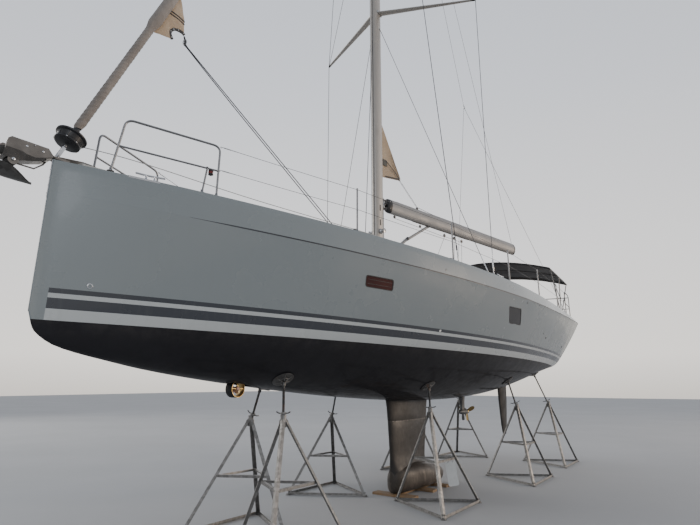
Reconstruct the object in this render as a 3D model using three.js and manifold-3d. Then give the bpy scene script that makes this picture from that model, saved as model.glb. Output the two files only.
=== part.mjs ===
import * as THREE from 'three';
import { mergeVertices } from 'three/addons/utils/BufferGeometryUtils.js';
import Module from 'manifold-3d';

const wasm = await Module();
wasm.setup();

// Millimetres. +X towards the bow, +Y to port, +Z up, the ground at z = 0.
// Places along the hull are given as s, the distance aft of the stem at the waterline.
const HULL_LENGTH = 13500;
const BOW_REACH = 620;          // anchor's fluke ahead of the stem
const STERN_REACH = 13500;      // transom
const X_STEM = (STERN_REACH - BOW_REACH) / 2;
const GAP = 0.3;                // between pieces that touch
const CLEAR = 6;                // between pieces that move and what they pass

// Hull stations. Columns: s, half breadth at the sheer, half breadth at the antifouling line,
// height of the sheer, height of the canoe body's centreline, inward lean of the band under the sheer.
const STATIONS = [
  [-20, 14, 9, 3971, 2500, 0],
  [30, 32, 14, 3969, 2362, 0],
  [90, 60, 36, 3967, 2298, 0],
  [220, 124, 82, 3963, 2223, 0],
  [430, 225, 157, 3956, 2164, 0],
  [700, 351, 250, 3947, 2111, 1],
  [1160, 556, 400, 3933, 2030, 2],
  [1800, 815, 592, 3914, 1948, 4],
  [2800, 1178, 881, 3886, 1849, 7],
  [3860, 1495, 1135, 3860, 1762, 11],
  [4820, 1730, 1328, 3840, 1702, 15],
  [6000, 1940, 1513, 3819, 1647, 22],
  [7500, 2103, 1661, 3798, 1625, 34],
  [8680, 2138, 1700, 3787, 1652, 44],
  [9640, 2128, 1680, 3781, 1712, 52],
  [10610, 2099, 1623, 3778, 1820, 58],
  [11570, 2051, 1526, 3778, 1970, 64],
  [12540, 1984, 1392, 3780, 2160, 70],
  [13500, 1898, 1218, 3786, 2370, 74],
];
const AF_BOW = 2433, AF_SLOPE = 3.93;      // antifouling line: height at the stem, rise per metre aft
const BAND_BOW = 322, BAND_FALL = 0.0012;  // depth of the coachline under the sheer
const BILGE_POWER = 2.2, TOPSIDE_BULGE = 0.18;
const TOE_WIDTH = 38, TOE_HEIGHT = 30;     // toe rail moulded at the hull's edge
const DECK_EDGE = 6, DECK_CAMBER = 62;

// Cockpit and saloon wells
const COCKPIT_FRONT = 9000, BENCH_END = 11150, HELM_END = 13330;
const BENCH_HALF = 1240, FOOTWELL_HALF = 520, HELM_HALF = 1300;
const BENCH_Z = 3590, SOLE_Z = 3190;
const GATE_HALF = 640;
const SALOON_FRONT = 4900, SALOON_END = 8700, SALOON_HALF = 900, SALOON_Z = 2500;

// Coachroof. Columns: s, half width at the deck, height above the deck's edge at the centre.
const ROOF = [
  [4050, 430, 70],
  [4500, 660, 150],
  [5300, 900, 255],
  [6300, 1060, 330],
  [7500, 1120, 395],
  [8900, 1110, 470],
];
const ROOF_WALL = 40, ROOF_TUMBLE = 0.42, ROOF_CROWN = 60;

// Rig
const MAST_S = 5840, MAST_TOP = 21200, MAST_FORE = 150, MAST_SIDE = 86;
const HOUNDS_Z = 18450, STAY_FOOT_S = -5;
const GOOSE_Z = 5427, BOOM_LENGTH = 5090, BOOM_ANGLE = 11.4, BOOM_RISE = 55, BOOM_HALF_H = 150, BOOM_HALF_W = 85;
const CHAIN_S = 6700, CHAIN_IN = 110;
const SPREADER_LOW = { z: 9790, reach: 1940, sweep: 860, off: 7.9 };    // off: shroud's centre outside the tip
const SPREADER_HIGH = { z: 14500, reach: 1480, sweep: 640, off: 10.6 };

const X = (s) => X_STEM - s;
const P = (s, y, z) => new THREE.Vector3(X(s), y, z);
const rad = (d) => (d * Math.PI) / 180;

// Station values at any s, by a smooth curve through the table's rows
function lookup(table, s, column) {
  const n = table.length;
  if (s <= table[0][0]) return table[0][column];
  if (s >= table[n - 1][0]) return table[n - 1][column];
  let i = 0;
  while (s > table[i + 1][0]) i++;
  const slope = (k) => (k <= 0 || k >= n - 1 ? null
    : (table[k + 1][column] - table[k - 1][column]) / (table[k + 1][0] - table[k - 1][0]));
  const h = table[i + 1][0] - table[i][0];
  const chord = (table[i + 1][column] - table[i][column]) / h;
  const m0 = slope(i) ?? chord, m1 = slope(i + 1) ?? chord;
  const t = (s - table[i][0]) / h;
  return (2 * t ** 3 - 3 * t ** 2 + 1) * table[i][column] + (t ** 3 - 2 * t ** 2 + t) * h * m0
    + (-2 * t ** 3 + 3 * t ** 2) * table[i + 1][column] + (t ** 3 - t ** 2) * h * m1;
}
const sheerHalf = (s) => lookup(STATIONS, s, 1);
const afHalf = (s) => lookup(STATIONS, s, 2);
const sheerZ = (s) => lookup(STATIONS, s, 3);
const keelZ = (s) => lookup(STATIONS, s, 4);
const lean = (s) => lookup(STATIONS, s, 5);
const afZ = (s) => Math.max(AF_BOW + AF_SLOPE * s / 1000, keelZ(s) + 30);
const bandDrop = (s) => BAND_BOW - BAND_FALL * s * (s / 1000);
const bottomZ = (s, y) => keelZ(s) + (afZ(s) - keelZ(s)) * Math.min(Math.abs(y) / afHalf(s), 1) ** BILGE_POWER;
const deckZ = (s, y) => sheerZ(s) - DECK_EDGE + DECK_CAMBER * (1 - (Math.abs(y) / sheerHalf(s)) ** 2);

// Solids
function fromRings(rings, closed = false) {
  const n = rings[0].length, pos = [], idx = [];
  rings.forEach((r) => r.forEach((p) => pos.push(p.x, p.y, p.z)));
  const last = closed ? rings.length : rings.length - 1;
  for (let i = 0; i < last; i++) {
    for (let j = 0; j < n; j++) {
      const a = i * n + j, b = i * n + (j + 1) % n;
      const k = ((i + 1) % rings.length) * n;
      const c = k + (j + 1) % n, d = k + j;
      idx.push(a, b, c, a, c, d);
    }
  }
  if (!closed) {
    [[0, 1], [rings.length - 1, -1]].forEach(([i, side]) => {
      const mid = new THREE.Vector3();
      rings[i].forEach((p) => mid.add(p));
      mid.divideScalar(n);
      const m = pos.length / 3;
      pos.push(mid.x, mid.y, mid.z);
      for (let j = 0; j < n; j++) {
        const a = i * n + j, b = i * n + (j + 1) % n;
        if (side > 0) idx.push(m, b, a); else idx.push(m, a, b);
      }
    });
  }
  let volume = 0;
  const v = (k) => [pos[3 * k], pos[3 * k + 1], pos[3 * k + 2]];
  for (let t = 0; t < idx.length; t += 3) {
    const [a, b, c] = [v(idx[t]), v(idx[t + 1]), v(idx[t + 2])];
    volume += a[0] * (b[1] * c[2] - b[2] * c[1]) - a[1] * (b[0] * c[2] - b[2] * c[0]) + a[2] * (b[0] * c[1] - b[1] * c[0]);
  }
  if (volume < 0) for (let t = 0; t < idx.length; t += 3) [idx[t + 1], idx[t + 2]] = [idx[t + 2], idx[t + 1]];
  return new wasm.Manifold(new wasm.Mesh({
    numProp: 3, vertProperties: new Float32Array(pos), triVerts: new Uint32Array(idx),
  }));
}
function fromGeometry(geometry) {
  const g = geometry.clone();
  g.deleteAttribute('normal');
  g.deleteAttribute('uv');
  const m = mergeVertices(g, 1e-3);
  return new wasm.Manifold(new wasm.Mesh({
    numProp: 3, vertProperties: new Float32Array(m.attributes.position.array), triVerts: new Uint32Array(m.index.array),
  }));
}
const join = (list) => list.reduce((a, b) => a.add(b));
const cut = (a, list) => list.reduce((m, b) => m.subtract(b), a);

// A box between two corners given as (s, y, z)
function block(s0, s1, y0, y1, z0, z1) {
  const g = new THREE.BoxGeometry(Math.abs(s1 - s0), Math.abs(y1 - y0), Math.abs(z1 - z0));
  g.translate(X((s0 + s1) / 2), (y0 + y1) / 2, (z0 + z1) / 2);
  return fromGeometry(g);
}
// A round bar between two points
function rod(a, b, r, n = 8, r2 = r) {
  const d = b.clone().sub(a).normalize();
  const side = Math.abs(d.z) > 0.9 ? new THREE.Vector3(1, 0, 0) : new THREE.Vector3(0, 0, 1);
  const u = side.cross(d).normalize(), w = d.clone().cross(u);
  const ring = (c, q) => Array.from({ length: n }, (_, i) => {
    const t = (2 * Math.PI * (i + 0.5)) / n;
    return c.clone().addScaledVector(u, q * Math.cos(t)).addScaledVector(w, q * Math.sin(t));
  });
  return fromRings([ring(a, r), ring(b, r2)]);
}
// A bent tube through a list of points, its rings square to the bends
function pipe(points, r, n = 8) {
  const rings = points.map((p, i) => {
    const before = points[Math.max(i - 1, 0)], after = points[Math.min(i + 1, points.length - 1)];
    const d = after.clone().sub(before).normalize();
    const side = Math.abs(d.y) > 0.9 ? new THREE.Vector3(1, 0, 0) : new THREE.Vector3(0, 1, 0);
    const u = side.clone().cross(d).normalize(), w = d.clone().cross(u);
    return Array.from({ length: n }, (_, k) => {
      const t = (2 * Math.PI * (k + 0.5)) / n;
      return p.clone().addScaledVector(u, r * Math.cos(t)).addScaledVector(w, r * Math.sin(t));
    });
  });
  return fromRings(rings);
}
// A flat outline in (s, z) given a width in y, or in (s, y) given heights
function plate(outline, from, to, plane = 'sz') {
  const shape = new THREE.Shape(outline.map(([a, b]) => new THREE.Vector2(a, b)));
  const g = new THREE.ExtrudeGeometry(shape, { depth: to - from, bevelEnabled: false, curveSegments: 8 });
  const p = g.attributes.position;
  for (let i = 0; i < p.count; i++) {
    const [a, b, c] = [p.getX(i), p.getY(i), p.getZ(i) + from];
    if (plane === 'sz') p.setXYZ(i, X(a), c, b); else p.setXYZ(i, X(a), b, c);
  }
  let m = fromGeometry(g);
  if (m.volume() < 0) {
    const h = g.toNonIndexed();
    const q = h.attributes.position;
    for (let i = 0; i < q.count; i += 3) {
      const t = [q.getX(i + 1), q.getY(i + 1), q.getZ(i + 1)];
      q.setXYZ(i + 1, q.getX(i + 2), q.getY(i + 2), q.getZ(i + 2));
      q.setXYZ(i + 2, ...t);
    }
    m = fromGeometry(h);
  }
  return m;
}
// A turned piece about a line through c along axis, profile as (radius, place) pairs
function turned(profile, c, axis, n = 20) {
  const d = axis.clone().normalize();
  const side = Math.abs(d.z) > 0.9 ? new THREE.Vector3(1, 0, 0) : new THREE.Vector3(0, 0, 1);
  const u = side.cross(d).normalize(), w = d.clone().cross(u);
  return fromRings(profile.map(([r, h]) => Array.from({ length: n }, (_, k) => {
    const t = (2 * Math.PI * k) / n;
    return c.clone().addScaledVector(d, h).addScaledVector(u, r * Math.cos(t)).addScaledVector(w, r * Math.sin(t));
  })));
}

const yacht = new THREE.Group();
yacht.name = 'sailing_yacht';
function node(name, solid, color, roughness, metalness) {
  const mesh = solid.getMesh();
  const g = new THREE.BufferGeometry();
  g.setAttribute('position', new THREE.BufferAttribute(new Float32Array(mesh.vertProperties), 3));
  g.setIndex(new THREE.BufferAttribute(new Uint32Array(mesh.triVerts), 1));
  const m = new THREE.Mesh(g, new THREE.MeshStandardMaterial({ color, roughness, metalness }));
  m.name = name;
  yacht.add(m);
}
const GREY = 0x8f969b, WHITE = 0xdedfdc, BLACK = 0x17181b, DARK = 0x2b2c30, STEEL = 0xb9bcc0, ALLOY = 0xa8a6a2;
const TAN = 0x8d6f58, BRONZE = 0xa48a55, GALV = 0x9a9ea2, WOOD = 0x8a6a48, TEAK = 0xa07e58, GLASS = 0x101216;

// Hull
function hullRing(s) {
  const half = [];
  const zk = keelZ(s), za = afZ(s), zs = sheerZ(s), bw = afHalf(s), bs = sheerHalf(s), bg = bs + lean(s);
  [0, 0.18, 0.4, 0.6, 0.78, 0.91, 1].forEach((u) => half.push([bw * u, zk + (za - zk) * u ** BILGE_POWER]));
  const zg = zs - Math.min(bandDrop(s), (zs - za) * 0.5);
  [0.33, 0.66, 1].forEach((t) => half.push([bw + (bg - bw) * (t + TOPSIDE_BULGE * t * (1 - t)), za + (zg - za) * t]));
  half.push([bs, zs]);
  const inner = Math.max(bs - TOE_WIDTH, bs * 0.35);
  half.push([inner + 4 * Math.min(1, bs / 400), zs], [inner, zs - TOE_HEIGHT]);
  const port = half.map(([y, z]) => P(s, y, z));
  const starboard = half.slice(1).reverse().map(([y, z]) => P(s, -y, z));
  return [...port, ...starboard];
}
const HULL_STEPS = [-20, 30, 90, 220, 430, 700, 1160, 1800, 2300, 2800, 3330, 3860, 4820, 6000, 7500, 8680, 9640, 10610, 11570, 12540, 13500];
let hull = fromRings(HULL_STEPS.map(hullRing));
const hullSkin = hull.translate(0, 0, -GAP - 0.1);

// Wells cut in hull and deck alike. The footwell and helm area share the sole.
const TOP = 4600;
const wells = [
  block(COCKPIT_FRONT, BENCH_END, -BENCH_HALF, BENCH_HALF, BENCH_Z, TOP),
  block(COCKPIT_FRONT, BENCH_END, -FOOTWELL_HALF, FOOTWELL_HALF, SOLE_Z, TOP),
  block(BENCH_END - 1, HELM_END, -HELM_HALF, HELM_HALF, SOLE_Z, TOP),
  block(HELM_END - 1, HULL_LENGTH + 50, -GATE_HALF, GATE_HALF, SOLE_Z, TOP),
  block(SALOON_FRONT, SALOON_END, -SALOON_HALF, SALOON_HALF, SALOON_Z, TOP),
];
// Companionway through the bulkhead between saloon and footwell
const COMPANION_HALF = 340;
const companion = block(SALOON_END - 1, COCKPIT_FRONT + 1, -COMPANION_HALF, COMPANION_HALF, SOLE_Z + 250, TOP);

// Rudder stock bore, thruster well
const RUDDER_S = 12250, STOCK_R = 55;
const bore = rod(P(RUDDER_S, 0, 1500), P(RUDDER_S, 0, 2700), STOCK_R + 2, 24);
const THRUSTER_S = 2440, THRUSTER_Z = 1838, THRUSTER_R = 108;
const thrusterWell = block(THRUSTER_S - 160, THRUSTER_S + 160, -130, 130, 1500, 2080);

// Bench lockers and anchor locker, shallow boxes under their lids
const LOCKER = { s0: 9420, s1: 10760, y0: 660, y1: 1120, depth: 300 };
const ANCHOR_LOCKER = { s0: 950, s1: 1560, half: 175, depth: 320 };
const FORE_HATCH = { s0: 2450, s1: 3010, half: 280 };
const lockers = [1, -1].map((q) => block(LOCKER.s0, LOCKER.s1, q * LOCKER.y0, q * LOCKER.y1, BENCH_Z - LOCKER.depth, TOP));
const anchorWell = block(ANCHOR_LOCKER.s0, ANCHOR_LOCKER.s1, -ANCHOR_LOCKER.half, ANCHOR_LOCKER.half, 3550, TOP);
const foreWell = block(FORE_HATCH.s0 + 30, FORE_HATCH.s1 - 30, -FORE_HATCH.half + 30, FORE_HATCH.half - 30, 3200, TOP);

hull = cut(hull, [...wells, companion, bore, thrusterWell, ...lockers, anchorWell, foreWell]);
node('hull', hull, GREY, 0.35, 0.0);

// Deck: a slab on the hull's seat, cambered, with a raised rim round each opening
const DECK_STEPS = [220, 430, 700, 1160, 1800, 2800, 3860, 4820, 6000, 7500, 8680, 9640, 10610, 11570, 12540, 13498];
function deckRing(s) {
  const inner = Math.max(sheerHalf(s) - TOE_WIDTH, sheerHalf(s) * 0.35) - 1.5;
  const top = [1, 0.66, 0.33, 0, -0.33, -0.66, -1].map((u) => P(s, inner * u, deckZ(s, inner * u)));
  return [P(s, -inner, sheerZ(s) - TOE_HEIGHT + GAP), P(s, inner, sheerZ(s) - TOE_HEIGHT + GAP), ...top];
}
const rim = (s0, s1, half, z0, z1, w) => cut(block(s0, s1, -half, half, z0, z1), [block(s0 + w, s1 - w, -half + w, half - w, z0 - 10, z1 + 10)]);
let deck = fromRings(DECK_STEPS.map(deckRing));
deck = deck.add(block(FORE_HATCH.s0, FORE_HATCH.s1, -FORE_HATCH.half, FORE_HATCH.half, 3900, deckZ(2700, 0) + 32));
deck = deck.add(block(ANCHOR_LOCKER.s0 - 20, ANCHOR_LOCKER.s1 + 20, -ANCHOR_LOCKER.half - 20, ANCHOR_LOCKER.half + 20, 3925, deckZ(950, 0) + 4));
deck = cut(deck, [...wells, companion, ...lockers, anchorWell, foreWell]);
node('deck', deck, WHITE, 0.6, 0.0);

// Coachroof: a shell over the saloon, its sides leaning in, windows cut
function roofRing(s, grow) {
  const w = lookup(ROOF, s, 1) + grow, h = lookup(ROOF, s, 2) + grow;
  const base = sheerZ(s) - 5, top = sheerZ(s) + h;
  const shoulder = Math.max(w - ROOF_TUMBLE * h - 30, w * 0.5);
  const edge = w - ROOF_TUMBLE * h * 0.35;
  return [
    P(s, -w, base), P(s, w, base),
    P(s, edge, base + (top - base) * 0.55), P(s, shoulder, top - ROOF_CROWN), P(s, shoulder * 0.5, top - ROOF_CROWN * 0.25), P(s, 0, top),
    P(s, -shoulder * 0.5, top - ROOF_CROWN * 0.25), P(s, -shoulder, top - ROOF_CROWN), P(s, -edge, base + (top - base) * 0.55),
  ];
}
const ROOF_STEPS = [4050, 4500, 5300, 6300, 7500, 8900];
const roofOuter = fromRings(ROOF_STEPS.map((s) => roofRing(s, 0)));
const roofInner = fromRings([4700, 5300, 6300, 7500, 8860].map((s) => roofRing(s, -ROOF_WALL)));
const deckSkin = fromRings(DECK_STEPS.map((s) => {
  const inner = Math.max(sheerHalf(s) - TOE_WIDTH, sheerHalf(s) * 0.35) - 1.5;
  const top = [1, 0.66, 0.33, 0, -0.33, -0.66, -1].map((u) => P(s, inner * u, deckZ(s, inner * u) + GAP));
  return [P(s, -inner, 3000), P(s, inner, 3000), ...top];
}));
const HATCH_FRONT = 8060, HATCH_HALF = 370;
const WINDOW = { s0: 5500, s1: 8250, rise0: 100, rise1: 300 };
const windowCut = (grow) => plate([
  [WINDOW.s0 + 260 - grow * 5, sheerZ(6000) + WINDOW.rise0 - grow], [WINDOW.s1 + grow, sheerZ(8000) + WINDOW.rise0 + 20 - grow],
  [WINDOW.s1 + 60 + grow, sheerZ(8000) + WINDOW.rise1 + 10 + grow], [WINDOW.s0 + 700 - grow * 2, sheerZ(6000) + WINDOW.rise1 - 70 + grow],
], -2000, 2000);
const roofShell = roofOuter.subtract(roofInner);
const CABIN_HATCH = { s0: 4830, s1: 5330, half: 250 };
let coachroof = roofShell.add(
  fromRings([CABIN_HATCH.s0, CABIN_HATCH.s1].map((s) => [P(s, -CABIN_HATCH.half, 3960), P(s, CABIN_HATCH.half, 3960), P(s, CABIN_HATCH.half, sheerZ(s) + lookup(ROOF, s, 2) + 28), P(s, -CABIN_HATCH.half, sheerZ(s) + lookup(ROOF, s, 2) + 28)])),
);
// Hood that the hatch slides under, its sides joined to the roof
const HOOD = { s0: 7250, s1: 8060, half: 440 };
const roofTop = (s) => sheerZ(s) + lookup(ROOF, s, 2);
const slab = (s0, s1, y0, y1, lo, hi) => fromRings([s0, s1].map((s) => [P(s, y0, roofTop(s) + lo), P(s, y1, roofTop(s) + lo), P(s, y1, roofTop(s) + hi), P(s, y0, roofTop(s) + hi)]));
const HATCH_BACK = 8925, RAIL_TOP = 6;
const slideLine = (s) => roofTop(HATCH_FRONT) + (roofTop(HATCH_BACK) - roofTop(HATCH_FRONT)) * (s - HATCH_FRONT) / (HATCH_BACK - HATCH_FRONT);
const straight = (s0, s1, y0, y1, lo, hi) => fromRings([s0, s1].map((s) => [P(s, y0, slideLine(s) + lo), P(s, y1, slideLine(s) + lo), P(s, y1, slideLine(s) + hi), P(s, y0, slideLine(s) + hi)]));
const rails = [1, -1].map((q) => straight(HOOD.s0 + 20, 8895, q * (COMPANION_HALF + 5), q * (HATCH_HALF - 6), -70, RAIL_TOP));
coachroof = join([coachroof, slab(HOOD.s0, HOOD.s1, -HOOD.half, HOOD.half, -60, 95)]);
coachroof = cut(join([cut(coachroof, [straight(HOOD.s0 + 60, HOOD.s1 + 5, -HATCH_HALF - 25, HATCH_HALF + 25, 0, 70)]), ...rails]), [
  deckSkin,
  windowCut(0).subtract(block(4000, 9000, -300, 300, 3000, 5000)),
  block(HATCH_FRONT + 40, 8950, -COMPANION_HALF, COMPANION_HALF, 3000, 5000),
  block(CABIN_HATCH.s0 + 30, CABIN_HATCH.s1 - 30, -CABIN_HATCH.half + 30, CABIN_HATCH.half - 30, 3000, 5000),
]);
node('coachroof', coachroof, WHITE, 0.35, 0.0);

// Window panes, set in the wall with a small gap all round
const paneBody = roofOuter.subtract(fromRings([4700, 5300, 6300, 7500, 8860].map((s) => roofRing(s, -12)))).intersect(windowCut(-GAP));
node('window_port', paneBody.intersect(block(4000, 9500, 300, 2000, 3000, 5000)), GLASS, 0.08, 0.0);
node('window_starboard', paneBody.intersect(block(4000, 9500, -2000, -300, 3000, 5000)), GLASS, 0.08, 0.0);

// Sliding hatch, over the companionway and under the hood when open
node('companionway_hatch', straight(HATCH_FRONT + 12, HATCH_BACK, -HATCH_HALF, HATCH_HALF, RAIL_TOP + GAP, RAIL_TOP + 32), GLASS, 0.15, 0.0);
node('washboard', block(8866, 8896, -COMPANION_HALF + GAP, COMPANION_HALF - GAP, SOLE_Z + 250 + GAP, roofTop(8896) - 6), GLASS, 0.15, 0.0);

// Cockpit coamings, from the coachroof's aft end to the helms
const WINCH_S = 11350, WINCH_Y = 1375;
const COAMING = [[8905, 1270, 1560, 300], [9600, 1262, 1580, 270], [11000, 1262, 1570, 230], [12300, 1320, 1500, 110]];
[['port', 1], ['starboard', -1]].forEach(([side, q]) => {
  const rings = COAMING.map(([s, y0, y1, h]) => [
    P(s, q * y0, sheerZ(s) - 60), P(s, q * y1, sheerZ(s) - 60), P(s, q * (y1 - 90), sheerZ(s) + h), P(s, q * y0, sheerZ(s) + h),
  ]);
  const coaming = cut(fromRings(rings), [deckSkin]);
  node(`coaming_${side}`, coaming, WHITE, 0.4, 0.0);
  const base = turned([[95, -40], [95, 20], [62, 40], [66, 110], [88, 130], [88, 145], [30, 160]], P(WINCH_S, q * WINCH_Y, sheerZ(WINCH_S) + 206), new THREE.Vector3(0, 0, 1), 20);
  node(`winch_${side}`, cut(base, [coaming.translate(0, 0, GAP)]), STEEL, 0.25, 1.0);
});

// Bench locker lids
const LID_T = 22, HINGE_R = CLEAR - GAP;
[['port', 1], ['starboard', -1]].forEach(([side, q]) => {
  node(`locker_lid_${side}`, join([
    block(LOCKER.s0 - 18, LOCKER.s1 + 18, q * (LOCKER.y0 - 18), q * (LOCKER.y1 + 18), BENCH_Z + CLEAR, BENCH_Z + CLEAR + LID_T),
    rod(P(LOCKER.s0 + 40, q * (LOCKER.y1 + 18), BENCH_Z + CLEAR), P(LOCKER.s1 - 40, q * (LOCKER.y1 + 18), BENCH_Z + CLEAR), HINGE_R, 12),
  ]), TEAK, 0.7, 0.0);
});

// Cockpit table with its leaves down
const TABLE = { s0: 9650, s1: 10800, half: 130, top: 3910 };
node('cockpit_table', join([
  block(TABLE.s0, TABLE.s1, -TABLE.half, TABLE.half, TABLE.top - 40, TABLE.top),
  block(TABLE.s0 + 150, TABLE.s1 - 150, -85, 85, SOLE_Z + 80, TABLE.top - 39),
  block(TABLE.s0 + 220, TABLE.s1 - 220, -110, 110, SOLE_Z + GAP, SOLE_Z + 90),
  block(TABLE.s0, TABLE.s1, TABLE.half - 1, TABLE.half + 18, TABLE.top - 330, TABLE.top),
  block(TABLE.s0, TABLE.s1, -TABLE.half - 18, -TABLE.half + 1, TABLE.top - 330, TABLE.top),
]), TEAK, 0.6, 0.0);

// Helms: pedestals and wheels
const HELM = { s: 11900, y: 800, wheelZ: 4060, wheelR: 400 };
[['port', 1], ['starboard', -1]].forEach(([side, q]) => {
  const y = q * HELM.y;
  node(`pedestal_${side}`, join([
    plate([[HELM.s - 300, SOLE_Z + GAP], [HELM.s - 60, SOLE_Z + GAP], [HELM.s - 50, HELM.wheelZ - 60], [HELM.s - 90, HELM.wheelZ + 130], [HELM.s - 290, HELM.wheelZ + 90]], y - 130, y + 130),
    rod(P(HELM.s - 100, y, HELM.wheelZ + 20 - 20), P(HELM.s - 36, y, HELM.wheelZ), 45, 16),
  ]), WHITE, 0.4, 0.0);
  const rimPath = Array.from({ length: 24 }, (_, i) => {
    const t = (2 * Math.PI * i) / 24;
    return [y + HELM.wheelR * Math.cos(t), HELM.wheelZ + HELM.wheelR * Math.sin(t)];
  });
  const rimRings = rimPath.map(([py, pz]) => {
    const out = new THREE.Vector3(0, py - y, pz - HELM.wheelZ).normalize();
    return Array.from({ length: 8 }, (_, k) => {
      const t = (2 * Math.PI * k) / 8;
      return P(HELM.s, py, pz).addScaledVector(out, 15 * Math.cos(t)).add(new THREE.Vector3(15 * Math.sin(t), 0, 0));
    });
  });
  const spokes = [0, 1, 2, 3, 4].map((i) => {
    const t = rad(90 + 72 * i);
    return rod(P(HELM.s, y, HELM.wheelZ), P(HELM.s, y + (HELM.wheelR - 2) * Math.cos(t), HELM.wheelZ + (HELM.wheelR - 2) * Math.sin(t)), 9, 8);
  });
  node(`wheel_${side}`, join([fromRings(rimRings, true), ...spokes, rod(P(HELM.s - 36 + GAP, y, HELM.wheelZ), P(HELM.s + 22, y, HELM.wheelZ), 40, 16)]), STEEL, 0.25, 1.0);
});

// Transom door, folded up in its gate and hinged at its foot
node('transom_door', join([
  block(HULL_LENGTH - 60, HULL_LENGTH - 6, -GATE_HALF + CLEAR, GATE_HALF - CLEAR, SOLE_Z + CLEAR, sheerZ(13500) - 20),
  rod(P(HULL_LENGTH - 6, -GATE_HALF + 60, SOLE_Z + CLEAR), P(HULL_LENGTH - 6, GATE_HALF - 60, SOLE_Z + CLEAR), HINGE_R, 12),
]), WHITE, 0.4, 0.0);

// Keel: fin and bulb. Columns: height, leading edge s, trailing edge s, half thickness.
const FIN = [[1690, 6060, 7640, 105], [1273, 6110, 7590, 95], [620, 6165, 7470, 80], [330, 6190, 7430, 76]];
const PLANK_T = 42;
const foil = (s0, s1, half, z) => {
  const half_shape = [[0, 0], [0.05, 0.55], [0.15, 0.87], [0.32, 1], [0.55, 0.82], [0.8, 0.4], [1, 0.06]];
  const pts = half_shape.map(([u, t]) => P(s0 + (s1 - s0) * u, t * half, z));
  return [...pts, ...half_shape.slice(1).reverse().map(([u, t]) => P(s0 + (s1 - s0) * u, -t * half, z))];
};
const underbody = (drop) => fromRings([5200, 6000, 6750, 7500, 8090, 8680].map((s) => {
  const pts = [-0.4, -0.18, 0, 0.18, 0.4].map((u) => P(s, afHalf(s) * u, bottomZ(s, afHalf(s) * u) - drop));
  return [...pts, P(s, afHalf(s) * 0.4, 3000), P(s, -afHalf(s) * 0.4, 3000)];
}));
const finBody = fromRings(FIN.map(([z, s0, s1, half]) => foil(s0, s1, half, z)));
node('keel_fin', cut(finBody, [underbody(GAP)]), DARK, 0.7, 0.2);
// Bulb. Columns: s, half width, height of top, height of bottom
const BULB = [[6170, 30, 420, 70], [6260, 130, 450, 48], [6500, 225, 500, PLANK_T + GAP], [6900, 290, 520, PLANK_T + GAP], [7300, 300, 470, PLANK_T + GAP], [7700, 240, 400, 50], [8050, 120, 310, 100], [8250, 20, 220, 140]];
const bulbRing = ([s, half, top, bot]) => {
  const mid = (top + bot) / 2, h = (top - bot) / 2;
  const pts = [[0, 1], [0.62, 0.86], [1, 0.3], [1, -0.3], [0.8, -0.86], [0.35, -1]];
  return [...pts.map(([a, b]) => P(s, half * a, mid + h * b)), ...pts.slice(1).reverse().map(([a, b]) => P(s, -half * a, mid + h * b))];
};
const bulb = fromRings(BULB.map(bulbRing));
node('keel_bulb', cut(bulb, [fromRings([[FIN[3][0] - GAP, ...FIN[3].slice(1)], FIN[2]].map(([z, s0, s1, half]) => foil(s0 - 2, s1 + 2, half + 2, z)))]), DARK, 0.7, 0.2);

// Planks under the keel's foot
node('keel_planks', join([
  block(6210, 6400, -420, 420, 0, PLANK_T), block(6960, 7150, -420, 420, 0, PLANK_T), block(7560, 7720, -420, 420, 0, PLANK_T), block(6300, 7650, -60, 60, 0, PLANK_T - 12),
]), WOOD, 0.85, 0.0);

// Rudder blade with its stock. Columns: height, leading edge s, trailing edge s, half thickness.
const BLADE = [[2035, 12010, 12720, 62], [1500, 12040, 12660, 52], [900, 12110, 12540, 38], [640, 12190, 12440, 26]];
node('rudder', join([fromRings(BLADE.map(([z, s0, s1, half]) => foil(s0, s1, half, z))), rod(P(RUDDER_S, 0, 1950), P(RUDDER_S, 0, 2640), STOCK_R + 1.2, 24)]), BLACK, 0.8, 0.0);

// Saildrive leg with its folding propeller
const DRIVE_S = 9500, PROP_Z = 1330;
node('saildrive_leg', cut(join([
  fromRings([[1800, 150, 76], [1665, 140, 70], [1500, 110, 45], [PROP_Z, 120, 40]].map(([z, l, w]) => foil(DRIVE_S - l, DRIVE_S + l, w, z))),
  turned([[20, -210], [52, -140], [62, 0], [58, 150], [50, 195 - GAP]], P(DRIVE_S, 0, PROP_Z), new THREE.Vector3(-1, 0, 0), 16),
  turned([[70, PROP_Z - 190], [60, PROP_Z - 170], [40, PROP_Z - 60]].map(([r, z]) => [r * 0.5, z - PROP_Z]), P(DRIVE_S, 0, PROP_Z), new THREE.Vector3(0, 0, 1), 12),
]), [hullSkin]), DARK, 0.6, 0.3);
const blade = (angle, c, axisX, r0, r1, chord, thick) => {
  const t = rad(angle), out = new THREE.Vector3(0, Math.cos(t), Math.sin(t)), tang = new THREE.Vector3(0, -Math.sin(t), Math.cos(t));
  return fromRings([[r0, 0.7, 50], [(r0 + r1) / 2, 1, 32], [r1, 0.35, 20]].map(([r, w, pitch]) => {
    const a = rad(pitch), along = tang.clone().multiplyScalar(Math.cos(a)).addScaledVector(axisX, Math.sin(a));
    const nrm = tang.clone().multiplyScalar(-Math.sin(a)).addScaledVector(axisX, Math.cos(a));
    const base = c.clone().addScaledVector(out, r);
    return [[-1, 0], [-0.3, 1], [0.4, 1], [1, 0], [0.4, -1], [-0.3, -1]].map(([u, v]) => base.clone().addScaledVector(along, chord * w * u / 2).addScaledVector(nrm, thick * v / 2));
  }));
};
const propC = P(DRIVE_S + 245, 0, PROP_Z), AFT = new THREE.Vector3(-1, 0, 0);
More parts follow.
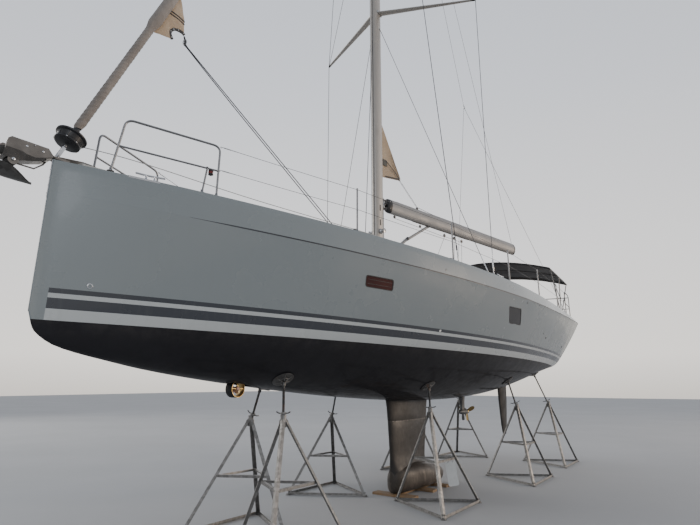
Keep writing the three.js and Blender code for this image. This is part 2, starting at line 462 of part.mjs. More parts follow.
node('propeller', join([turned([[50, -50], [50, 20], [28, 60], [6, 85]], propC, AFT, 16), ...[90, 210, 330].map((a) => blade(a, propC, AFT, 30, 215, 110, 10))]), BRONZE, 0.35, 1.0);

// Bow thruster lowered out of its well: ring on a strut, propeller inside
const thrC = P(THRUSTER_S, 0, THRUSTER_Z), PORT = new THREE.Vector3(0, 1, 0);
const ring = turned([[THRUSTER_R, -60], [THRUSTER_R, 60]], thrC, PORT, 24).subtract(turned([[THRUSTER_R - 11, -80], [THRUSTER_R - 11, 80]], thrC, PORT, 24));
node('thruster_ring', join([
  ring, rod(P(THRUSTER_S, 38, THRUSTER_Z + THRUSTER_R - 6), P(THRUSTER_S, 38, 2080 - GAP), 21, 12),
  block(THRUSTER_S - 12, THRUSTER_S + 12, 28, 48, THRUSTER_Z - 10, THRUSTER_Z + THRUSTER_R),
  rod(P(THRUSTER_S, 20, THRUSTER_Z), P(THRUSTER_S, 58, THRUSTER_Z), 26, 12),
]), BRONZE, 0.45, 1.0);
const thrP = P(THRUSTER_S, -12, THRUSTER_Z);
node('thruster_propeller', join([turned([[22, -22], [26, 22], [14, 24], [14, 32 - GAP]], thrP, PORT, 12), ...[45, 135, 225, 315].map((a) => {
  const t = rad(a), out = new THREE.Vector3(Math.cos(t), 0, Math.sin(t)), tang = new THREE.Vector3(-Math.sin(t), 0, Math.cos(t));
  return fromRings([[15, 20], [THRUSTER_R - 26, 28]].map(([r, c]) => [[-1, -1], [1, 1], [1.1, 0.7], [-0.9, -1.3]].map(([u, v]) => thrP.clone().addScaledVector(out, r).addScaledVector(tang, c * u).addScaledVector(PORT, 9 * v))));
})]), BRONZE, 0.4, 0.8);

// Mast with its spreaders
const mastFoot = roofTop(MAST_S) + GAP;
const mastRing = (z, k = 1) => Array.from({ length: 16 }, (_, i) => {
  const t = (2 * Math.PI * i) / 16;
  return P(MAST_S, MAST_SIDE * k * Math.cos(t), z).add(new THREE.Vector3(MAST_FORE * k * Math.sin(t), 0, 0));
});
const mastTube = fromRings([mastRing(mastFoot - 30), mastRing(MAST_TOP, 1)]);
const roofSkin = fromRings(ROOF_STEPS.map((s) => roofRing(s, GAP)));
const spreader = (q, { z, reach, sweep }) => fromRings([[0.02, 80, 26], [0.25, 62, 18], [1, 30, 12]].map(([u, c, h]) => {
  const y = MAST_SIDE * 0.4 + (reach - MAST_SIDE * 0.4) * u, s = MAST_S + 20 + (sweep - 20) * u;
  return [[c, 0], [0, h], [-c, 0], [0, -h]].map(([a, b]) => P(s + a, q * y, z + b));
}));
node('mast', cut(join([
  mastTube, fromRings([mastRing(mastFoot - 60, 1.35), mastRing(mastFoot + 24, 1.35)]),
  ...[1, -1].flatMap((q) => [spreader(q, SPREADER_LOW), spreader(q, SPREADER_HIGH)]),
  block(MAST_S - 120, MAST_S + 220, -25, 25, MAST_TOP - 60, MAST_TOP + 20),
]), [roofSkin]), ALLOY, 0.4, 0.9);

// Boom at its swing in the photo, with gooseneck and rigid vang, all about one upright axis
const PIVOT_S = MAST_S + MAST_FORE + 75;
const boomDir = new THREE.Vector3(-Math.cos(rad(BOOM_ANGLE)), Math.sin(rad(BOOM_ANGLE)), 0);
const boomSide = new THREE.Vector3(-boomDir.y, boomDir.x, 0);
const along = (d, dz, off = 0) => P(PIVOT_S, 0, GOOSE_Z + dz).addScaledVector(boomDir, d).addScaledVector(boomSide, off);
const boomRing = (d, grow = 0) => {
  const rise = BOOM_RISE * d / BOOM_LENGTH;
  return [[0, 1], [0.7, 0.72], [1, 0], [0.7, -0.72], [0, -1], [-0.7, -0.72], [-1, 0], [-0.7, 0.72]].map(([a, b]) => along(d, rise + (BOOM_HALF_H + grow) * b, (BOOM_HALF_W + grow) * a));
};
node('boom', join([
  fromRings([boomRing(60), boomRing(BOOM_LENGTH)]),
  rod(along(0, -80 + GAP), along(0, 80 - GAP), 22, 12), rod(along(-2, 0), along(80, 0), 34, 12),
]), ALLOY, 0.4, 0.9);
const VANG_Z = mastFoot + 200, VANG_LUG = 52, VANG_LUG_TOP = 72;   // lugs under and over the vang's end, which it swings between
node('vang', cut(join([
  pipe([along(14, VANG_Z - GOOSE_Z), along(700, (VANG_Z - GOOSE_Z) * 0.52)], 32, 10),
  pipe([along(640, (VANG_Z - GOOSE_Z) * 0.565), along(1440, -BOOM_HALF_H + 12)], 22, 10),
  rod(along(0, VANG_Z - GOOSE_Z - VANG_LUG + GAP), along(0, VANG_Z - GOOSE_Z + VANG_LUG_TOP - GAP), 20, 12),
]), [fromRings([boomRing(50, 0.5), boomRing(2500, 0.5)])]), ALLOY, 0.4, 0.9);
node('boom_brackets', join([
  block(MAST_S + MAST_FORE + GAP, MAST_S + MAST_FORE + 25, -30, 30, VANG_Z - 80, GOOSE_Z + 120),
  block(MAST_S + MAST_FORE + 20, PIVOT_S + 30, -30, 30, GOOSE_Z + 80, GOOSE_Z + 100),
  block(MAST_S + MAST_FORE + 20, PIVOT_S + 30, -30, 30, GOOSE_Z - 100, GOOSE_Z - 80),
  block(MAST_S + MAST_FORE + 20, PIVOT_S + 30, -30, 30, VANG_Z + VANG_LUG_TOP, VANG_Z + VANG_LUG_TOP + 16),
  block(MAST_S + MAST_FORE + 20, PIVOT_S + 30, -30, 30, VANG_Z - VANG_LUG - 16, VANG_Z - VANG_LUG),
]), BLACK, 0.5, 0.5);

// Sails: the furled headsail round its stay, its clew flap, the mainsail's clew
const STAY_TOP_S = MAST_S - MAST_FORE;
const onStay = (z) => P(STAY_FOOT_S + (STAY_TOP_S - STAY_FOOT_S) * (z - 3971) / (HOUNDS_Z - 3971), 0, z);
const SAIL_Z = 4370;
const sailRings = [[SAIL_Z, 40], [4420, 54], [5980, 55], [6100, 79], [9500, 72], [14000, 50], [17900, 24], [18050, 10], [18480, 10]];
const roll = (grow) => fromRings(sailRings.map(([z, r]) => Array.from({ length: 10 }, (_, i) => {
  const t = (2 * Math.PI * i) / 10;
  return onStay(z).add(new THREE.Vector3((r + grow) * Math.cos(t), (r + grow) * Math.sin(t), 0));
})));
const mastSkin = fromRings([mastRing(4000, 1.004), mastRing(MAST_TOP + 50, 1.004)]);
node('headsail', cut(roll(0), [mastSkin]), TAN, 0.85, 0.0);
const CLEW = [[800, 5985], [845, 5976], [1093, 6044], [1059, 6106], [1082, 6158], [1122, 6194], [1202, 6209], [1240, 6194], [1230, 6330], [1228, 6404], [1156, 6676], [1090, 6700]];
node('headsail_clew', cut(plate(CLEW, -5, 5), [roll(0.5)]), TAN, 0.85, 0.0);
node('furler_drum', cut(join([
  turned([[60, 0], [125, 8], [125, 26], [116, 34], [128, 86], [150, 94], [150, 112], [60, 124]], onStay(4168), new THREE.Vector3(-0.394, 0, 1), 20),
  rod(onStay(3980), onStay(4190), 14, 8), rod(onStay(4260), onStay(4410), 34, 12),
]), [block(-500, 500, -200, 200, 3000, 3993 + GAP), block(-500, 500, -200, 200, SAIL_Z - GAP, 5000)]), BLACK, 0.4, 0.2);
const clewDir = (d, dz) => P(MAST_S + MAST_FORE + 4, 0, dz).addScaledVector(boomDir, d);
const mainPts = [[-25, 7310], [-25, 6020], [610, 6150], [625, 6200]];
node('mainsail_clew', cut(fromRings([-4, 4].map((o) => mainPts.map(([d, z]) => clewDir(d, z).addScaledVector(boomSide, o)))), [mastSkin]), TAN, 0.85, 0.0);

// Main stays
const chain = (q) => P(CHAIN_S, q * (sheerHalf(CHAIN_S) - CHAIN_IN), deckZ(CHAIN_S, 2000) + 2);
const tip = (q, { z, reach, sweep, off }) => P(MAST_S + sweep, q * (reach + off), z);
[['port', 1], ['starboard', -1]].forEach(([side, q]) => {
  node(`cap_shroud_${side}`, cut(join([
    pipe([chain(q).add(new THREE.Vector3(0, 0, 60)), tip(q, SPREADER_LOW), tip(q, SPREADER_HIGH), P(MAST_S + 40, q * (MAST_SIDE - 20), HOUNDS_Z - 30)], 6, 6),
    rod(chain(q).add(new THREE.Vector3(0, 0, -15)), chain(q).add(new THREE.Vector3(0, 0, 70)), 22, 8),
  ]), [deckSkin, mastSkin]), STEEL, 0.3, 1.0);
});
const SPLIT_Z = 10000, BACK_FOOT_Y = 1750;
const backAt = (z, y = 0) => P(MAST_S + 210 + (13380 - MAST_S - 210) * (MAST_TOP - z) / (MAST_TOP - 3790), y, z);
node('backstay', cut(join([
  pipe([backAt(MAST_TOP - 50), backAt(SPLIT_Z)], 6, 6),
  rod(backAt(SPLIT_Z - 40), backAt(SPLIT_Z + 40), 24, 12),
  ...[1, -1].map((q) => pipe([backAt(SPLIT_Z - 20, q * 8), P(13400, q * BACK_FOOT_Y, deckZ(13400, BACK_FOOT_Y) - 16)], 6, 6)),
]), [deckSkin, block(5600, 6200, -60, 60, MAST_TOP - 60 - GAP, MAST_TOP + 60)]), STEEL, 0.3, 1.0);

// Pulpit halves. Each is a bent tube with a front leg, an aft leg and a middle rail.
const TUBE = 12.5;
[['port', 1], ['starboard', -1]].forEach(([side, q]) => {
  const A = P(515, q * 265, 4570), B = P(1385, q * 590, 4556), C = P(1460, q * 605, 4550);
  const footF = P(445, q * 185, deckZ(445, 185) - 14), footB = P(1455, q * 600, deckZ(1455, 600) - 14), footM = P(1296, q * 550, deckZ(1296, 550) - 14);
  const m0 = P(479, q * 222, 4260), m1 = P(1455, q * 601, 4246);
  node(`pulpit_${side}`, cut(join([
    pipe([footF, P(500, q * 247, 4500), A, B, C], TUBE, 8), pipe([footB, C], TUBE, 8),
    pipe([m0, m1], TUBE * 0.85, 8), pipe([footM, m0.clone().lerp(m1, 0.88)], TUBE * 0.85, 8),
  ]), [deckSkin]), STEEL, 0.2, 1.0);
});
// Guard rails: stanchions at s, two wires from pulpit to pushpit
const STANCHIONS = [3300, 5310, 7310, 9160, 11050];
const RAIL_IN = 75, RAIL_H = 650, WIRE_START = 1475;
[['port', 1], ['starboard', -1]].forEach(([side, q]) => {
  const foot = (s) => P(s, q * (sheerHalf(s) - RAIL_IN), deckZ(s, sheerHalf(s) - RAIL_IN) - 16);
  const top = (s) => foot(s).add(new THREE.Vector3(0, 0, RAIL_H));
  const wire = (k) => pipe([WIRE_START, ...STANCHIONS, 12280].map((s) => foot(s).lerp(top(s), k)), 5, 6);
  node(`guard_rail_${side}`, cut(join([...STANCHIONS.map((s) => rod(foot(s), top(s), TUBE, 8)), wire(0.975), wire(0.52)]), [deckSkin]), STEEL, 0.2, 1.0);
  // Pushpit half round the quarter
  const f = (s, y, h) => P(s, q * y, deckZ(s, Math.abs(y)) + h);
  const edge = (s) => sheerHalf(s) - RAIL_IN;
  node(`pushpit_${side}`, cut(join([
    pipe([f(12300, edge(12300), -16), f(12300, edge(12300), RAIL_H), f(12900, edge(12900), RAIL_H), f(13380, edge(13380) - 30, RAIL_H), f(13430, edge(13430) - 130, RAIL_H), f(13430, 820, RAIL_H), f(13430, 820, -16)], TUBE, 8),
    pipe([f(12300, edge(12300), RAIL_H * 0.5), f(12900, edge(12900), RAIL_H * 0.5), f(13380, edge(13380) - 30, RAIL_H * 0.5), f(13430, edge(13430) - 130, RAIL_H * 0.5), f(13430, 820, RAIL_H * 0.5)], TUBE * 0.85, 8),
    pipe([f(13380, edge(13380) - 30, -16), f(13380, edge(13380) - 30, RAIL_H)], TUBE, 8),
  ]), [deckSkin]), STEEL, 0.2, 1.0);
});

// Bow roller, anchor, windlass
// The roller's channel, open at the top. Columns: s, top, height of the bend, bottom.
const CHANNEL = [[-426, 3975, 3939, 3870], [-418, 4020, 3939, 3864], [-391, 4046, 3939, 3861], [-320, 4047, 3939, 3855], [-287, 4048, 3937, 3863], [-251, 4049, 3924, 3872], [-173, 4050, 3920, 3896], [-100, 4051, 3948, 3925], [-79, 4052, 3955, 3933], [-58, 4029, 3966, 3944], [-33, 4000, 3974, 3958]];
const ROLLER_Y = -90, CHANNEL_HALF = 107, CHANNEL_FLOOR = 62, CHANNEL_WALL = 8, ROLLER_R = 46;
const channelRing = ([s, top, bend, low], out = 0) => {
  const w = CHANNEL_WALL * (out ? 0 : 1);
  const half = [[CHANNEL_HALF - w, top + (w ? 40 : 0)], [CHANNEL_HALF - w, bend + w * 0.4], [CHANNEL_FLOOR - w * 0.6, low + w]];
  return [...half.map(([y, z]) => P(s, ROLLER_Y + y, z)), ...half.reverse().map(([y, z]) => P(s, ROLLER_Y - y, z))];
};
const channelInside = [[-460, ...CHANNEL[0].slice(1)], ...CHANNEL, [-20, ...CHANNEL[10].slice(1)]];
const ROLLER_S = -335, ROLLER_Z = 3850;
node('bow_roller', join([
  cut(fromRings(CHANNEL.map((c) => channelRing(c, 1))), [fromRings(channelInside.map((c) => channelRing(c)))]),
  plate([[-80, 3936], [-33, 3960], [-33, 3984], [120, 3985], [120, 3993], [-45, 3993], [-90, 3950]], ROLLER_Y - 13, ROLLER_Y + 101),
  block(-18, 120, -30, 30, 3971 + GAP, 3993), rod(P(ROLLER_S, ROLLER_Y - CHANNEL_FLOOR, ROLLER_Z), P(ROLLER_S, ROLLER_Y + CHANNEL_FLOOR, ROLLER_Z), ROLLER_R, 20),
  pipe([P(-300, ROLLER_Y, 3846), P(-138, ROLLER_Y, 3850), P(-66, ROLLER_Y, 3919), P(-50, ROLLER_Y, 3952)], 8, 8),
]), STEEL, 0.25, 1.0);
node('anchor', join([
  plate([[-500, 3940], [-455, 3885], [-400, ROLLER_Z + ROLLER_R + GAP], [-290, ROLLER_Z + ROLLER_R + GAP], [-60, 4000], [300, 4045], [420, 4055], [420, 4085], [290, 4085], [-420, 3975]], ROLLER_Y - 12, ROLLER_Y + 12),
  plate([[-500, 3940], [-455, 3885], [-490, 3790], [-505, 3745], [-575, 3795], [-565, 3850]], ROLLER_Y - 12, ROLLER_Y + 12),
  fromRings([[-620, 3815, 14], [-515, 3750, 110], [-372, 3704, 165], [-137, 3686, 5]].map(([s, z, w]) => [P(s, ROLLER_Y - w, z + w * 0.3), P(s, ROLLER_Y, z), P(s, ROLLER_Y + w, z + w * 0.3), P(s, ROLLER_Y, z + 24)])),
]), 0x6d6a62, 0.7, 0.5);
node('windlass', cut(join([block(1660, 1900, -110, 110, deckZ(1780, 0) - 20, deckZ(1780, 0) + 60), turned([[90, 0], [60, 30], [60, 70], [85, 100], [20, 120]], P(1780, 0, deckZ(1780, 0) + 40), new THREE.Vector3(0, 0, 1), 16)]), [deckSkin]), STEEL, 0.3, 1.0);

// Lids on deck
// each a plate whose hinged edge turns on a barrel close to the rim under it
const lid = (s0, s1, half, z0, z1, hingeS, slope = 0) => join([
  fromRings([s0, s1].map((s) => [[-half, 0], [half, 0], [half, z1 - z0], [-half, z1 - z0]].map(([y, h]) => P(s, y, z0 + slope * (s - hingeS) + h)))),
  rod(P(hingeS, -half + 40, z0), P(hingeS, half - 40, z0), HINGE_R, 12),
]);
const ANCHOR_LID_Z = deckZ(950, 0) + 4 + CLEAR, FORE_LID_Z = deckZ(2700, 0) + 32 + CLEAR;
node('anchor_locker_lid', lid(ANCHOR_LOCKER.s0 - 20, ANCHOR_LOCKER.s1 + 20, ANCHOR_LOCKER.half + 20, ANCHOR_LID_Z, ANCHOR_LID_Z + 20, ANCHOR_LOCKER.s1 + 20), WHITE, 0.5, 0.0);
node('fore_hatch_lid', lid(FORE_HATCH.s0, FORE_HATCH.s1, FORE_HATCH.half, FORE_LID_Z, FORE_LID_Z + 22, FORE_HATCH.s0), GLASS, 0.15, 0.0);
const CABIN_SLOPE = (roofTop(CABIN_HATCH.s1) - roofTop(CABIN_HATCH.s0)) / (CABIN_HATCH.s1 - CABIN_HATCH.s0);
node('cabin_hatch_lid', lid(CABIN_HATCH.s0, CABIN_HATCH.s1, CABIN_HATCH.half, roofTop(CABIN_HATCH.s0) + 34, roofTop(CABIN_HATCH.s0) + 58, CABIN_HATCH.s0, CABIN_SLOPE), GLASS, 0.15, 0.0);

// Bimini: bows of tube and a canopy of cloth
const BIMINI = { s0: 11040, s1: 12860, half: 1900, edge: 4870, crown: 375, fall: 110, power: 1.85 };
const BOW_U = [-1, -0.9, -0.7, -0.4, 0, 0.4, 0.7, 0.9, 1];
const bowZ = (u, s) => BIMINI.edge - BIMINI.fall * (s - BIMINI.s0) / (BIMINI.s1 - BIMINI.s0) + BIMINI.crown * (1 - Math.abs(u) ** BIMINI.power);
const BOW_S = [BIMINI.s0 + 60, (BIMINI.s0 + BIMINI.s1) / 2, BIMINI.s1 - 60], BOW_DROP = 10 + 12.5 + 0.6;
const bow = (s, drop) => BOW_U.map((u) => P(s, u * BIMINI.half, bowZ(u, s) - drop));
const legS = 12330, LEG_Y = 1790;
const legFoot = (s, q) => P(s, q * LEG_Y, deckZ(s, LEG_Y) - 14);
node('bimini_frame', cut(join([
  pipe([legFoot(legS, -1), ...bow(BOW_S[0], BOW_DROP), legFoot(legS, 1)], TUBE, 8),
  pipe([legFoot(legS + 60, -1), ...bow(BOW_S[2], BOW_DROP), legFoot(legS + 60, 1)], TUBE, 8),
  pipe([legFoot(legS + 30, -1), ...bow(BOW_S[1], BOW_DROP), legFoot(legS + 30, 1)], TUBE, 8),
  ...[1, -1].map((q) => rod(P(legS - 30, q * LEG_Y, deckZ(legS, LEG_Y) + 2), P(legS + 90, q * LEG_Y, deckZ(legS, LEG_Y) + 2), 18, 8)),
]), [deckSkin]), STEEL, 0.2, 1.0);
const canopyRing = (u) => [[BIMINI.s0, -10], [BIMINI.s1, -10], [BIMINI.s1, 0], [BIMINI.s0, 0]].map(([s, h]) => P(s, u * BIMINI.half, bowZ(u, s) + h));
node('bimini_canopy', fromRings(BOW_U.map(canopyRing)), BLACK, 0.9, 0.0);

// Jack stands: a foot frame, three legs to a head with bars across at half height, a screw and a
// tilting pad under the hull. Columns: place, side, s, distances from the centreline of the pad, of the
// feet's middle and of the head, height of the head.
const STANDS = [
  ['bow', 1, 2850, 420, 560, 450, 1433], ['bow', -1, 3250, 360, 600, 540, 1385],
  ['keel', 1, 5980, 880, 1010, 910, 1430], ['keel', -1, 5950, 1000, 1200, 1170, 1280],
  ['mid', 1, 9350, 1150, 1350, 1320, 1450], ['mid', -1, 9350, 1150, 1350, 1320, 1450],
  ['stern', 1, 12200, 950, 1300, 1270, 1450], ['stern', -1, 12200, 950, 1300, 1270, 1450],
];
const STAND_R = 800;
STANDS.forEach(([place, q, s, padY, midY, headY, headZ]) => {
  const zPad = bottomZ(s, padY), ds = 40, dy = 40;
  const nrm = new THREE.Vector3(0, q * (bottomZ(s, padY + dy) - bottomZ(s, padY - dy)) / (2 * dy), -1);
  nrm.x = -(bottomZ(s + ds, padY) - bottomZ(s - ds, padY)) / (2 * ds);
  nrm.normalize();
  const touch = P(s, q * padY, zPad);
  const head = P(s, q * headY, Math.min(zPad - 400, headZ));
  const padC = touch.clone().addScaledVector(nrm, 12);
  const feet = [60, 180, 300].map((a) => P(s + STAND_R * Math.sin(rad(a)), q * (midY + STAND_R * Math.cos(rad(a))), 22));
  const half = feet.map((f) => f.clone().lerp(head, 0.5));
  const parts = feet.map((f) => pipe([f, head], 20, 6));
  feet.forEach((f, i) => {
    parts.push(pipe([f, feet[(i + 1) % 3]], 20, 6), pipe([half[i], half[(i + 1) % 3]], 15, 6));
    parts.push(rod(f.clone().setZ(0), f.clone().setZ(30), 45, 8));
  });
  parts.push(rod(head.clone().add(new THREE.Vector3(0, 0, -60)), head.clone().add(new THREE.Vector3(0, 0, 90)), 38, 10));
  parts.push(pipe([head, padC.clone().addScaledVector(nrm, 20)], 18, 8));
  parts.push(turned([[60, 34], [140, 12], [140, -14]], touch, nrm, 14));
  node(`stand_${place}_${q > 0 ? 'port' : 'starboard'}`, cut(join(parts), [hullSkin]), GALV, 0.5, 0.8);
});

export default yacht;
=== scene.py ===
import math

import bmesh
import bpy
from mathutils import Matrix, Vector


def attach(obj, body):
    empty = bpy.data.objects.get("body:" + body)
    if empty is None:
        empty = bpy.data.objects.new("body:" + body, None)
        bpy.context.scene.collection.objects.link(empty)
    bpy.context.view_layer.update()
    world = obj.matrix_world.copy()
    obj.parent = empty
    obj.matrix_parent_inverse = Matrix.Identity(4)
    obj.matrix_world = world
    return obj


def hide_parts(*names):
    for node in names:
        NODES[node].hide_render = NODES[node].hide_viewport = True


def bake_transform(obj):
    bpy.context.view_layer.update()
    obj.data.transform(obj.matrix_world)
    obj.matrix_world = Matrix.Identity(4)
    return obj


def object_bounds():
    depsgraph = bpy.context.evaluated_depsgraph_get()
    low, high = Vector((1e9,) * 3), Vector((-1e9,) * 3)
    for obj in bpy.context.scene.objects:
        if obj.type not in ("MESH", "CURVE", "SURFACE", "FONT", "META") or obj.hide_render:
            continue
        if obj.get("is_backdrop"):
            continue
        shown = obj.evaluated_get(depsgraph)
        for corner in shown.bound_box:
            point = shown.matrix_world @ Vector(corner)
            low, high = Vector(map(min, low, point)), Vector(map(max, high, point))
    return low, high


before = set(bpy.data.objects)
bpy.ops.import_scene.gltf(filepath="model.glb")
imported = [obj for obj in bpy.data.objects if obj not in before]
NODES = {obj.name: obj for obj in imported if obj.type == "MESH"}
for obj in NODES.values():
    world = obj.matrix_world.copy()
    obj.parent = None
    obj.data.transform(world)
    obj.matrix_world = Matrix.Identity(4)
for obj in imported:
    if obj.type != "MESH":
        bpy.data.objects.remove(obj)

cad_low, cad_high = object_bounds()
TAU, UP = 2 * math.pi, (0, 0, 1)

# Metres. +X to the bow, +Y to port, +Z up, the ground at z = 0.
# A place along the hull is given as s, the distance aft of the stem at the waterline.
X_STEM = 6.44
HULL_LENGTH = 13.5
PORT, STARBOARD = 1, -1
SIDES = (("port", PORT), ("starboard", STARBOARD))

# Hull stations. Columns: s, half breadth at the sheer, half breadth at the antifouling line,
# height of the sheer, height of the canoe body's centreline, inward lean of the band under the sheer.
STATIONS = [
    (-0.02, 0.014, 0.009, 3.971, 2.500, 0),
    (0.03, 0.032, 0.014, 3.969, 2.362, 0),
    (0.09, 0.060, 0.036, 3.967, 2.298, 0),
    (0.22, 0.124, 0.082, 3.963, 2.223, 0),
    (0.43, 0.225, 0.157, 3.956, 2.164, 0),
    (0.70, 0.351, 0.250, 3.947, 2.111, 0.001),
    (1.16, 0.556, 0.400, 3.933, 2.030, 0.002),
    (1.80, 0.815, 0.592, 3.914, 1.948, 0.004),
    (2.80, 1.178, 0.881, 3.886, 1.849, 0.007),
    (3.86, 1.495, 1.135, 3.860, 1.762, 0.011),
    (4.82, 1.730, 1.328, 3.840, 1.702, 0.015),
    (6.00, 1.940, 1.513, 3.819, 1.647, 0.022),
    (7.50, 2.103, 1.661, 3.798, 1.625, 0.034),
    (8.68, 2.138, 1.700, 3.787, 1.652, 0.044),
    (9.64, 2.128, 1.680, 3.781, 1.712, 0.052),
    (10.61, 2.099, 1.623, 3.778, 1.820, 0.058),
    (11.57, 2.051, 1.526, 3.778, 1.970, 0.064),
    (12.54, 1.984, 1.392, 3.780, 2.160, 0.070),
    (13.50, 1.898, 1.218, 3.786, 2.370, 0.074),
]
AF_BOW, AF_SLOPE = 2.433, 0.00393        # antifouling line: height at the stem, rise per metre aft
BAND_BOW, BAND_FALL = 0.322, 0.0012      # depth of the coachline under the sheer
BILGE_POWER, TOPSIDE_BULGE = 2.2, 0.18
TOE_WIDTH, TOE_HEIGHT = 0.038, 0.030
DECK_EDGE, DECK_CAMBER = 0.006, 0.062

# Wells
COCKPIT_FRONT, BENCH_END, HELM_END = 9.0, 11.15, 13.33
BENCH_HALF, FOOTWELL_HALF, HELM_HALF = 1.24, 0.52, 1.30
BENCH_Z, SOLE_Z, GATE_HALF = 3.59, 3.19, 0.64
SALOON_FRONT, SALOON_END, SALOON_HALF, SALOON_Z = 4.9, 8.7, 0.9, 2.5
COMPANION_HALF = 0.34
LOCKER = dict(s0=9.42, s1=10.76, y0=0.66, y1=1.12, depth=0.30)
ANCHOR_LOCKER = dict(s0=0.95, s1=1.56, half=0.175)
FORE_HATCH = dict(s0=2.45, s1=3.01, half=0.28)
RUDDER_S, THRUSTER_S, THRUSTER_Z = 12.25, 2.44, 1.838

# Coachroof. Columns: s, half width at the deck, height above the deck's edge at the centre.
ROOF = [
    (4.05, 0.43, 0.07), (4.5, 0.66, 0.15), (5.3, 0.90, 0.255),
    (6.3, 1.06, 0.33), (7.5, 1.12, 0.395), (8.9, 1.11, 0.47),
]
ROOF_CROWN = 0.06

# Rig
MAST_S, MAST_TOP, MAST_FORE, MAST_SIDE = 5.84, 21.2, 0.150, 0.086
HOUNDS_Z, STAY_FOOT_S = 18.45, -0.005
GOOSE_Z, BOOM_LENGTH, BOOM_ANGLE, BOOM_RISE = 5.427, 5.09, math.radians(11.4), 0.055
BOOM_HALF_H, BOOM_HALF_W = 0.150, 0.085
PIVOT_S = MAST_S + MAST_FORE + 0.075
CHAIN_S, CHAIN_IN = 6.7, 0.11
SPREADERS = {
    "low": dict(z=9.79, reach=1.94, sweep=0.86, off=0.0079), "high": dict(z=14.5, reach=1.48, sweep=0.64, off=0.0106)
}
SPLIT_Z, BACK_TOP_S, BACK_FOOT_S, BACK_FOOT_Y = 10.0, 6.05, 13.38, 1.75


def P(s, y, z):
    return Vector((X_STEM - s, y, z))


def lookup(table, s, column):
    """A table's column at any s, by a smooth curve through its rows."""
    n = len(table)
    if s <= table[0][0]:
        return table[0][column]
    if s >= table[-1][0]:
        return table[-1][column]
    i = 0
    while s > table[i + 1][0]:
        i += 1
    h = table[i + 1][0] - table[i][0]
    chord = (table[i + 1][column] - table[i][column]) / h

    def slope(k):
        if k <= 0 or k >= n - 1:
            return chord
        return (table[k + 1][column] - table[k - 1][column]) / (table[k + 1][0] - table[k - 1][0])

    t = (s - table[i][0]) / h
    return (
        (2 * t**3 - 3 * t**2 + 1) * table[i][column]
        + (t**3 - 2 * t**2 + t) * h * slope(i)
        + (-2 * t**3 + 3 * t**2) * table[i + 1][column]
        + (t**3 - t**2) * h * slope(i + 1)
    )


def sheer_half(s): return lookup(STATIONS, s, 1)
def af_half(s): return lookup(STATIONS, s, 2)
def sheer_z(s): return lookup(STATIONS, s, 3)
def keel_z(s): return lookup(STATIONS, s, 4)
def lean(s): return lookup(STATIONS, s, 5)
def af_z(s): return max(AF_BOW + AF_SLOPE * s, keel_z(s) + 0.03)
def band_drop(s): return BAND_BOW - BAND_FALL * s * s
def roof_top(s): return sheer_z(s) + lookup(ROOF, s, 2)


def bottom_z(s, y):
    return keel_z(s) + (af_z(s) - keel_z(s)) * min(abs(y) / af_half(s), 1) ** BILGE_POWER


def deck_z(s, y):
    return sheer_z(s) - DECK_EDGE + DECK_CAMBER * (1 - (abs(y) / sheer_half(s)) ** 2)


def knuckle(s):
    """Half breadth and height of the coachline."""
    drop = min(band_drop(s), (sheer_z(s) - af_z(s)) * 0.5)
    return sheer_half(s) + lean(s), sheer_z(s) - drop


def side_y(s, z):
    """Half breadth of the topsides at a height."""
    bg, zg = knuckle(s)
    za, bw = af_z(s), af_half(s)
    if z > zg:
        return bg + (sheer_half(s) - bg) * (z - zg) / (sheer_z(s) - zg)
    t = (z - za) / (zg - za)
    return bw + (bg - bw) * (t + TOPSIDE_BULGE * t * (1 - t))


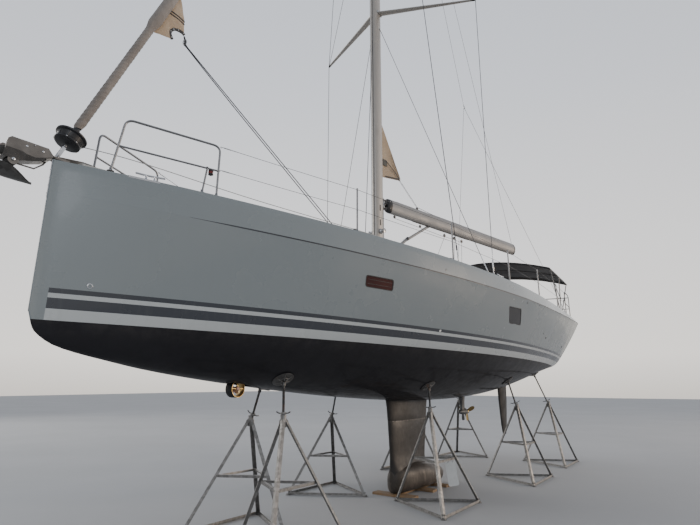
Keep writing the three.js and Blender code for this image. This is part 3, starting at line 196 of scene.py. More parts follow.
# Building meshes
class Shape:
    """The faces of several solids in one mesh, each with its material's number."""

    def __init__(self):
        self.v, self.f, self.m = [], [], []

    def add(self, points, faces, mat=0):
        k = len(self.v)
        self.v += [tuple(p) for p in points]
        self.f += [tuple(i + k for i in f) for f in faces]
        self.m += [mat] * len(faces)
        return self

    def rings(self, rings, mat=0, closed=False):
        """A skin over sections, closed into a ring or capped at both ends."""
        n, faces = len(rings[0]), []
        for i in range(len(rings) if closed else len(rings) - 1):
            a, b = i * n, (i + 1) % len(rings) * n
            for j in range(n):
                k = (j + 1) % n
                faces.append((a + j, a + k, b + k, b + j))
        if not closed:
            faces += [tuple(range(n)), tuple(range((len(rings) - 1) * n, len(rings) * n))]
        return self.add([p for r in rings for p in r], faces, mat)

    def tube(self, points, r, n=12, mat=0, closed=False):
        """A round tube; r is one radius or one for each point."""
        pts = [Vector(p) for p in points]
        radii = r if hasattr(r, "__len__") else [r] * len(pts)
        rings, u = [], None
        for i, p in enumerate(pts):
            before = pts[i - 1] if i or closed else p
            after = pts[(i + 1) % len(pts)] if i < len(pts) - 1 or closed else p
            d = (after - before).normalized()
            if u is None:
                u = d.cross(Vector((0, 0, 1)) if abs(d.z) < 0.9 else Vector((1, 0, 0)))
            u = (u - d * u.dot(d)).normalized()
            w = d.cross(u)
            rings.append([p + (u * math.cos(t) + w * math.sin(t)) * radii[i] for t in turns(n)])
        return self.rings(rings, mat, closed)

    def lathe(self, profile, centre, axis=UP, n=24, mat=0):
        """A turned solid; the profile is (radius, place along the axis) pairs."""
        d = Vector(axis).normalized()
        u = d.cross(Vector((0, 0, 1)) if abs(d.z) < 0.9 else Vector((1, 0, 0))).normalized()
        w = d.cross(u)
        c = Vector(centre)
        rings = [[c + d * h + (u * math.cos(t) + w * math.sin(t)) * r for t in turns(n)] for r, h in profile]
        return self.rings(rings, mat)

    def box(self, a, b, mat=0, c=0.0):
        """A box between two corners, its upright edges and rims cut by c."""
        lo = Vector(map(min, a, b))
        hi = Vector(map(max, a, b))
        c = min(c, *[(hi[k] - lo[k]) * 0.45 for k in range(3)])
        if c <= 0:
            corners = ((lo.x, lo.y), (hi.x, lo.y), (hi.x, hi.y), (lo.x, hi.y))
            return self.rings([[(x, y, z) for x, y in corners] for z in (lo.z, hi.z)], mat)
        rings = []
        for z, k in ((lo.z, 1), (lo.z + c, 0), (hi.z - c, 0), (hi.z, 1)):
            x0, x1, y0, y1, q = lo.x + k * c, hi.x - k * c, lo.y + k * c, hi.y - k * c, c * (0.6 if k else 1)
            rings.append(
                [
                    (x0 + q, y0, z), (x1 - q, y0, z), (x1, y0 + q, z), (x1, y1 - q, z), (x1 - q, y1, z),
                    (x0 + q, y1, z), (x0, y1 - q, z), (x0, y0 + q, z)
                ]
            )
        return self.rings(rings, mat)

    def beam(self, a, b, w, h, mat=0, up=(0, 0, 1), c=0.0):
        """A straight bar of rectangular section between two points."""
        a, b = Vector(a), Vector(b)
        d = (b - a).normalized()
        u = Vector(up) - d * Vector(up).dot(d)
        if u.length < 1e-6:
            u = Vector((1, 0, 0)) - d * d.x
        u.normalize()
        side = d.cross(u)
        hw, hh = w / 2, h / 2
        if c:
            pts = [
                (-hw + c, -hh), (hw - c, -hh), (hw, -hh + c), (hw, hh - c), (hw - c, hh), (-hw + c, hh),
                (-hw, hh - c), (-hw, -hh + c)
            ]
        else:
            pts = [(-hw, -hh), (hw, -hh), (hw, hh), (-hw, hh)]
        return self.rings([[p + side * x + u * y for x, y in pts] for p in (a, b)], mat)

    def angle_iron(self, a, b, leg, t, mat=0, out=(0, 0, 1)):
        """A rolled angle between two points, its heel towards out."""
        a, b = Vector(a), Vector(b)
        d = (b - a).normalized()
        o = Vector(out) - d * Vector(out).dot(d)
        o.normalize()
        side = d.cross(o)
        u, w = (side - o).normalized(), (-side - o).normalized()
        pts = [(0, 0), (leg, 0), (leg, t), (t * 1.6, t), (t, t * 1.6), (t, leg), (0, leg)]
        shift = o * leg * 0.35
        return self.rings([[p + shift + u * x + w * y for x, y in pts] for p in (a, b)], mat)

    def prism(self, outline, place, mat=0):
        """An outline of 2-D points put in space by place(point, depth share 0 or 1) and closed."""
        return self.rings([[place(p, k) for p in outline] for k in (0, 1)], mat)

    def object(self, name, materials, body="hull", slot=None, replaces=(), sharp=32, bevel=0.0, ride=True):
        me = bpy.data.meshes.new(name)
        me.from_pydata(self.v, [], self.f)
        for m in materials:
            me.materials.append(m)
        me.polygons.foreach_set("material_index", self.m)
        tidy(me, sharp)
        o = bpy.data.objects.new(name, me)
        bpy.context.scene.collection.objects.link(o)
        if bevel:
            b = o.modifiers.new("edges", "BEVEL")
            b.width, b.segments, b.limit_method, b.angle_limit = bevel, 2, "ANGLE", math.radians(40)
            b.harden_normals = False
        if ride:
            dress(o, body, slot, replaces)
        return o


def tidy(me, sharp=32):
    """Joins doubled points, turns the faces outwards and shades them smooth up to an angle."""
    b = bmesh.new()
    b.from_mesh(me)
    bmesh.ops.remove_doubles(b, verts=b.verts, dist=1e-6)
    bmesh.ops.dissolve_degenerate(b, edges=b.edges, dist=1e-7)
    bmesh.ops.recalc_face_normals(b, faces=b.faces)
    for f in b.faces:
        f.smooth = True
    b.to_mesh(me)
    b.free()
    me.set_sharp_from_angle(angle=math.radians(sharp))
    me.update()


def dress(o, body="hull", slot=None, replaces=()):
    """Hangs a piece under its body's empty and hides the CAD nodes that it takes the place of; slot is not used."""
    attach(o, body)
    if replaces:
        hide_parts(*([replaces] if isinstance(replaces, str) else replaces))
    return o


def cut_away(o, cutters, sharp=32):
    """Cuts solids away from a piece and applies the result."""
    for c in cutters:
        m = o.modifiers.new("cut", "BOOLEAN")
        m.operation, m.object, m.solver, m.use_self = "DIFFERENCE", c, "EXACT", True
        made = bpy.data.meshes.new_from_object(o.evaluated_get(bpy.context.evaluated_depsgraph_get()))
        o.modifiers.clear()
        o.data = made
        bpy.context.view_layer.update()
    for c in cutters:
        bpy.data.objects.remove(c)
    tidy(o.data, sharp)
    return o


def cutter(fill):
    """A solid for cutting, with the faces that a function fills in."""
    shape = Shape()
    fill(shape)
    return shape.object("cutter", [], ride=False)


def rounded(points, radius, steps=6):
    """A line with its corners rounded."""
    pts = [Vector(p) for p in points]
    out = [pts[0]]
    for i in range(1, len(pts) - 1):
        a, p, b = pts[i - 1], pts[i], pts[i + 1]
        u, w = (a - p), (b - p)
        r = min(radius, u.length * 0.48, w.length * 0.48)
        u, w = u.normalized() * r, w.normalized() * r
        for k in range(steps + 1):
            t = k / steps
            out.append(p + u * (1 - t) ** 2 + w * t**2)
    return out + [pts[-1]]


def smooth_line(points, steps=8):
    """A smooth curve through points."""
    pts = [Vector(p) for p in points]
    out = []
    for i in range(len(pts) - 1):
        p0, p1, p2, p3 = pts[max(i - 1, 0)], pts[i], pts[i + 1], pts[min(i + 2, len(pts) - 1)]
        for k in range(steps):
            t = k / steps
            out.append(
                0.5 * (
                    (2 * p1) + (p2 - p0) * t + (
                        2 * p0 - 5 * p1 + 4 * p2 - p3
                    ) * t * t + (3 * p1 - p0 - 3 * p2 + p3) * t**3
                )
            )
    return out + [pts[-1]]


def spread(a, b, n):
    """n numbers from a to b."""
    return [a + (b - a) * k / (n - 1) for k in range(n)]


def turns(n, start=0.0):
    """n angles round a circle."""
    return [TAU * (k + start) / n for k in range(n)]


def rise(h):
    return Vector((0, 0, h))


# Materials
class Paint:
    """A procedural material, its patterns in the piece's own space."""

    def __init__(
        self, name, colour=(0.5, 0.5, 0.5), rough=0.5, metal=0.0, coat=0.0, coat_rough=0.1, sheen=0.0, specular=None
    ):
        self.m = bpy.data.materials.new(name)
        self.m.use_nodes = True
        self.t = self.m.node_tree
        self.b = self.t.nodes["Principled BSDF"]
        self.b.inputs["Base Color"].default_value = (*colour, 1)
        self.b.inputs["Roughness"].default_value = rough
        self.b.inputs["Metallic"].default_value = metal
        self.b.inputs["Coat Weight"].default_value = coat
        self.b.inputs["Coat Roughness"].default_value = coat_rough
        self.b.inputs["Sheen Weight"].default_value = sheen
        if specular is not None:
            self.b.inputs["Specular IOR Level"].default_value = specular
        self.m.diffuse_color = (*colour, 1)
        self.coords = self.t.nodes.new("ShaderNodeTexCoord").outputs["Object"]

    def node(self, kind, inputs=(), **settings):
        n = self.t.nodes.new("ShaderNode" + kind)
        for k, v in settings.items():
            setattr(n, k, v)
        for k, v in dict(inputs).items():
            if isinstance(v, bpy.types.NodeSocket):
                self.t.links.new(v, n.inputs[k])
            else:
                n.inputs[k].default_value = v
        return n

    def math(self, operation, a, b=0.0, c=0.0):
        return self.node("Math", {0: a, 1: b, 2: c}, operation=operation).outputs[0]

    def place(self, scale=(1, 1, 1)):
        return self.node("Mapping", {"Vector": self.coords, "Scale": scale}).outputs[0]

    def noise(self, scale, detail=4.0, rough=0.55, stretch=(1, 1, 1), warp=0.0):
        inputs = {"Scale": scale, "Detail": detail, "Roughness": rough, "Distortion": warp}
        return self.node("TexNoise", {"Vector": self.place(stretch), **inputs}).outputs[0]

    def cells(self, scale, feature="F1"):
        return self.node("TexVoronoi", {"Vector": self.place(), "Scale": scale}, feature=feature)

    def waves(self, scale, direction="X", warp=0.0):
        inputs = {"Vector": self.place(), "Scale": scale, "Distortion": warp}
        return self.node(
            "TexWave", inputs, wave_type="BANDS", bands_direction=direction, wave_profile="SIN"
        ).outputs[1]

    def xyz(self):
        return self.node("SeparateXYZ", {0: self.coords}).outputs

    def ramp(self, fac, stops, mode="LINEAR"):
        n = self.node("ValToRGB", {0: fac})
        n.color_ramp.interpolation = mode
        e = n.color_ramp.elements
        while len(e) < len(stops):
            e.new(0.5)
        for i, (at, c) in enumerate(stops):
            e[i].position = at
        for i, (at, c) in enumerate(stops):
            e[i].color = (*c, 1) if hasattr(c, "__len__") else (c, c, c, 1)
        return n.outputs[0]

    def range(self, fac, a0, a1, b0, b1):
        return self.node("MapRange", {0: fac, 1: a0, 2: a1, 3: b0, 4: b1}).outputs[0]

    def mix(self, fac, a, b, mode="MIX"):
        n = self.t.nodes.new("ShaderNodeMix")
        n.data_type, n.blend_type = "RGBA", mode
        for i, v in ((0, fac), (6, a), (7, b)):
            if isinstance(v, bpy.types.NodeSocket):
                self.t.links.new(v, n.inputs[i])
            else:
                n.inputs[i].default_value = (*v, 1) if hasattr(v, "__len__") else v
        return n.outputs[2]

    def set(self, name, socket):
        self.t.links.new(socket, self.b.inputs[name])

    def bump(self, height, strength=0.3, distance=0.002):
        n = self.node("Bump", {"Height": height, "Strength": strength, "Distance": distance})
        last = self.b.inputs["Normal"]
        if last.links:
            self.t.links.new(last.links[0].from_socket, n.inputs["Normal"])
        self.t.links.new(n.outputs[0], last)


def shade(c, k):
    return tuple(min(1.0, x * k) for x in c)


def plain(
    name, colour, rough=(0.4, 0.55), metal=0.0, vary=0.12, scale=3.0, grain=60.0, grain_depth=0.0006,
    grain_strength=0.25, stretch=(1, 1, 1), coat=0.0, dirt=None, dirt_share=0.5, sheen=0.0
):
    """A finish with broad colour variation, dirt, uneven gloss and a fine grain."""
    p = Paint(name, colour, sum(rough) / 2, metal, coat, sheen=sheen)
    broad = p.noise(scale, 5, 0.6, stretch)
    tone = p.ramp(broad, [(0.3, shade(colour, 1 - vary)), (0.52, colour), (0.72, shade(colour, 1 + vary))])
    if dirt:
        spots = p.noise(scale * 4.3, 8, 0.68, stretch, 0.4)
        amount = p.range(spots, dirt_share, dirt_share + 0.22, 0, 1)
        tone = p.mix(amount, tone, dirt)
    p.set("Base Color", tone)
    p.set("Roughness", p.range(p.noise(scale * 2.2, 6, 0.6, stretch), 0.3, 0.7, rough[0], rough[1]))
    p.bump(p.noise(grain, 3, 0.6, stretch), grain_strength, grain_depth)
    return p.m


# Topsides, with stripes given as (height over the antifouling line, colour from there up)
TOPSIDE = (0.212, 0.243, 0.256)
BAND_LIGHT = (0.44, 0.475, 0.485)
STRIPE_DARK = (0.040, 0.046, 0.057)
STRIPES = [(0.0, BAND_LIGHT), (0.104, STRIPE_DARK), (0.204, BAND_LIGHT), (0.247, STRIPE_DARK), (0.294, TOPSIDE)]
STRIPE_SPAN, STRIPE_START = 0.5, 0.10
# black antifouling, darkened below its own colour as painted shade under the hull
ANTIFOUL_AND_SHADE = (0.0075, 0.0078, 0.0105)


def paint_hull():
    p = Paint("hull_paint", TOPSIDE, 0.3, 0.0, coat=0.25, coat_rough=0.06)
    x, _, z = p.xyz()[:3]
    # height over the antifouling line, which rises towards the stern
    h = p.math("SUBTRACT", p.math("MULTIPLY_ADD", x, AF_SLOPE, z), AF_BOW + AF_SLOPE * X_STEM)
    above = p.math("GREATER_THAN", h, 0.0)
    stripes = p.ramp(p.math("DIVIDE", h, STRIPE_SPAN), [(at / STRIPE_SPAN, c) for at, c in STRIPES], "CONSTANT")
    # bare topside colour round the stem
    stripes = p.mix(p.math("GREATER_THAN", x, X_STEM - STRIPE_START), stripes, TOPSIDE)
    runs = p.noise(5.0, 6, 0.6, (3.2, 3.2, 0.25))
    stripes = p.mix(p.range(runs, 0.55, 0.8, 0, 0.1), stripes, (0.18, 0.19, 0.185))
    # antifouling under the line: blotches and roller marks are real, the darkness is partly painted shade under the
    # hull
    below = p.ramp(
        p.noise(1.6, 7, 0.66, (1, 1, 1.6)),
        [(0.3, ANTIFOUL_AND_SHADE), (0.62, shade(ANTIFOUL_AND_SHADE, 1.5)), (0.85, (0.015, 0.0145, 0.0165))]
    )
    rolled = p.noise(13.0, 5, 0.65, (0.35, 1, 1))
    below = p.mix(p.range(rolled, 0.5, 0.75, 0, 0.5), below, (0.0125, 0.012, 0.014))
    # slime line and dust just under the paint's edge
    edge = p.range(h, -0.16, 0.0, 0.0, 0.35)
    below = p.mix(
        p.math("MULTIPLY", edge, p.range(p.noise(7.0, 6, 0.7), 0.4, 0.65, 0, 1)), below, (0.05, 0.047, 0.046)
    )
    p.set("Base Color", p.mix(above, below, stripes))
    gloss = p.range(p.noise(1.1, 5, 0.55), 0.3, 0.7, 0.2, 0.34)
    matt = p.range(p.noise(4.0, 5, 0.6), 0.3, 0.7, 0.55, 0.8)
    p.set("Roughness", p.node("MapRange", {0: above, 3: matt, 4: gloss}).outputs[0])
    p.set("Specular IOR Level", p.range(above, 0, 1, 0.18, 0.5))
    grain = p.math("MULTIPLY", p.noise(95.0, 4, 0.7), p.math("SUBTRACT", 1.0, above))
    p.bump(grain, 0.35, 0.0012)
    p.bump(p.noise(2.2, 2, 0.4, (1, 1, 1.4)), 0.035, 0.02)
    return p.m


def paint_nonskid():
    p = Paint("deck_nonskid", (0.47, 0.465, 0.44), 0.75)
    p.set(
        "Base Color",
        p.ramp(
            p.noise(2.1, 7, 0.66),
            [(0.3, (0.40, 0.395, 0.37)), (0.55, (0.48, 0.475, 0.45)), (0.8, (0.53, 0.525, 0.50))]
        )
    )
    d = p.cells(240.0, feature="SMOOTH_F1").outputs[0]
    p.bump(d, 0.7, 0.0012)
    return p.m


def paint_teak(name="teak_laid", axis=1, width=0.048, colour=(0.36, 0.25, 0.155), caulk=True):
    """Planks along the hull with black caulking, greyed by the sun."""
    p = Paint(name, colour, 0.62)
    c = p.xyz()
    across = p.math("DIVIDE", c[axis], width)
    plank = p.math("FLOOR", across)
    stretch = (0.9, 14, 6) if axis == 1 else (14, 0.9, 6)
    grain = p.noise(5.5, 9, 0.72, stretch, 0.6)
    each = p.node("TexWhiteNoise", {1: plank}, noise_dimensions="1D").outputs[0]
    tone = p.ramp(grain, [(0.25, shade(colour, 0.62)), (0.5, colour), (0.75, shade(colour, 1.35))])
    tone = p.mix(p.range(each, 0, 1, 0, 0.45), tone, (0.33, 0.28, 0.225))
    tone = p.mix(p.range(p.noise(1.3, 5, 0.6), 0.45, 0.75, 0, 0.5), tone, (0.37, 0.335, 0.29))
    if caulk:
        f = p.math("ABSOLUTE", p.math("SUBTRACT", p.math("FRACT", across), 0.5))
        seam = p.math("GREATER_THAN", f, 0.455)
        tone = p.mix(seam, tone, (0.012, 0.012, 0.013))
        p.bump(p.math("SUBTRACT", 1.0, seam), 0.6, 0.0012)
    p.set("Base Color", tone)
    p.bump(grain, 0.35, 0.0008)
    return p.m


def paint_steel(name, colour=(0.62, 0.63, 0.65), rough=(0.1, 0.2), brush=(1, 1, 1), scale=40.0, spots=0.12):
    p = Paint(name, colour, sum(rough) / 2, 1.0)
    wear = p.noise(7.0, 6, 0.65)
    p.set("Base Color", p.ramp(wear, [(0.35, shade(colour, 1 - spots)), (0.6, colour), (0.8, shade(colour, 1.06))]))
    p.set("Roughness", p.range(p.noise(scale, 5, 0.7, brush), 0.3, 0.7, rough[0], rough[1]))
    p.bump(p.noise(scale * 3, 3, 0.5, brush), 0.06, 0.0003)
    return p.m


def paint_galvanised(name="galvanised", colour=(0.25, 0.245, 0.238), rust=0.62):
    p = Paint(name, colour, 0.5, 0.75)
    spangle = p.cells(26.0).outputs[1]
    grey = p.node("RGBToBW", {0: spangle}).outputs[0]
    tone = p.ramp(grey, [(0.2, shade(colour, 0.82)), (0.5, colour), (0.8, shade(colour, 1.25))])
    tone = p.mix(p.range(p.noise(3.0, 6, 0.65), 0.45, 0.72, 0, 0.6), tone, (0.2, 0.197, 0.19))
    marks = p.noise(9.0, 9, 0.74, (1, 1, 0.6), 0.5)
    rusty = p.range(marks, rust, rust + 0.12, 0, 1)
    tone = p.mix(rusty, tone, (0.13, 0.06, 0.03))
    p.set("Base Color", tone)
    p.set("Metallic", p.range(rusty, 0, 1, 0.75, 0.05))
    p.set("Roughness", p.range(p.noise(14.0, 6, 0.7), 0.3, 0.7, 0.38, 0.66))
    p.bump(p.noise(55.0, 6, 0.75), 0.3, 0.0008)
    return p.m


def paint_iron(name, low, high, seam=0.0):
    """Antifouled iron: dark and blotched; its lighter brown blots and streaks are a painted sheen."""
    p = Paint(name, low, 0.55, 0.15)
    blot = p.noise(2.3, 7, 0.68, (1, 1, 1.3), 0.3)
    # the lighter brown stops of the blots are a painted sheen
    tone = p.ramp(blot, [(0.28, low), (0.55, shade(low, 1.7)), (0.8, high)])
    tone = p.mix(p.range(p.noise(11.0, 8, 0.7, (1, 1, 0.35)), 0.52, 0.75, 0, 0.6), tone, shade(high, 1.15))
    z = p.xyz()[2]
    if seam:
        # chalky fairing along the joint with the hull's stub
        near = p.math("ABSOLUTE", p.math("SUBTRACT", p.math("MULTIPLY_ADD", p.noise(6.0, 4), 0.018, z), seam + 0.009))
        line = p.range(near, 0.0, 0.014, 1, 0)
        tone = p.mix(
            p.math("MULTIPLY", line, p.range(p.noise(21.0, 5, 0.7), 0.4, 0.58, 0, 1)), tone, (0.16, 0.145, 0.13)
        )
    p.set("Base Color", tone)
    p.set("Roughness", p.range(blot, 0.3, 0.7, 0.62, 0.36))
    p.bump(p.noise(42.0, 6, 0.7), 0.45, 0.0016)
    p.bump(p.noise(3.0, 3, 0.5), 0.12, 0.02)
    return p.m


def paint_rope(name, colour, fleck=None, pitch=90.0):
    """Braided rope: a fine cross-lay, with flecks of a second colour."""
    p = Paint(name, colour, 0.85, sheen=0.2)
    a = p.waves(pitch, "DIAGONAL", 0.6)
    tone = p.ramp(a, [(0.2, shade(colour, 0.6)), (0.6, colour), (0.9, shade(colour, 1.2))])
    if fleck:
        tone = p.mix(p.range(p.cells(pitch * 1.3).outputs[0], 0.24, 0.34, 1, 0), tone, fleck)
    p.set("Base Color", tone)
    p.bump(a, 0.5, 0.001)
    return p.m


def paint_cloth(name, colour, dark, light, weave=420.0, rough=(0.75, 0.95), sheen=0.25, through=0.0, creases=0.3):
    p = Paint(name, colour, 0.85, sheen=sheen)
    if through:
        p.b.inputs["Subsurface Weight"].default_value = through
        p.b.inputs["Subsurface Radius"].default_value = (0.02, 0.015, 0.01)
    broad = p.noise(2.4, 7, 0.64, (1, 1, 0.5), 0.4)
    tone = p.ramp(broad, [(0.28, dark), (0.52, colour), (0.76, light)])
    tone = p.mix(p.range(p.noise(17.0, 6, 0.7), 0.5, 0.8, 0, 0.45), tone, dark)
    p.set("Base Color", tone)
    p.set("Roughness", p.range(broad, 0.3, 0.7, rough[0], rough[1]))
    a, b = p.waves(weave, "X"), p.waves(weave, "Z")
    p.bump(p.math("MULTIPLY", a, b), 0.35, 0.0006)
    p.bump(p.noise(5.0, 5, 0.6, (1, 1, 0.4), 0.6), creases, 0.006)
    return p.m


def paint_glass(name, colour=(0.006, 0.007, 0.009), rough=0.05):
    p = Paint(name, colour, rough, 0.0, coat=0.15, coat_rough=0.03, specular=0.35)
    p.set("Roughness", p.range(p.noise(3.0, 6, 0.7), 0.35, 0.8, rough, rough + 0.09))
    p.set("Base Color", p.ramp(p.noise(1.7, 4), [(0.3, colour), (0.8, shade(colour, 2.2))]))
    return p.m


def paint_wood(name="plank_wood", colour=(0.30, 0.19, 0.10)):
    p = Paint(name, colour, 0.85)
    grain = p.noise(9.0, 9, 0.72, (5, 0.7, 5), 1.2)
    tone = p.ramp(grain, [(0.25, shade(colour, 0.5)), (0.5, colour), (0.78, shade(colour, 1.45))])
    tone = p.mix(p.range(p.noise(3.0, 5), 0.45, 0.7, 0, 0.6), tone, (0.19, 0.165, 0.14))
    p.set("Base Color", tone)
    p.bump(grain, 0.6, 0.002)
    return p.m


HULL_PAINT = paint_hull()
GELCOAT = plain(
    "gelcoat_white", (0.62, 0.625, 0.615), (0.22, 0.38), vary=0.05, scale=1.3, grain=35.0, grain_depth=0.0006,
    grain_strength=0.08, coat=0.3, dirt=(0.44, 0.42, 0.38), dirt_share=0.6
)
NONSKID = paint_nonskid()
TEAK = paint_teak()
TEAK_ACROSS = paint_teak("teak_across", axis=0)
TEAK_TRIM = paint_teak("teak_trim", caulk=False, colour=(0.30, 0.19, 0.11))
STEEL = paint_steel("steel_polished")
WIRE = paint_steel("steel_wire", (0.12, 0.12, 0.125), (0.35, 0.5), scale=120.0)
BRUSHED = paint_steel("steel_brushed", (0.45, 0.455, 0.46), (0.28, 0.42), (1, 1, 18), 60.0)
SPAR = plain(
    "spar_alloy", (0.40, 0.375, 0.345), (0.34, 0.5), metal=0.55, vary=0.07, scale=0.9, grain=140.0,
    grain_depth=0.0004, stretch=(1, 1, 0.2), dirt=(0.30, 0.275, 0.25), dirt_share=0.55
)
BLACK = plain(
    "plastic_black", (0.013, 0.013, 0.015), (0.32, 0.5), vary=0.3, scale=5.0, grain=160.0, dirt=(0.045, 0.043, 0.04),
    dirt_share=0.6
)
RUBBER = plain(
    "rubber_black", (0.018, 0.018, 0.019), (0.7, 0.88), vary=0.25, scale=6.0, grain=210.0, dirt=(0.06, 0.055, 0.05),
    dirt_share=0.55
)
# dark colour for the faces of the coachline groove: painted shade in the groove
GROOVE_SHADE = plain("groove_painted_shade", (0.035, 0.04, 0.05), (0.4, 0.55), vary=0.15)
GLASS = paint_glass("glass_smoked")
GLASS_RED = paint_glass("glass_port_red", (0.035, 0.008, 0.006), 0.08)
GALV = paint_galvanised()
# a darker copy of the galvanised steel: painted shade for the stands' screwed posts, pads and bolts
GALV_SHADED = paint_galvanised("galvanised_shaded", (0.095, 0.094, 0.093), 0.56)
ANCHOR_METAL = paint_galvanised("anchor_metal", (0.10, 0.097, 0.092), 0.6)
IRON = paint_iron("iron_fin", (0.012, 0.0105, 0.0095), (0.060, 0.050, 0.041), seam=1.273)
# a lighter copy of the fin's iron: painted highlight for the light on the bulb
IRON_BULB_LIT = paint_iron("iron_bulb_lit", (0.035, 0.029, 0.024), (0.19, 0.155, 0.125))
ANTIFOULED = plain(
    "antifouled", (0.010, 0.010, 0.0125), (0.6, 0.82), vary=0.35, scale=2.5, grain=90.0, grain_depth=0.001,
    dirt=(0.035, 0.033, 0.032), dirt_share=0.56
)
BRONZE = plain(
    "bronze_worn", (0.42, 0.30, 0.13), (0.26, 0.45), metal=0.95, vary=0.22, scale=9.0, grain=120.0,
    dirt=(0.12, 0.10, 0.06), dirt_share=0.55
)
PINKISH = plain(
    "bronze_hub", (0.52, 0.34, 0.27), (0.35, 0.55), metal=0.6, vary=0.2, scale=12.0, dirt=(0.2, 0.12, 0.09),
    dirt_share=0.55
)
CLEW_CLOTH = paint_cloth(
    "sail_clew_cloth", (0.43, 0.325, 0.22), (0.33, 0.235, 0.15), (0.52, 0.43, 0.33), through=0.15
)
CANVAS = paint_cloth(
    "canvas_black", (0.0115, 0.0105, 0.0125), (0.006, 0.0055, 0.007), (0.021, 0.019, 0.021), weave=520.0, creases=0.45
)
PATCH = paint_cloth("sail_patch", (0.10, 0.095, 0.08), (0.05, 0.048, 0.04), (0.17, 0.16, 0.14))
ROPE_WHITE = paint_rope("rope_white", (0.46, 0.45, 0.42), (0.06, 0.10, 0.2))
ROPE_DARK = paint_rope("rope_dark", (0.045, 0.047, 0.055), (0.2, 0.2, 0.2))
PLANK = paint_wood()
SIGN = plain(
    "sign_blank", (0.66, 0.67, 0.66), (0.35, 0.5), vary=0.05, scale=8.0, dirt=(0.4, 0.39, 0.36), dirt_share=0.6
)
RAIL_STEEL = paint_steel("steel_rails", (0.235, 0.237, 0.243), (0.3, 0.42))
ROLLER_STEEL = paint_steel("steel_roller", (0.20, 0.185, 0.17), (0.2, 0.34), spots=0.25)
LENS_RED = paint_glass("lens_red", (0.12, 0.01, 0.008), 0.12)
LENS_GREEN = paint_glass("lens_green", (0.008, 0.09, 0.03), 0.12)
SPAR_DULL = plain(
    "boom_alloy", (0.27, 0.265, 0.26), (0.42, 0.6), metal=0.15, vary=0.07, scale=0.9, grain=140.0, grain_depth=0.0004,
    stretch=(1, 1, 0.2), dirt=(0.21, 0.205, 0.20), dirt_share=0.6
)
BLACK_CAST = plain("cast_black", (0.02, 0.02, 0.022), (0.4, 0.6), metal=0.3, vary=0.25, scale=6.0, grain=120.0)
SAIL_ROLL = paint_cloth("sail_rolled", (0.235, 0.205, 0.18), (0.135, 0.115, 0.1), (0.34, 0.305, 0.275), weave=380.0)
TAPE = paint_cloth("sail_tape", (0.035, 0.033, 0.033), (0.018, 0.017, 0.017), (0.06, 0.057, 0.055), weave=500.0)
LEATHER = plain(
    "wheel_leather", (0.035, 0.033, 0.032), (0.5, 0.7), vary=0.2, scale=12.0, grain=260.0, grain_depth=0.0009,
    grain_strength=0.5
)
HOOD_S, HOOD_HALF = (7.25, 8.06), 0.44


# Hull: topsides and canoe body in one skin, with its coachline groove and toe rail
GROOVE_START, GROOVE_FULL = 1.15, 2.2
GROOVE_HALF, GROOVE_DEPTH = 0.008, 0.007
SKIN_STEPS = (
    [-0.024, -0.02, -0.01, 0.0, 0.015, 0.03, 0.05, 0.09, 0.15, 0.22, 0.32, 0.43, 0.56, 0.70, 0.85, 1.0]
    + spread(1.16, 12.9, 56) + [13.1, 13.3, 13.42, 13.5]
)
UNDER_STEPS = [0, 0.06, 0.12, 0.19, 0.27, 0.36, 0.45, 0.54, 0.62, 0.69, 0.76, 0.83]
SIDE_STEPS = [0.14, 0.22, 0.32, 0.44, 0.56, 0.68, 0.80, 0.90, 0.96]


def skin_half(s):
    """Half of a section, from the centreline up to the deck's seat."""
    squeeze = 0.55 if s < -0.02 else 1.0
    zk, za, zs = keel_z(s), af_z(s), sheer_z(s)
    bw, bs = af_half(s) * squeeze, sheer_half(s) * squeeze
    bg, zg = knuckle(s)
    bg *= squeeze

    def under(u): return bw * u, zk + (za - zk) * u**BILGE_POWER
    def side(t): return bw + (bg - bw) * (t + TOPSIDE_BULGE * t * (1 - t)), za + (zg - za) * t

    pts = [under(u) for u in UNDER_STEPS]
    a, b, c = under(UNDER_STEPS[-1]), (bw * 1.003, za), side(SIDE_STEPS[0])
    for k in range(1, 6):
        t = k / 6
        pts.append(tuple(a[i] * (1 - t) ** 2 + 2 * b[i] * t * (1 - t) + c[i] * t * t for i in (0, 1)))
    pts += [side(t) for t in SIDE_STEPS]
    depth = GROOVE_DEPTH * min(max((s - GROOVE_START) / (GROOVE_FULL - GROOVE_START), 0), 1)
    h = GROOVE_HALF * min(max((s - GROOVE_START) / 0.5, 0.15), 1)
    d = min(depth, bg * 0.2)
    pts += [(bg - 0.0004, zg - h), (bg - d, zg - h * 0.75), (bg - d, zg + h * 0.75), (bg - 0.0004, zg + h)]
    inner = max(bs - TOE_WIDTH, bs * 0.35)
    r = min(0.007, (bs - inner) * 0.3)
    for k in (0.35, 0.7):
        pts.append((bg + (bs - bg) * k, zg + (zs - zg) * k))
    pts += [
        (bs, zs - r), (bs - r * 0.3, zs - r * 0.3), (bs - r, zs), (inner + r, zs), (inner + r * 0.3, zs - r * 0.3),
        (inner, zs - r), (inner, zs - TOE_HEIGHT)
    ]
    return pts


def hull_skin():
    shape = Shape()
    rings = []
    for s in SKIN_STEPS:
        half = skin_half(s)
        rings.append([P(s, y, z) for y, z in half] + [P(s, -y, z) for y, z in reversed(half[1:])])
    shape.rings(rings)
    groove = len(UNDER_STEPS) + 5 + len(SIDE_STEPS)
    n = len(rings[0])
    # the groove's own faces get a dark painted shade where it has depth
    for k, f in enumerate(shape.f[:-2]):
        i, j = divmod(k, n)
        if SKIN_STEPS[i] >= GROOVE_START and (groove <= j < groove + 3 or n - groove - 3 <= j < n - groove):
            shape.m[k] = 1
    return shape.object("hull_skin", [HULL_PAINT, GROOVE_SHADE, GELCOAT, RUBBER], ride=False, sharp=24)


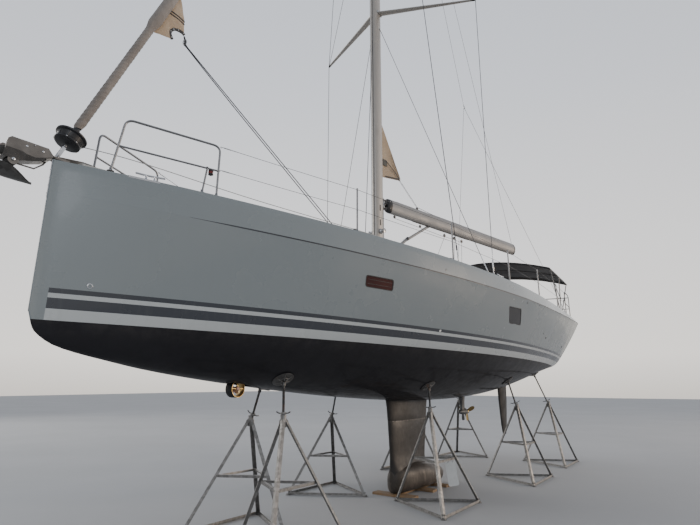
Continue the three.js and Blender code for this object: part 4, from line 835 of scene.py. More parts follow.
def wells(shape):
    """The cockpit, saloon and lockers; small steps keep the faces of the cutters apart."""
    top = 4.7
    shape.box(P(COCKPIT_FRONT, -BENCH_HALF, BENCH_Z), P(BENCH_END, BENCH_HALF, top))
    shape.box(P(COCKPIT_FRONT + 0.0004, -FOOTWELL_HALF, SOLE_Z), P(BENCH_END + 0.01, FOOTWELL_HALF, top + 0.01))
    shape.box(P(BENCH_END - 0.001, -HELM_HALF, SOLE_Z - 0.0001), P(HELM_END, HELM_HALF, top + 0.02))
    shape.box(P(HELM_END - 0.001, -GATE_HALF, SOLE_Z - 0.0002), P(HULL_LENGTH + 0.05, GATE_HALF, top + 0.03))
    shape.box(P(SALOON_FRONT, -SALOON_HALF, SALOON_Z), P(SALOON_END, SALOON_HALF, top + 0.04))
    shape.box(
        P(SALOON_END - 0.001, -COMPANION_HALF, SOLE_Z + 0.25), P(COCKPIT_FRONT + 0.001, COMPANION_HALF, top + 0.05)
    )
    for q in (1, -1):
        shape.box(
            P(LOCKER["s0"], q * LOCKER["y0"], BENCH_Z - LOCKER["depth"]),
            P(LOCKER["s1"], q * LOCKER["y1"], top + 0.06)
        )
    a = ANCHOR_LOCKER
    shape.box(P(a["s0"], -a["half"], 3.55), P(a["s1"], a["half"], top))
    f = FORE_HATCH
    shape.box(P(f["s0"] + 0.03, -f["half"] + 0.03, 3.2), P(f["s1"] - 0.03, f["half"] - 0.03, top))


def openings_below(shape):
    """The thruster's well and the bore of the rudder's stock."""
    shape.box(P(THRUSTER_S - 0.16, -0.13, 1.5), P(THRUSTER_S + 0.16, 0.13, 2.08))
    shape.tube([P(RUDDER_S, 0, 1.5), P(RUDDER_S, 0, 2.7)], 0.057, 24)


# Hull windows. Columns: name, s0, s1, bottom, top, corner radius, rake of the ends, slope of the sills, glass
HULL_WINDOWS = [
    ("fore", 3.45, 3.93, 3.165, 3.305, 0.03, -0.18, 0.0, GLASS_RED),
    ("aft", 7.243, 7.797, 3.052, 3.327, 0.035, -0.764, 0.03, GLASS),
]


def corner_outline(x0, x1, z0, z1, r, n=5):
    out = []
    for cx, cz, a in ((x1 - r, z1 - r, 0), (x0 + r, z1 - r, 90), (x0 + r, z0 + r, 180), (x1 - r, z0 + r, 270)):
        out += [
            (cx + r * math.cos(math.radians(a + 90 * k / n)), cz + r * math.sin(math.radians(a + 90 * k / n)))
            for k in range(n + 1)
        ]
    return out


def on_side(s, z, q, out=0.0):
    return P(s, q * (side_y(s, z) + out), z)


def window_outline(row, grow=0.0, rounder=0.0):
    _, s0, s1, z0, z1, r, rake, slope, _ = row
    s_mid, z_mid = (s0 + s1) / 2, (z0 + z1) / 2
    return [
        (s + rake * (z - z_mid), z + slope * (s - s_mid)) for s,
        z in corner_outline(s0 - grow, s1 + grow, z0 - grow, z1 + grow, r + rounder)
    ]


def window_cutters():
    def cut(row, q):
        return lambda shape: shape.prism(window_outline(row), lambda p, k: on_side(*p, q, -0.016 + 0.05 * k))

    return [cutter(cut(row, q)) for row in HULL_WINDOWS for q in (1, -1)]


hull = hull_skin()
cut_away(hull, [cutter(wells), cutter(openings_below)] + window_cutters(), sharp=24)
dress(hull, "hull", "gelcoat_grey", "hull")


# Wells finished in white. Columns: s from, s to, half breadth, lowest z
WHITE_WELLS = [
    (COCKPIT_FRONT - 0.01, HULL_LENGTH - 0.001, BENCH_HALF + 0.01, SOLE_Z - 0.01),
    (BENCH_END - 0.02, HULL_LENGTH - 0.001, HELM_HALF + 0.01, SOLE_Z - 0.01),
    (SALOON_FRONT - 0.01, COCKPIT_FRONT, SALOON_HALF + 0.01, SALOON_Z - 0.01),
    (ANCHOR_LOCKER["s0"] - 0.01, ANCHOR_LOCKER["s1"] + 0.01, 0.18, 3.54),
    (FORE_HATCH["s0"] - 0.05, FORE_HATCH["s1"] + 0.01, 0.30, 3.19),
]


def paint_inside(o):
    """Faces of the wells and the toe rail's top get their own finishes."""
    for f in o.data.polygons:
        s, y, z = X_STEM - f.center.x, abs(f.center.y), f.center.z
        flat_up = f.normal.z > 0.9
        if any(s0 < s < s1 and y < half and z > low for s0, s1, half, low in WHITE_WELLS):
            f.material_index = 2
        elif abs(s - THRUSTER_S) < 0.17 and y < 0.131 and z < 2.081:
            if not flat_up and z > 1.9 or abs(f.normal.z) < 0.1:
                f.material_index = 3
        if flat_up and z > 3.7 and abs(y - sheer_half(s)) < 0.05:
            f.material_index = 2


paint_inside(hull)

panes = Shape()
frames = Shape()
for row in HULL_WINDOWS:
    name, s0, s1, z0, z1 = row[:5]
    for q in (1, -1):
        mat = 0 if row[-1] is GLASS_RED else 1
        panes.prism(window_outline(row, -0.004), lambda p, k, q=q: on_side(*p, q, -0.014 + 0.009 * k), mat)
        # thin proud flange round the opening
        outer, inner = window_outline(row, 0.008, 0.006), window_outline(row, -0.002)
        section = ((inner, -0.003), (inner, 0.0018), (outer, 0.0018), (outer, -0.003))
        frames.rings([[on_side(*p, q, d) for p in o] for o, d in section], closed=True)
        if name == "fore":
            for z in (z0 + (z1 - z0) * 0.3, z0 + (z1 - z0) * 0.7):
                ends = (on_side(s, z, q, -0.004) for s in (s0 + 0.03, s1 - 0.03))
                frames.beam(*ends, 0.004, 0.003, up=(0, q, 0))
panes.object("hull_window_panes", [GLASS_RED, GLASS], slot="tinted_glass")
frames.object("hull_window_frames", [BLACK], slot="black_plastic")

# Through-hulls, vents and drain outlets. Columns: s, z, radius
OUTLETS = [
    (0.406, 2.778, 0.018), (4.967, 3.617, 0.012), (7.924, 3.486, 0.015), (8.641, 3.541, 0.012), (9.6, 3.05, 0.014),
    (9.9, 2.98, 0.02), (12.3, 2.95, 0.022)
]
OUTLET_PROFILE = [(1.5, 0), (1.5, 0.005), (1.35, 0.0075), (0.9, 0.0085), (0.85, 0.003), (0.8, -0.004)]
outlets = Shape()
for s, z, r in OUTLETS:
    for q in (1, -1):
        c = on_side(s, z, q, -0.004)
        along_hull = on_side(s + 0.02, z, q) - on_side(s - 0.02, z, q)
        n = along_hull.cross(on_side(s, z + 0.02, q) - on_side(s, z - 0.02, q)).normalized()
        n = n if n.y * q > 0 else -n
        outlets.lathe([(r * k, h) for k, h in OUTLET_PROFILE], c, n, 20, 1 if s < 1 else 0)
outlets.object("skin_fittings", [RAIL_STEEL, STEEL], slot="stainless")

# Polished plate down the stem with its bolts
STEM_PLATE = [(3.58, 0.004), (3.60, 0.0065), (3.965, 0.0078)]      # height, half width
stem = Shape()
rings = []
for z, w in STEM_PLATE:
    front = [(-0.024, w), (-0.0285, w * 0.55)]
    rings.append([P(s, -y, z) for s, y in front] + [P(s, y, z) for s, y in front[::-1] + [(0.0, w + 0.004)]])
    rings[-1].append(P(0.0, -w - 0.004, z))
stem.rings(rings)
for z in (3.62, 3.70, 3.78, 3.86, 3.94):
    stem.lathe([(0.0052, 0), (0.0052, 0.002), (0.0035, 0.0035), (0.001, 0.004)], P(-0.0285, 0, z), (1, 0, 0), 10)
stem.object("stem_plate", [RAIL_STEEL], slot="stainless")

# Rubbed spot in the thin stripe, where a patch of it is missing
patch = Shape()
patch.prism(corner_outline(5.19, 5.235, 2.706, 2.738, 0.003, 2), lambda p, k: on_side(*p, PORT, 0.0008 * k - 0.0002))
patch.object("stripe_patch", [SIGN], slot="gelcoat_grey")


# Keel's fin and rudder's blade. Columns: height, leading edge s, trailing edge s, half thickness.
# The foil's half section is given as shares of its chord and of its half thickness.
FIN = [(1.69, 6.06, 7.64, 0.105), (1.273, 6.11, 7.59, 0.095), (0.62, 6.165, 7.47, 0.080), (0.33, 6.19, 7.43, 0.076)]
BLADE = [
    (2.035, 12.01, 12.72, 0.062), (1.5, 12.04, 12.66, 0.052), (0.9, 12.11, 12.54, 0.038), (0.64, 12.19, 12.44, 0.026)
]
FOIL_HALF = [
    (0, 0), (0.006, 0.17), (0.02, 0.34), (0.05, 0.54), (0.1, 0.75), (0.17, 0.9), (0.27, 0.985), (0.36, 1),
    (0.48, 0.93), (0.6, 0.77), (0.72, 0.56), (0.84, 0.32), (0.93, 0.15), (1, 0.055)
]


def profile(table, z, column):
    """A column of a table whose rows go down by height, joined by straight lines."""
    for a, b in zip(table, table[1:]):
        if z >= b[0]:
            return a[column] + (b[column] - a[column]) * (z - a[0]) / (b[0] - a[0])
    return table[-1][column]


def foil(s0, s1, half, level):
    """A foil's section; level is its height, or a function of s and y."""
    pts = []
    for u, t in FOIL_HALF + [(u, -t) for u, t in reversed(FOIL_HALF[1:])]:
        s, y = s0 + (s1 - s0) * u, t * half
        pts.append(P(s, y, level(s, abs(y)) if callable(level) else level))
    return pts


fin = Shape()
heights = [
    0.33, 0.335, 0.38, 0.42, 0.46, 0.50, 0.54, 0.58, 0.62, 0.67, 0.74, 0.85, 1.0, 1.15, 1.262, 1.268, 1.278, 1.284,
    1.4, 1.52
]
FLARE_Z, FLARE_HALF = 0.76, 0.12         # where the fin starts to widen into the bulb, and by how much
rings = []
for z in heights:
    s0, s1, half = (profile(FIN, z, k) for k in (1, 2, 3))
    # the joint with the stub shows as a shallow groove
    inset = 0.0018 if 1.267 < z < 1.279 else 0.0
    flare = FLARE_HALF * max(0.0, (FLARE_Z - z) / (FLARE_Z - 0.33)) ** 2.3
    rings.append(foil(s0 + inset - flare * 0.12, s1 - inset + flare * 0.8, half - inset + flare, z))
s0, s1, half = (profile(FIN, 1.66, k) for k in (1, 2, 3))
for drop, swell in ((0.05, 0), (0.022, 0.003), (0.008, 0.009), (0.0004, 0.018)):
    rings.append(foil(s0 - swell, s1 + swell, half + swell, lambda s, y, drop=drop: bottom_z(s, y) - drop))
fin.rings(rings)
fin.object("keel_fin_iron", [IRON], slot="iron_antifouled", replaces="keel_fin", sharp=40)

# Bulb. Columns: s, half width, height of top, height of bottom.
BULB = [
    (6.17, 0.030, 0.420, 0.070), (6.26, 0.130, 0.450, 0.048), (6.5, 0.225, 0.500, 0.0423), (6.9, 0.290, 0.520, 0.0423),
    (7.3, 0.300, 0.470, 0.0423), (7.7, 0.240, 0.400, 0.050), (8.05, 0.120, 0.310, 0.100), (8.25, 0.020, 0.220, 0.140),
]
bulb = Shape()
steps = [6.17, 6.18, 6.2, 6.23, 6.26, 6.32, 6.4] + spread(6.5, 8.05, 18) + [8.12, 8.18, 8.23, 8.25]
rings = []
for s in steps:
    half, top, bottom = (lookup(BULB, s, k) for k in (1, 2, 3))
    half, bottom = max(half, 0.018), max(bottom, 0.0423)
    mid, h = (top + bottom) / 2, (top - bottom) / 2
    ring = []
    for k in range(36):
        a = TAU * (k + 0.5) / 36
        c, w = math.cos(a), math.sin(a)
        # flat foot, rounded shoulders
        y, z = math.copysign(abs(c) ** 0.85, c), math.copysign(abs(w) ** (0.8 if w > 0 else 0.55), w)
        ring.append(P(s, half * y, mid + h * z))
    rings.append(ring)
bulb.rings(rings)
# the bulb takes the lighter copy of the iron, a painted highlight
bulb.object("keel_bulb_iron", [IRON_BULB_LIT], slot="iron_antifouled", replaces="keel_bulb", sharp=50)

# Rudder with its stock and bearing
rudder = Shape()
rings = []
for z in (0.64, 0.644, 0.66, 0.70, 0.78, 0.9, 1.05, 1.2, 1.35, 1.5, 1.65, 1.8, 1.92, 2.0, 2.026, 2.033, 2.035):
    s0, s1, half = (profile(BLADE, z, k) for k in (1, 2, 3))
    # rounded tip and top edge
    tip = max(0.0, 1 - (z - 0.64) / 0.06) ** 2 * 0.018 + max(0.0, (z - 2.026) / 0.009) * 0.006
    rings.append(foil(s0 + tip, s1 - tip, max(half - tip * 0.9, 0.006), z))
rudder.rings(rings)
rudder.lathe([(0.05, 2.03), (0.0545, 2.034), (0.0562, 2.04), (0.0562, 2.64)], P(RUDDER_S, 0, 0), (0, 0, 1), 32, 1)
rudder.object("rudder_blade", [ANTIFOULED, BRUSHED], body="rudder", slot="antifouling", replaces="rudder", sharp=38)

# Saildrive: faired leg, gear torpedo with a sacrificial ring, rubber skirt at the hull
DRIVE_S, PROP_Z = 9.5, 1.33
# Leg. Columns: height, half length, half width.
LEG = [(1.80, 0.150, 0.076), (1.665, 0.140, 0.070), (1.5, 0.110, 0.045), (1.33, 0.120, 0.040)]
TORPEDO = [
    (0.004, -0.212), (0.02, -0.208), (0.036, -0.185), (0.052, -0.14), (0.059, -0.07), (0.062, 0.0), (0.061, 0.08),
    (0.058, 0.15), (0.0555, 0.165), (0.0535, 0.166), (0.0535, 0.172), (0.054, 0.173), (0.05, 0.1947), (0.02, 0.1947)
]
SKEG = [(0.0, -0.195), (0.02, -0.192), (0.033, -0.17), (0.035, -0.12), (0.028, -0.06), (0.02, 0.0)]
drive = Shape()
rings = []
for z in (1.345, 1.37, 1.40, 1.44, 1.48, 1.52, 1.56, 1.60, 1.64):
    l, w = profile(LEG, z, 1), profile(LEG, z, 2)
    rings.append(foil(DRIVE_S - l, DRIVE_S + l, w, z))
LEG_TOP_HALF, LEG_TOP_WIDE = 0.140, 0.070


def leg_at_hull(grow, drop):
    """The leg's section under the hull's bottom."""
    half = LEG_TOP_HALF + grow
    return foil(DRIVE_S - half, DRIVE_S + half, LEG_TOP_WIDE + grow, lambda s, y: bottom_z(s, y) - drop)


drive.rings(rings + [leg_at_hull(0, 0.0006)])
skirt = [(0.004, 0.001), (0.004, 0.009), (0.045, 0.007), (0.05, 0.001)]
drive.rings([leg_at_hull(grow, drop) for grow, drop in skirt], 1)
drive.lathe(TORPEDO, P(DRIVE_S, 0, PROP_Z), (-1, 0, 0), 32, 0)
drive.lathe(SKEG, P(DRIVE_S, 0, PROP_Z), (0, 0, 1), 20, 0)
for t in turns(3):
    out = Vector((0, math.cos(t), math.sin(t)))
    drive.lathe(
        [(0.006, 0), (0.006, 0.003), (0.002, 0.004)], P(DRIVE_S + 0.1725, 0, PROP_Z) + out * 0.0535, out, 8, 2
    )
# water intakes, low on both sides of the leg
for q in (1, -1):
    for k in range(4):
        z = 1.43 + 0.014 * k
        w = profile(LEG, z, 2)
        drive.box(P(DRIVE_S - 0.055, q * w * 0.97, z), P(DRIVE_S - 0.015, q * (w * 0.99 + 0.0012), z + 0.006), 3)
drive_alloy = paint_galvanised("drive_alloy", (0.10, 0.105, 0.11), 0.66)
drive.object(
    "saildrive", [drive_alloy, RUBBER, STEEL, BLACK], slot="iron_antifouled", replaces="saildrive_leg", sharp=40
)


def propeller(shape, centre, axis, blades, r0, r1, chord, thick, first, pitch, hub):
    """Twisted, leaf-shaped blades about an axis, each built from its foils."""
    d = Vector(axis).normalized()
    u = d.cross(rise(1)).normalized()
    v = d.cross(u)
    shape.lathe(hub, centre, d, 28)
    for b in range(blades):
        t = math.radians(first) + TAU * b / blades
        out = u * math.cos(t) + v * math.sin(t)
        tang = d.cross(out)
        rings = []
        for share in spread(0, 1, 10):
            tip = 1 if share < 0.8 else max(1 - ((share - 0.8) / 0.2) ** 2.2, 0.12) ** 0.5
            width = chord * (0.62 + 0.4125 * math.sin(math.pi * min(share, 0.93) ** 0.8)) * tip
            a = math.radians(pitch[0] + (pitch[1] - pitch[0]) * share)
            chordwise, nrm = tang * math.cos(a) + d * math.sin(a), -tang * math.sin(a) + d * math.cos(a)
            c = Vector(centre) + out * (r0 + (r1 - r0) * share)
            half = thick * (1 - 0.7 * share) / 2
            ring = []
            for w in turns(14):
                x, y = math.cos(w), math.sin(w)
                bow = y * half * (1 - 0.35 * x) + 0.04 * width * (1 - x * x)
                ring.append(c + chordwise * (x * width / 2) + nrm * bow)
            rings.append(ring)
        shape.rings(rings)


PROP_HUB = [
    (0.03, -0.05), (0.048, -0.0495), (0.05, -0.047), (0.05, 0.018), (0.047, 0.03), (0.038, 0.046), (0.028, 0.06),
    (0.024, 0.062), (0.02, 0.076), (0.008, 0.085), (0.002, 0.0855)
]
prop = Shape()
prop_c = P(DRIVE_S + 0.245, 0, PROP_Z)
propeller(prop, prop_c, (-1, 0, 0), 3, 0.034, 0.214, 0.098, 0.014, 90, (50, 20),
          PROP_HUB)
for t in turns(3):
    t += math.radians(90) + 1.05
    out = Vector((0, math.cos(t), math.sin(t)))
    for x in (-0.022, 0.022):
        prop.lathe([(0.006, 0), (0.006, 0.003), (0.003, 0.0045)], prop_c + Vector((x, 0, 0)) + out * 0.049, out, 8)
prop.object("propeller_bronze", [BRONZE], body="propeller", slot="bronze", replaces="propeller", sharp=40)

# Bow thruster: bronze ring on a strut, its lid above it
ring = Shape()
thr = P(THRUSTER_S, 0, THRUSTER_Z)
section = [
    (0.108, -0.056), (0.1055, -0.06), (0.1, -0.06), (0.0972, -0.056), (0.0968, 0.0), (0.0972, 0.056), (0.1, 0.06),
    (0.1055, 0.06), (0.108, 0.056), (0.108, 0.0)
]
ring.rings(
    [[thr + Vector((math.cos(t) * r, h, math.sin(t) * r)) for r, h in section] for t in turns(48)], closed=True
)
# the ring's outside is painted, its lips and bore are bare
for k in range(len(ring.m)):
    if k % len(section) >= len(section) - 2:
        ring.m[k] = 3
ring.lathe([(0.021, 0), (0.021, 0.14)], P(THRUSTER_S, 0.038, 1.9395), (0, 0, 1), 20, 2)
ring.lathe([(0.027, 0), (0.03, 0.006), (0.03, 0.018), (0.023, 0.026)], P(THRUSTER_S, 0.038, 1.938), (0, 0, 1), 20, 0)
ring.box(P(THRUSTER_S - 0.012, 0.028, THRUSTER_Z - 0.01), P(THRUSTER_S + 0.012, 0.048, THRUSTER_Z + 0.1), 0, 0.004)
ring.box(P(THRUSTER_S - 0.1, 0.03, THRUSTER_Z - 0.009), P(THRUSTER_S + 0.1, 0.046, THRUSTER_Z + 0.009), 0, 0.004)
ring.lathe(
    [(0.012, -0.038), (0.02, -0.036), (0.026, -0.03), (0.026, 0.0), (0.022, 0.008), (0.01, 0.012)],
    P(THRUSTER_S, 0.05, THRUSTER_Z), (0, 1, 0), 24, 1
)
ring.object(
    "thruster_ring_bronze", [BRONZE, PINKISH, STEEL, ANTIFOULED], slot="bronze", replaces="thruster_ring", sharp=36
)
FAN_HUB = [
    (0.008, -0.03), (0.016, -0.028), (0.022, -0.022), (0.026, 0.0), (0.026, 0.022), (0.014, 0.024), (0.014, 0.0317)
]
fan = Shape()
propeller(fan, P(THRUSTER_S, -0.012, THRUSTER_Z), (0, 1, 0), 4, 0.018, 0.083, 0.05, 0.008, 45, (48, 26),
          FAN_HUB)
fan.object(
    "thruster_fan", [PINKISH], body="thruster_propeller", slot="bronze", replaces="thruster_propeller", sharp=40
)

# Planks under the keel: two boards to each place, nailed, and a runner between
# Columns: s0, s1
PLANKS = [(6.21, 6.40), (6.96, 7.15), (7.56, 7.72)]
PLANK_HALF, PLANK_T, PLANK_EDGE = 0.42, 0.042, 0.004
planks = Shape()
for i, (s0, s1) in enumerate(PLANKS):
    mid = (s0 + s1) / 2
    for k, (a, b) in enumerate(((s0, mid - 0.003), (mid + 0.003, s1))):
        skew = 0.004 * (1 if (i + k) % 2 else -1)
        rings = []
        for y in spread(-PLANK_HALF + 0.008 * ((i * 2 + k) % 3), PLANK_HALF - 0.006 * ((i + k) % 3), 9):
            wave = 0.0012 * math.sin(y * 9 + i * 2 + k)
            lo, hi, c, t = a + skew * y, b + skew * y, PLANK_EDGE, PLANK_T
            under = [(lo, c), (lo + c, 0.0), (hi - c, 0.0), (hi, c)]
            over = [(hi, t - c), (hi - c, t + min(wave, 0)), (lo + c, t + min(-wave, 0)), (lo, t - c)]
            rings.append([P(s, y, z) for s, z in under + over])
        planks.rings(rings)
        for y in (-0.35, -0.28, 0.28, 0.35):
            planks.lathe(
                [(0.0045, -0.002), (0.0045, 0.0006), (0.002, 0.001)], P((a + b) / 2, y, 0.0418), (0, 0, 1), 8, 1
            )
planks.box(P(6.30, -0.06, 0), P(7.65, 0.06, 0.030), 0, 0.004)
planks.object("keel_boards", [PLANK, GALV], slot="plank_wood", replaces="keel_planks", sharp=30)


# Jack stands. Columns: place, side, s, distances from the centreline of the pad, of the feet's middle
# and of the head, height of the head.
STANDS = [
    ("bow", 1, 2.85, 0.42, 0.56, 0.45, 1.433), ("bow", -1, 3.25, 0.36, 0.60, 0.54, 1.385),
    ("keel", 1, 5.98, 0.88, 1.01, 0.91, 1.43), ("keel", -1, 5.95, 1.00, 1.20, 1.17, 1.28),
    ("mid", 1, 9.35, 1.15, 1.35, 1.32, 1.45), ("mid", -1, 9.35, 1.15, 1.35, 1.32, 1.45),
    ("stern", 1, 12.20, 0.95, 1.30, 1.27, 1.45), ("stern", -1, 12.20, 0.95, 1.30, 1.27, 1.45),
]
STAND_R = 0.80
LEG_IRON, BAR_IRON, IRON_T = 0.046, 0.038, 0.0045
STAND_BOLT = [(0.011, 0), (0.011, 0.006), (0.009, 0.0075), (0.0055, 0.0078), (0.0055, 0.013), (0.003, 0.014)]
SLEEVE = [
    (0.026, -0.06), (0.034, -0.06), (0.036, -0.055), (0.036, 0.07), (0.038, 0.072), (0.038, 0.088), (0.036, 0.09),
    (0.02, 0.09)
]
PAD_DISC = [
    (0.03, 0.036), (0.06, 0.034), (0.064, 0.026), (0.112, 0.0175), (0.134, 0.0135), (0.14, 0.009), (0.14, 0.004),
    (0.137, 0.0028), (0.1, 0.0028)
]
PAD_RIB = ((0.03, 0.05), (0.058, 0.036), (0.112, 0.019), (0.112, 0.016), (0.03, 0.03))


def jack_stand(place, q, s, pad_y, mid_y, head_y, head_z):
    """A tripod of rolled angles with a screwed post; gives its feet, their braces' ends and its head."""
    z_pad, d = bottom_z(s, pad_y), 0.04
    slope_s = (bottom_z(s + d, pad_y) - bottom_z(s - d, pad_y)) / (2 * d)
    slope_y = (bottom_z(s, pad_y + d) - bottom_z(s, pad_y - d)) / (2 * d)
    n = Vector((-slope_s, q * slope_y, -1)).normalized()
    u = n.cross(Vector((0, 1, 0.3))).normalized()
    w = n.cross(u)
    touch = P(s, q * pad_y, z_pad)
    head = P(s, q * head_y, min(z_pad - 0.4, head_z))
    pad = touch + n * 0.012
    feet = [
        P(s + STAND_R * math.sin(a), q * (mid_y + STAND_R * math.cos(a)), 0.022)
        for a in map(math.radians, (60, 180, 300))
    ]
    half = [f.lerp(head, 0.5) for f in feet]
    middle = (feet[0] + feet[1] + feet[2]) / 3
    shape = Shape()
    for i, f in enumerate(feet):
        out = (f - middle).normalized()
        side = Vector((-out.y, out.x, 0))
        top = head + out * 0.03 + Vector((0, 0, 0.035))
        shape.angle_iron(f - Vector((0, 0, 0.008)), top, LEG_IRON, IRON_T, 0, out)
        g, h, j = feet[(i + 1) % 3], half[i], half[(i + 1) % 3]
        mid_out = ((f + g) / 2 - middle).normalized()
        shape.angle_iron(f.lerp(g, 0.012), g.lerp(f, 0.012), BAR_IRON, IRON_T, 0, mid_out - Vector((0, 0, 0.9)))
        shape.angle_iron(h.lerp(j, 0.01), j.lerp(h, 0.01), BAR_IRON * 0.9, IRON_T, 0, mid_out + Vector((0, 0, 0.9)))
        # foot plate with its turned-up lip, bolts at the joints
        shape.lathe(
            [(0.045, 0.0), (0.045, 0.006), (0.04, 0.008), (0.012, 0.009)], Vector((f.x, f.y, 0)), (0, 0, 1), 20
        )
        shape.box((f.x - 0.022, f.y - 0.022, 0.006), (f.x + 0.022, f.y + 0.022, 0.03), 0, 0.003)
        for p in (f.lerp(head, 0.5), f.lerp(head, 0.03)):
            for e in (side, -side):
                shape.lathe(STAND_BOLT, p + e * 0.017 + out * 0.006, (e + out).normalized(), 6, 1)
        # gusset between leg and sleeve
        plate = [head + out * x + rise(z) for x, z in ((0.034, 0.05), (0.034, -0.05), (0.079, -0.07), (0.064, 0.02))]
        shape.rings([[p + side * e for p in plate] for e in (-0.003, 0.003)])
    # sleeve with its welded collar and wing nut, screwed post, swivel and dished pad
    shape.lathe(SLEEVE, head, (0, 0, 1), 24)
    post_top = pad + n * 0.032
    axis = post_top - head
    length = axis.length
    axis.normalize()
    post, at, pitch = [], 0.06, 0.011
    while at < length - 0.08:
        post += [(0.0148, at), (0.0178, at + pitch * 0.35), (0.0178, at + pitch * 0.55), (0.0148, at + pitch * 0.9)]
        at += pitch
    shape.lathe([(0.0148, -0.05)] + post + [(0.0165, length - 0.05), (0.0165, length)], head, axis, 16, 1)
    nut = head + axis * 0.108
    shape.lathe(
        [(0.02, -0.014), (0.034, -0.014), (0.036, -0.01), (0.036, 0.01), (0.034, 0.014), (0.02, 0.014)], nut, axis, 20
    )
    wing = axis.cross(Vector((1, 0.2, 0))).normalized()
    for e in (wing, -wing):
        shape.tube(
            smooth_line([nut + e * x + axis * h for x, h in ((0.03, 0), (0.07, 0.004), (0.1, 0.02))], 4), 0.0085, 10
        )
    shape.lathe([(0.021, -0.05), (0.024, -0.046), (0.024, -0.008), (0.03, 0.0)], post_top, axis, 20, 1)
    # pad: a thick dished disc with ribs under it and a worn facing
    shape.lathe(PAD_DISC, touch, n, 40, 1)
    for a in turns(6):
        r = u * math.cos(a) + w * math.sin(a)
        shape.rings([[touch + r * x + n * h + r.cross(n) * t for x, h in PAD_RIB] for t in (-0.003, 0.003)])
    name = f"stand_{place}_{'port' if q > 0 else 'starboard'}"
    # the posts, swivels, pads and bolts take the darker galvanised copy, painted shade under the hull
    shape.object(name + "_steel", [GALV, GALV_SHADED, BRUSHED], slot="galvanised", replaces=name, sharp=35)
    # the pad's rubber facing follows the hull
    facing = Shape()
    around = [u * math.cos(a) + w * math.sin(a) for a in turns(40)]
    facing.rings(
        [[touch + out * r + n * h for out in around] for r, h in ((0.137, 0.0026), (0.139, 0.0018), (0.138, 0.0010))]
    )
    facing.object(name + "_pad_facing", [RUBBER], slot="black_plastic", sharp=35)
    return feet, half, head


stands = {(row[0], row[1]): jack_stand(*row) for row in STANDS}

# Blank sign hung by two loops under the crossbar of the stand by the keel, twisted towards the bow
sign_half = stands[("keel", PORT)][1]
SIGN_SHARE, SIGN_SIZE, SIGN_R, SIGN_TILT, SIGN_BEND = 0.21, (0.085, 0.185), 0.025, -0.15, 0.012
sign_top = sign_half[0].lerp(sign_half[2], SIGN_SHARE)
across = Vector((0.5, -0.86, 0)).normalized()
face = Vector((0.86, 0.5, 0)).normalized()
outline = corner_outline(-SIGN_SIZE[0], SIGN_SIZE[0], -SIGN_SIZE[1], SIGN_SIZE[1], SIGN_R)
hang = sign_top - Vector((0, 0, SIGN_SIZE[1] + 0.05))


def on_sign(a, h, t):
    """A place on the sign, which hangs a little askew and is bent at its ends."""
    c, s = math.cos(SIGN_TILT), math.sin(SIGN_TILT)
    out = t + SIGN_BEND * (h / SIGN_SIZE[1]) ** 2
    return hang + across * (a * c - h * s) + rise(h * c + a * s) + face * out


sign = Shape()
sign.rings([[on_sign(a, h, t) for a, h in outline] for t in (0.0, 0.0015)])
for a in (-SIGN_SIZE[0] * 0.6, SIGN_SIZE[0] * 0.6):
    eyelet = on_sign(a, SIGN_SIZE[1] - 0.02, 0.0)
    bar = sign_half[0].lerp(sign_half[2], SIGN_SHARE + a * 0.25)
    over = [bar + Vector((0, y, z)) for y, z in ((0.024, 0.006), (0, 0.026), (-0.024, 0.0))]
    sign.tube([eyelet, (eyelet + bar) / 2 + face * 0.018] + over + [eyelet + rise(0.004)], 0.0016, 6, 1)
sign.object("sign_blank", [SIGN, BLACK], slot="gelcoat_white")


# Rails round the deck: bent tubes on flanged feet
TUBE_R, MID_R, WIRE_R = 0.0125, 0.0106, 0.0032
RAIL_IN, RAIL_H, WIRE_START, WIRE_END = 0.075, 0.65, 1.475, 12.28
WIRE_HEIGHTS = (0.975, 0.52)
STANCHIONS = [3.30, 5.31, 7.31, 9.16, 11.05]


def on_deck(s, y, h=0.0):
    return P(s, y, deck_z(s, abs(y)) + h)


def rail_in(s):
    return sheer_half(s) - RAIL_IN


def screw_head(shape, at, axis, r=0.0045, mat=0):
    shape.lathe([(r, 0), (r, r * 0.3), (r * 0.75, r * 0.6), (r * 0.2, r * 0.68)], at, axis, 10, mat)


def foot_flange(shape, s, y, mat=0, r=0.036):
    """Round foot plate, its socket and four screws."""
    c = on_deck(s, y, 0.0003)
    shape.lathe(
        [
            (r, 0), (r, 0.004), (r * 0.94, 0.006), (0.019, 0.007), (0.0165, 0.012), (0.0155, 0.036), (0.0145, 0.038),
            (0.0122, 0.0382)
        ],
        c, (0, 0, 1), 24, mat
    )
    for k in range(4):
        t = TAU * (k + 0.5) / 4
        screw_head(shape, c + Vector((r * 0.72 * math.cos(t), r * 0.72 * math.sin(t), 0.006)), (0, 0, 1), 0.0042, mat)


def weld(shape, at, axis, r=0.0145, mat=0):
    """A small bead where one tube meets another."""
    shape.lathe([(r * 0.8, -0.004), (r, -0.001), (r, 0.001), (r * 0.8, 0.004)], at, axis, 14, mat)


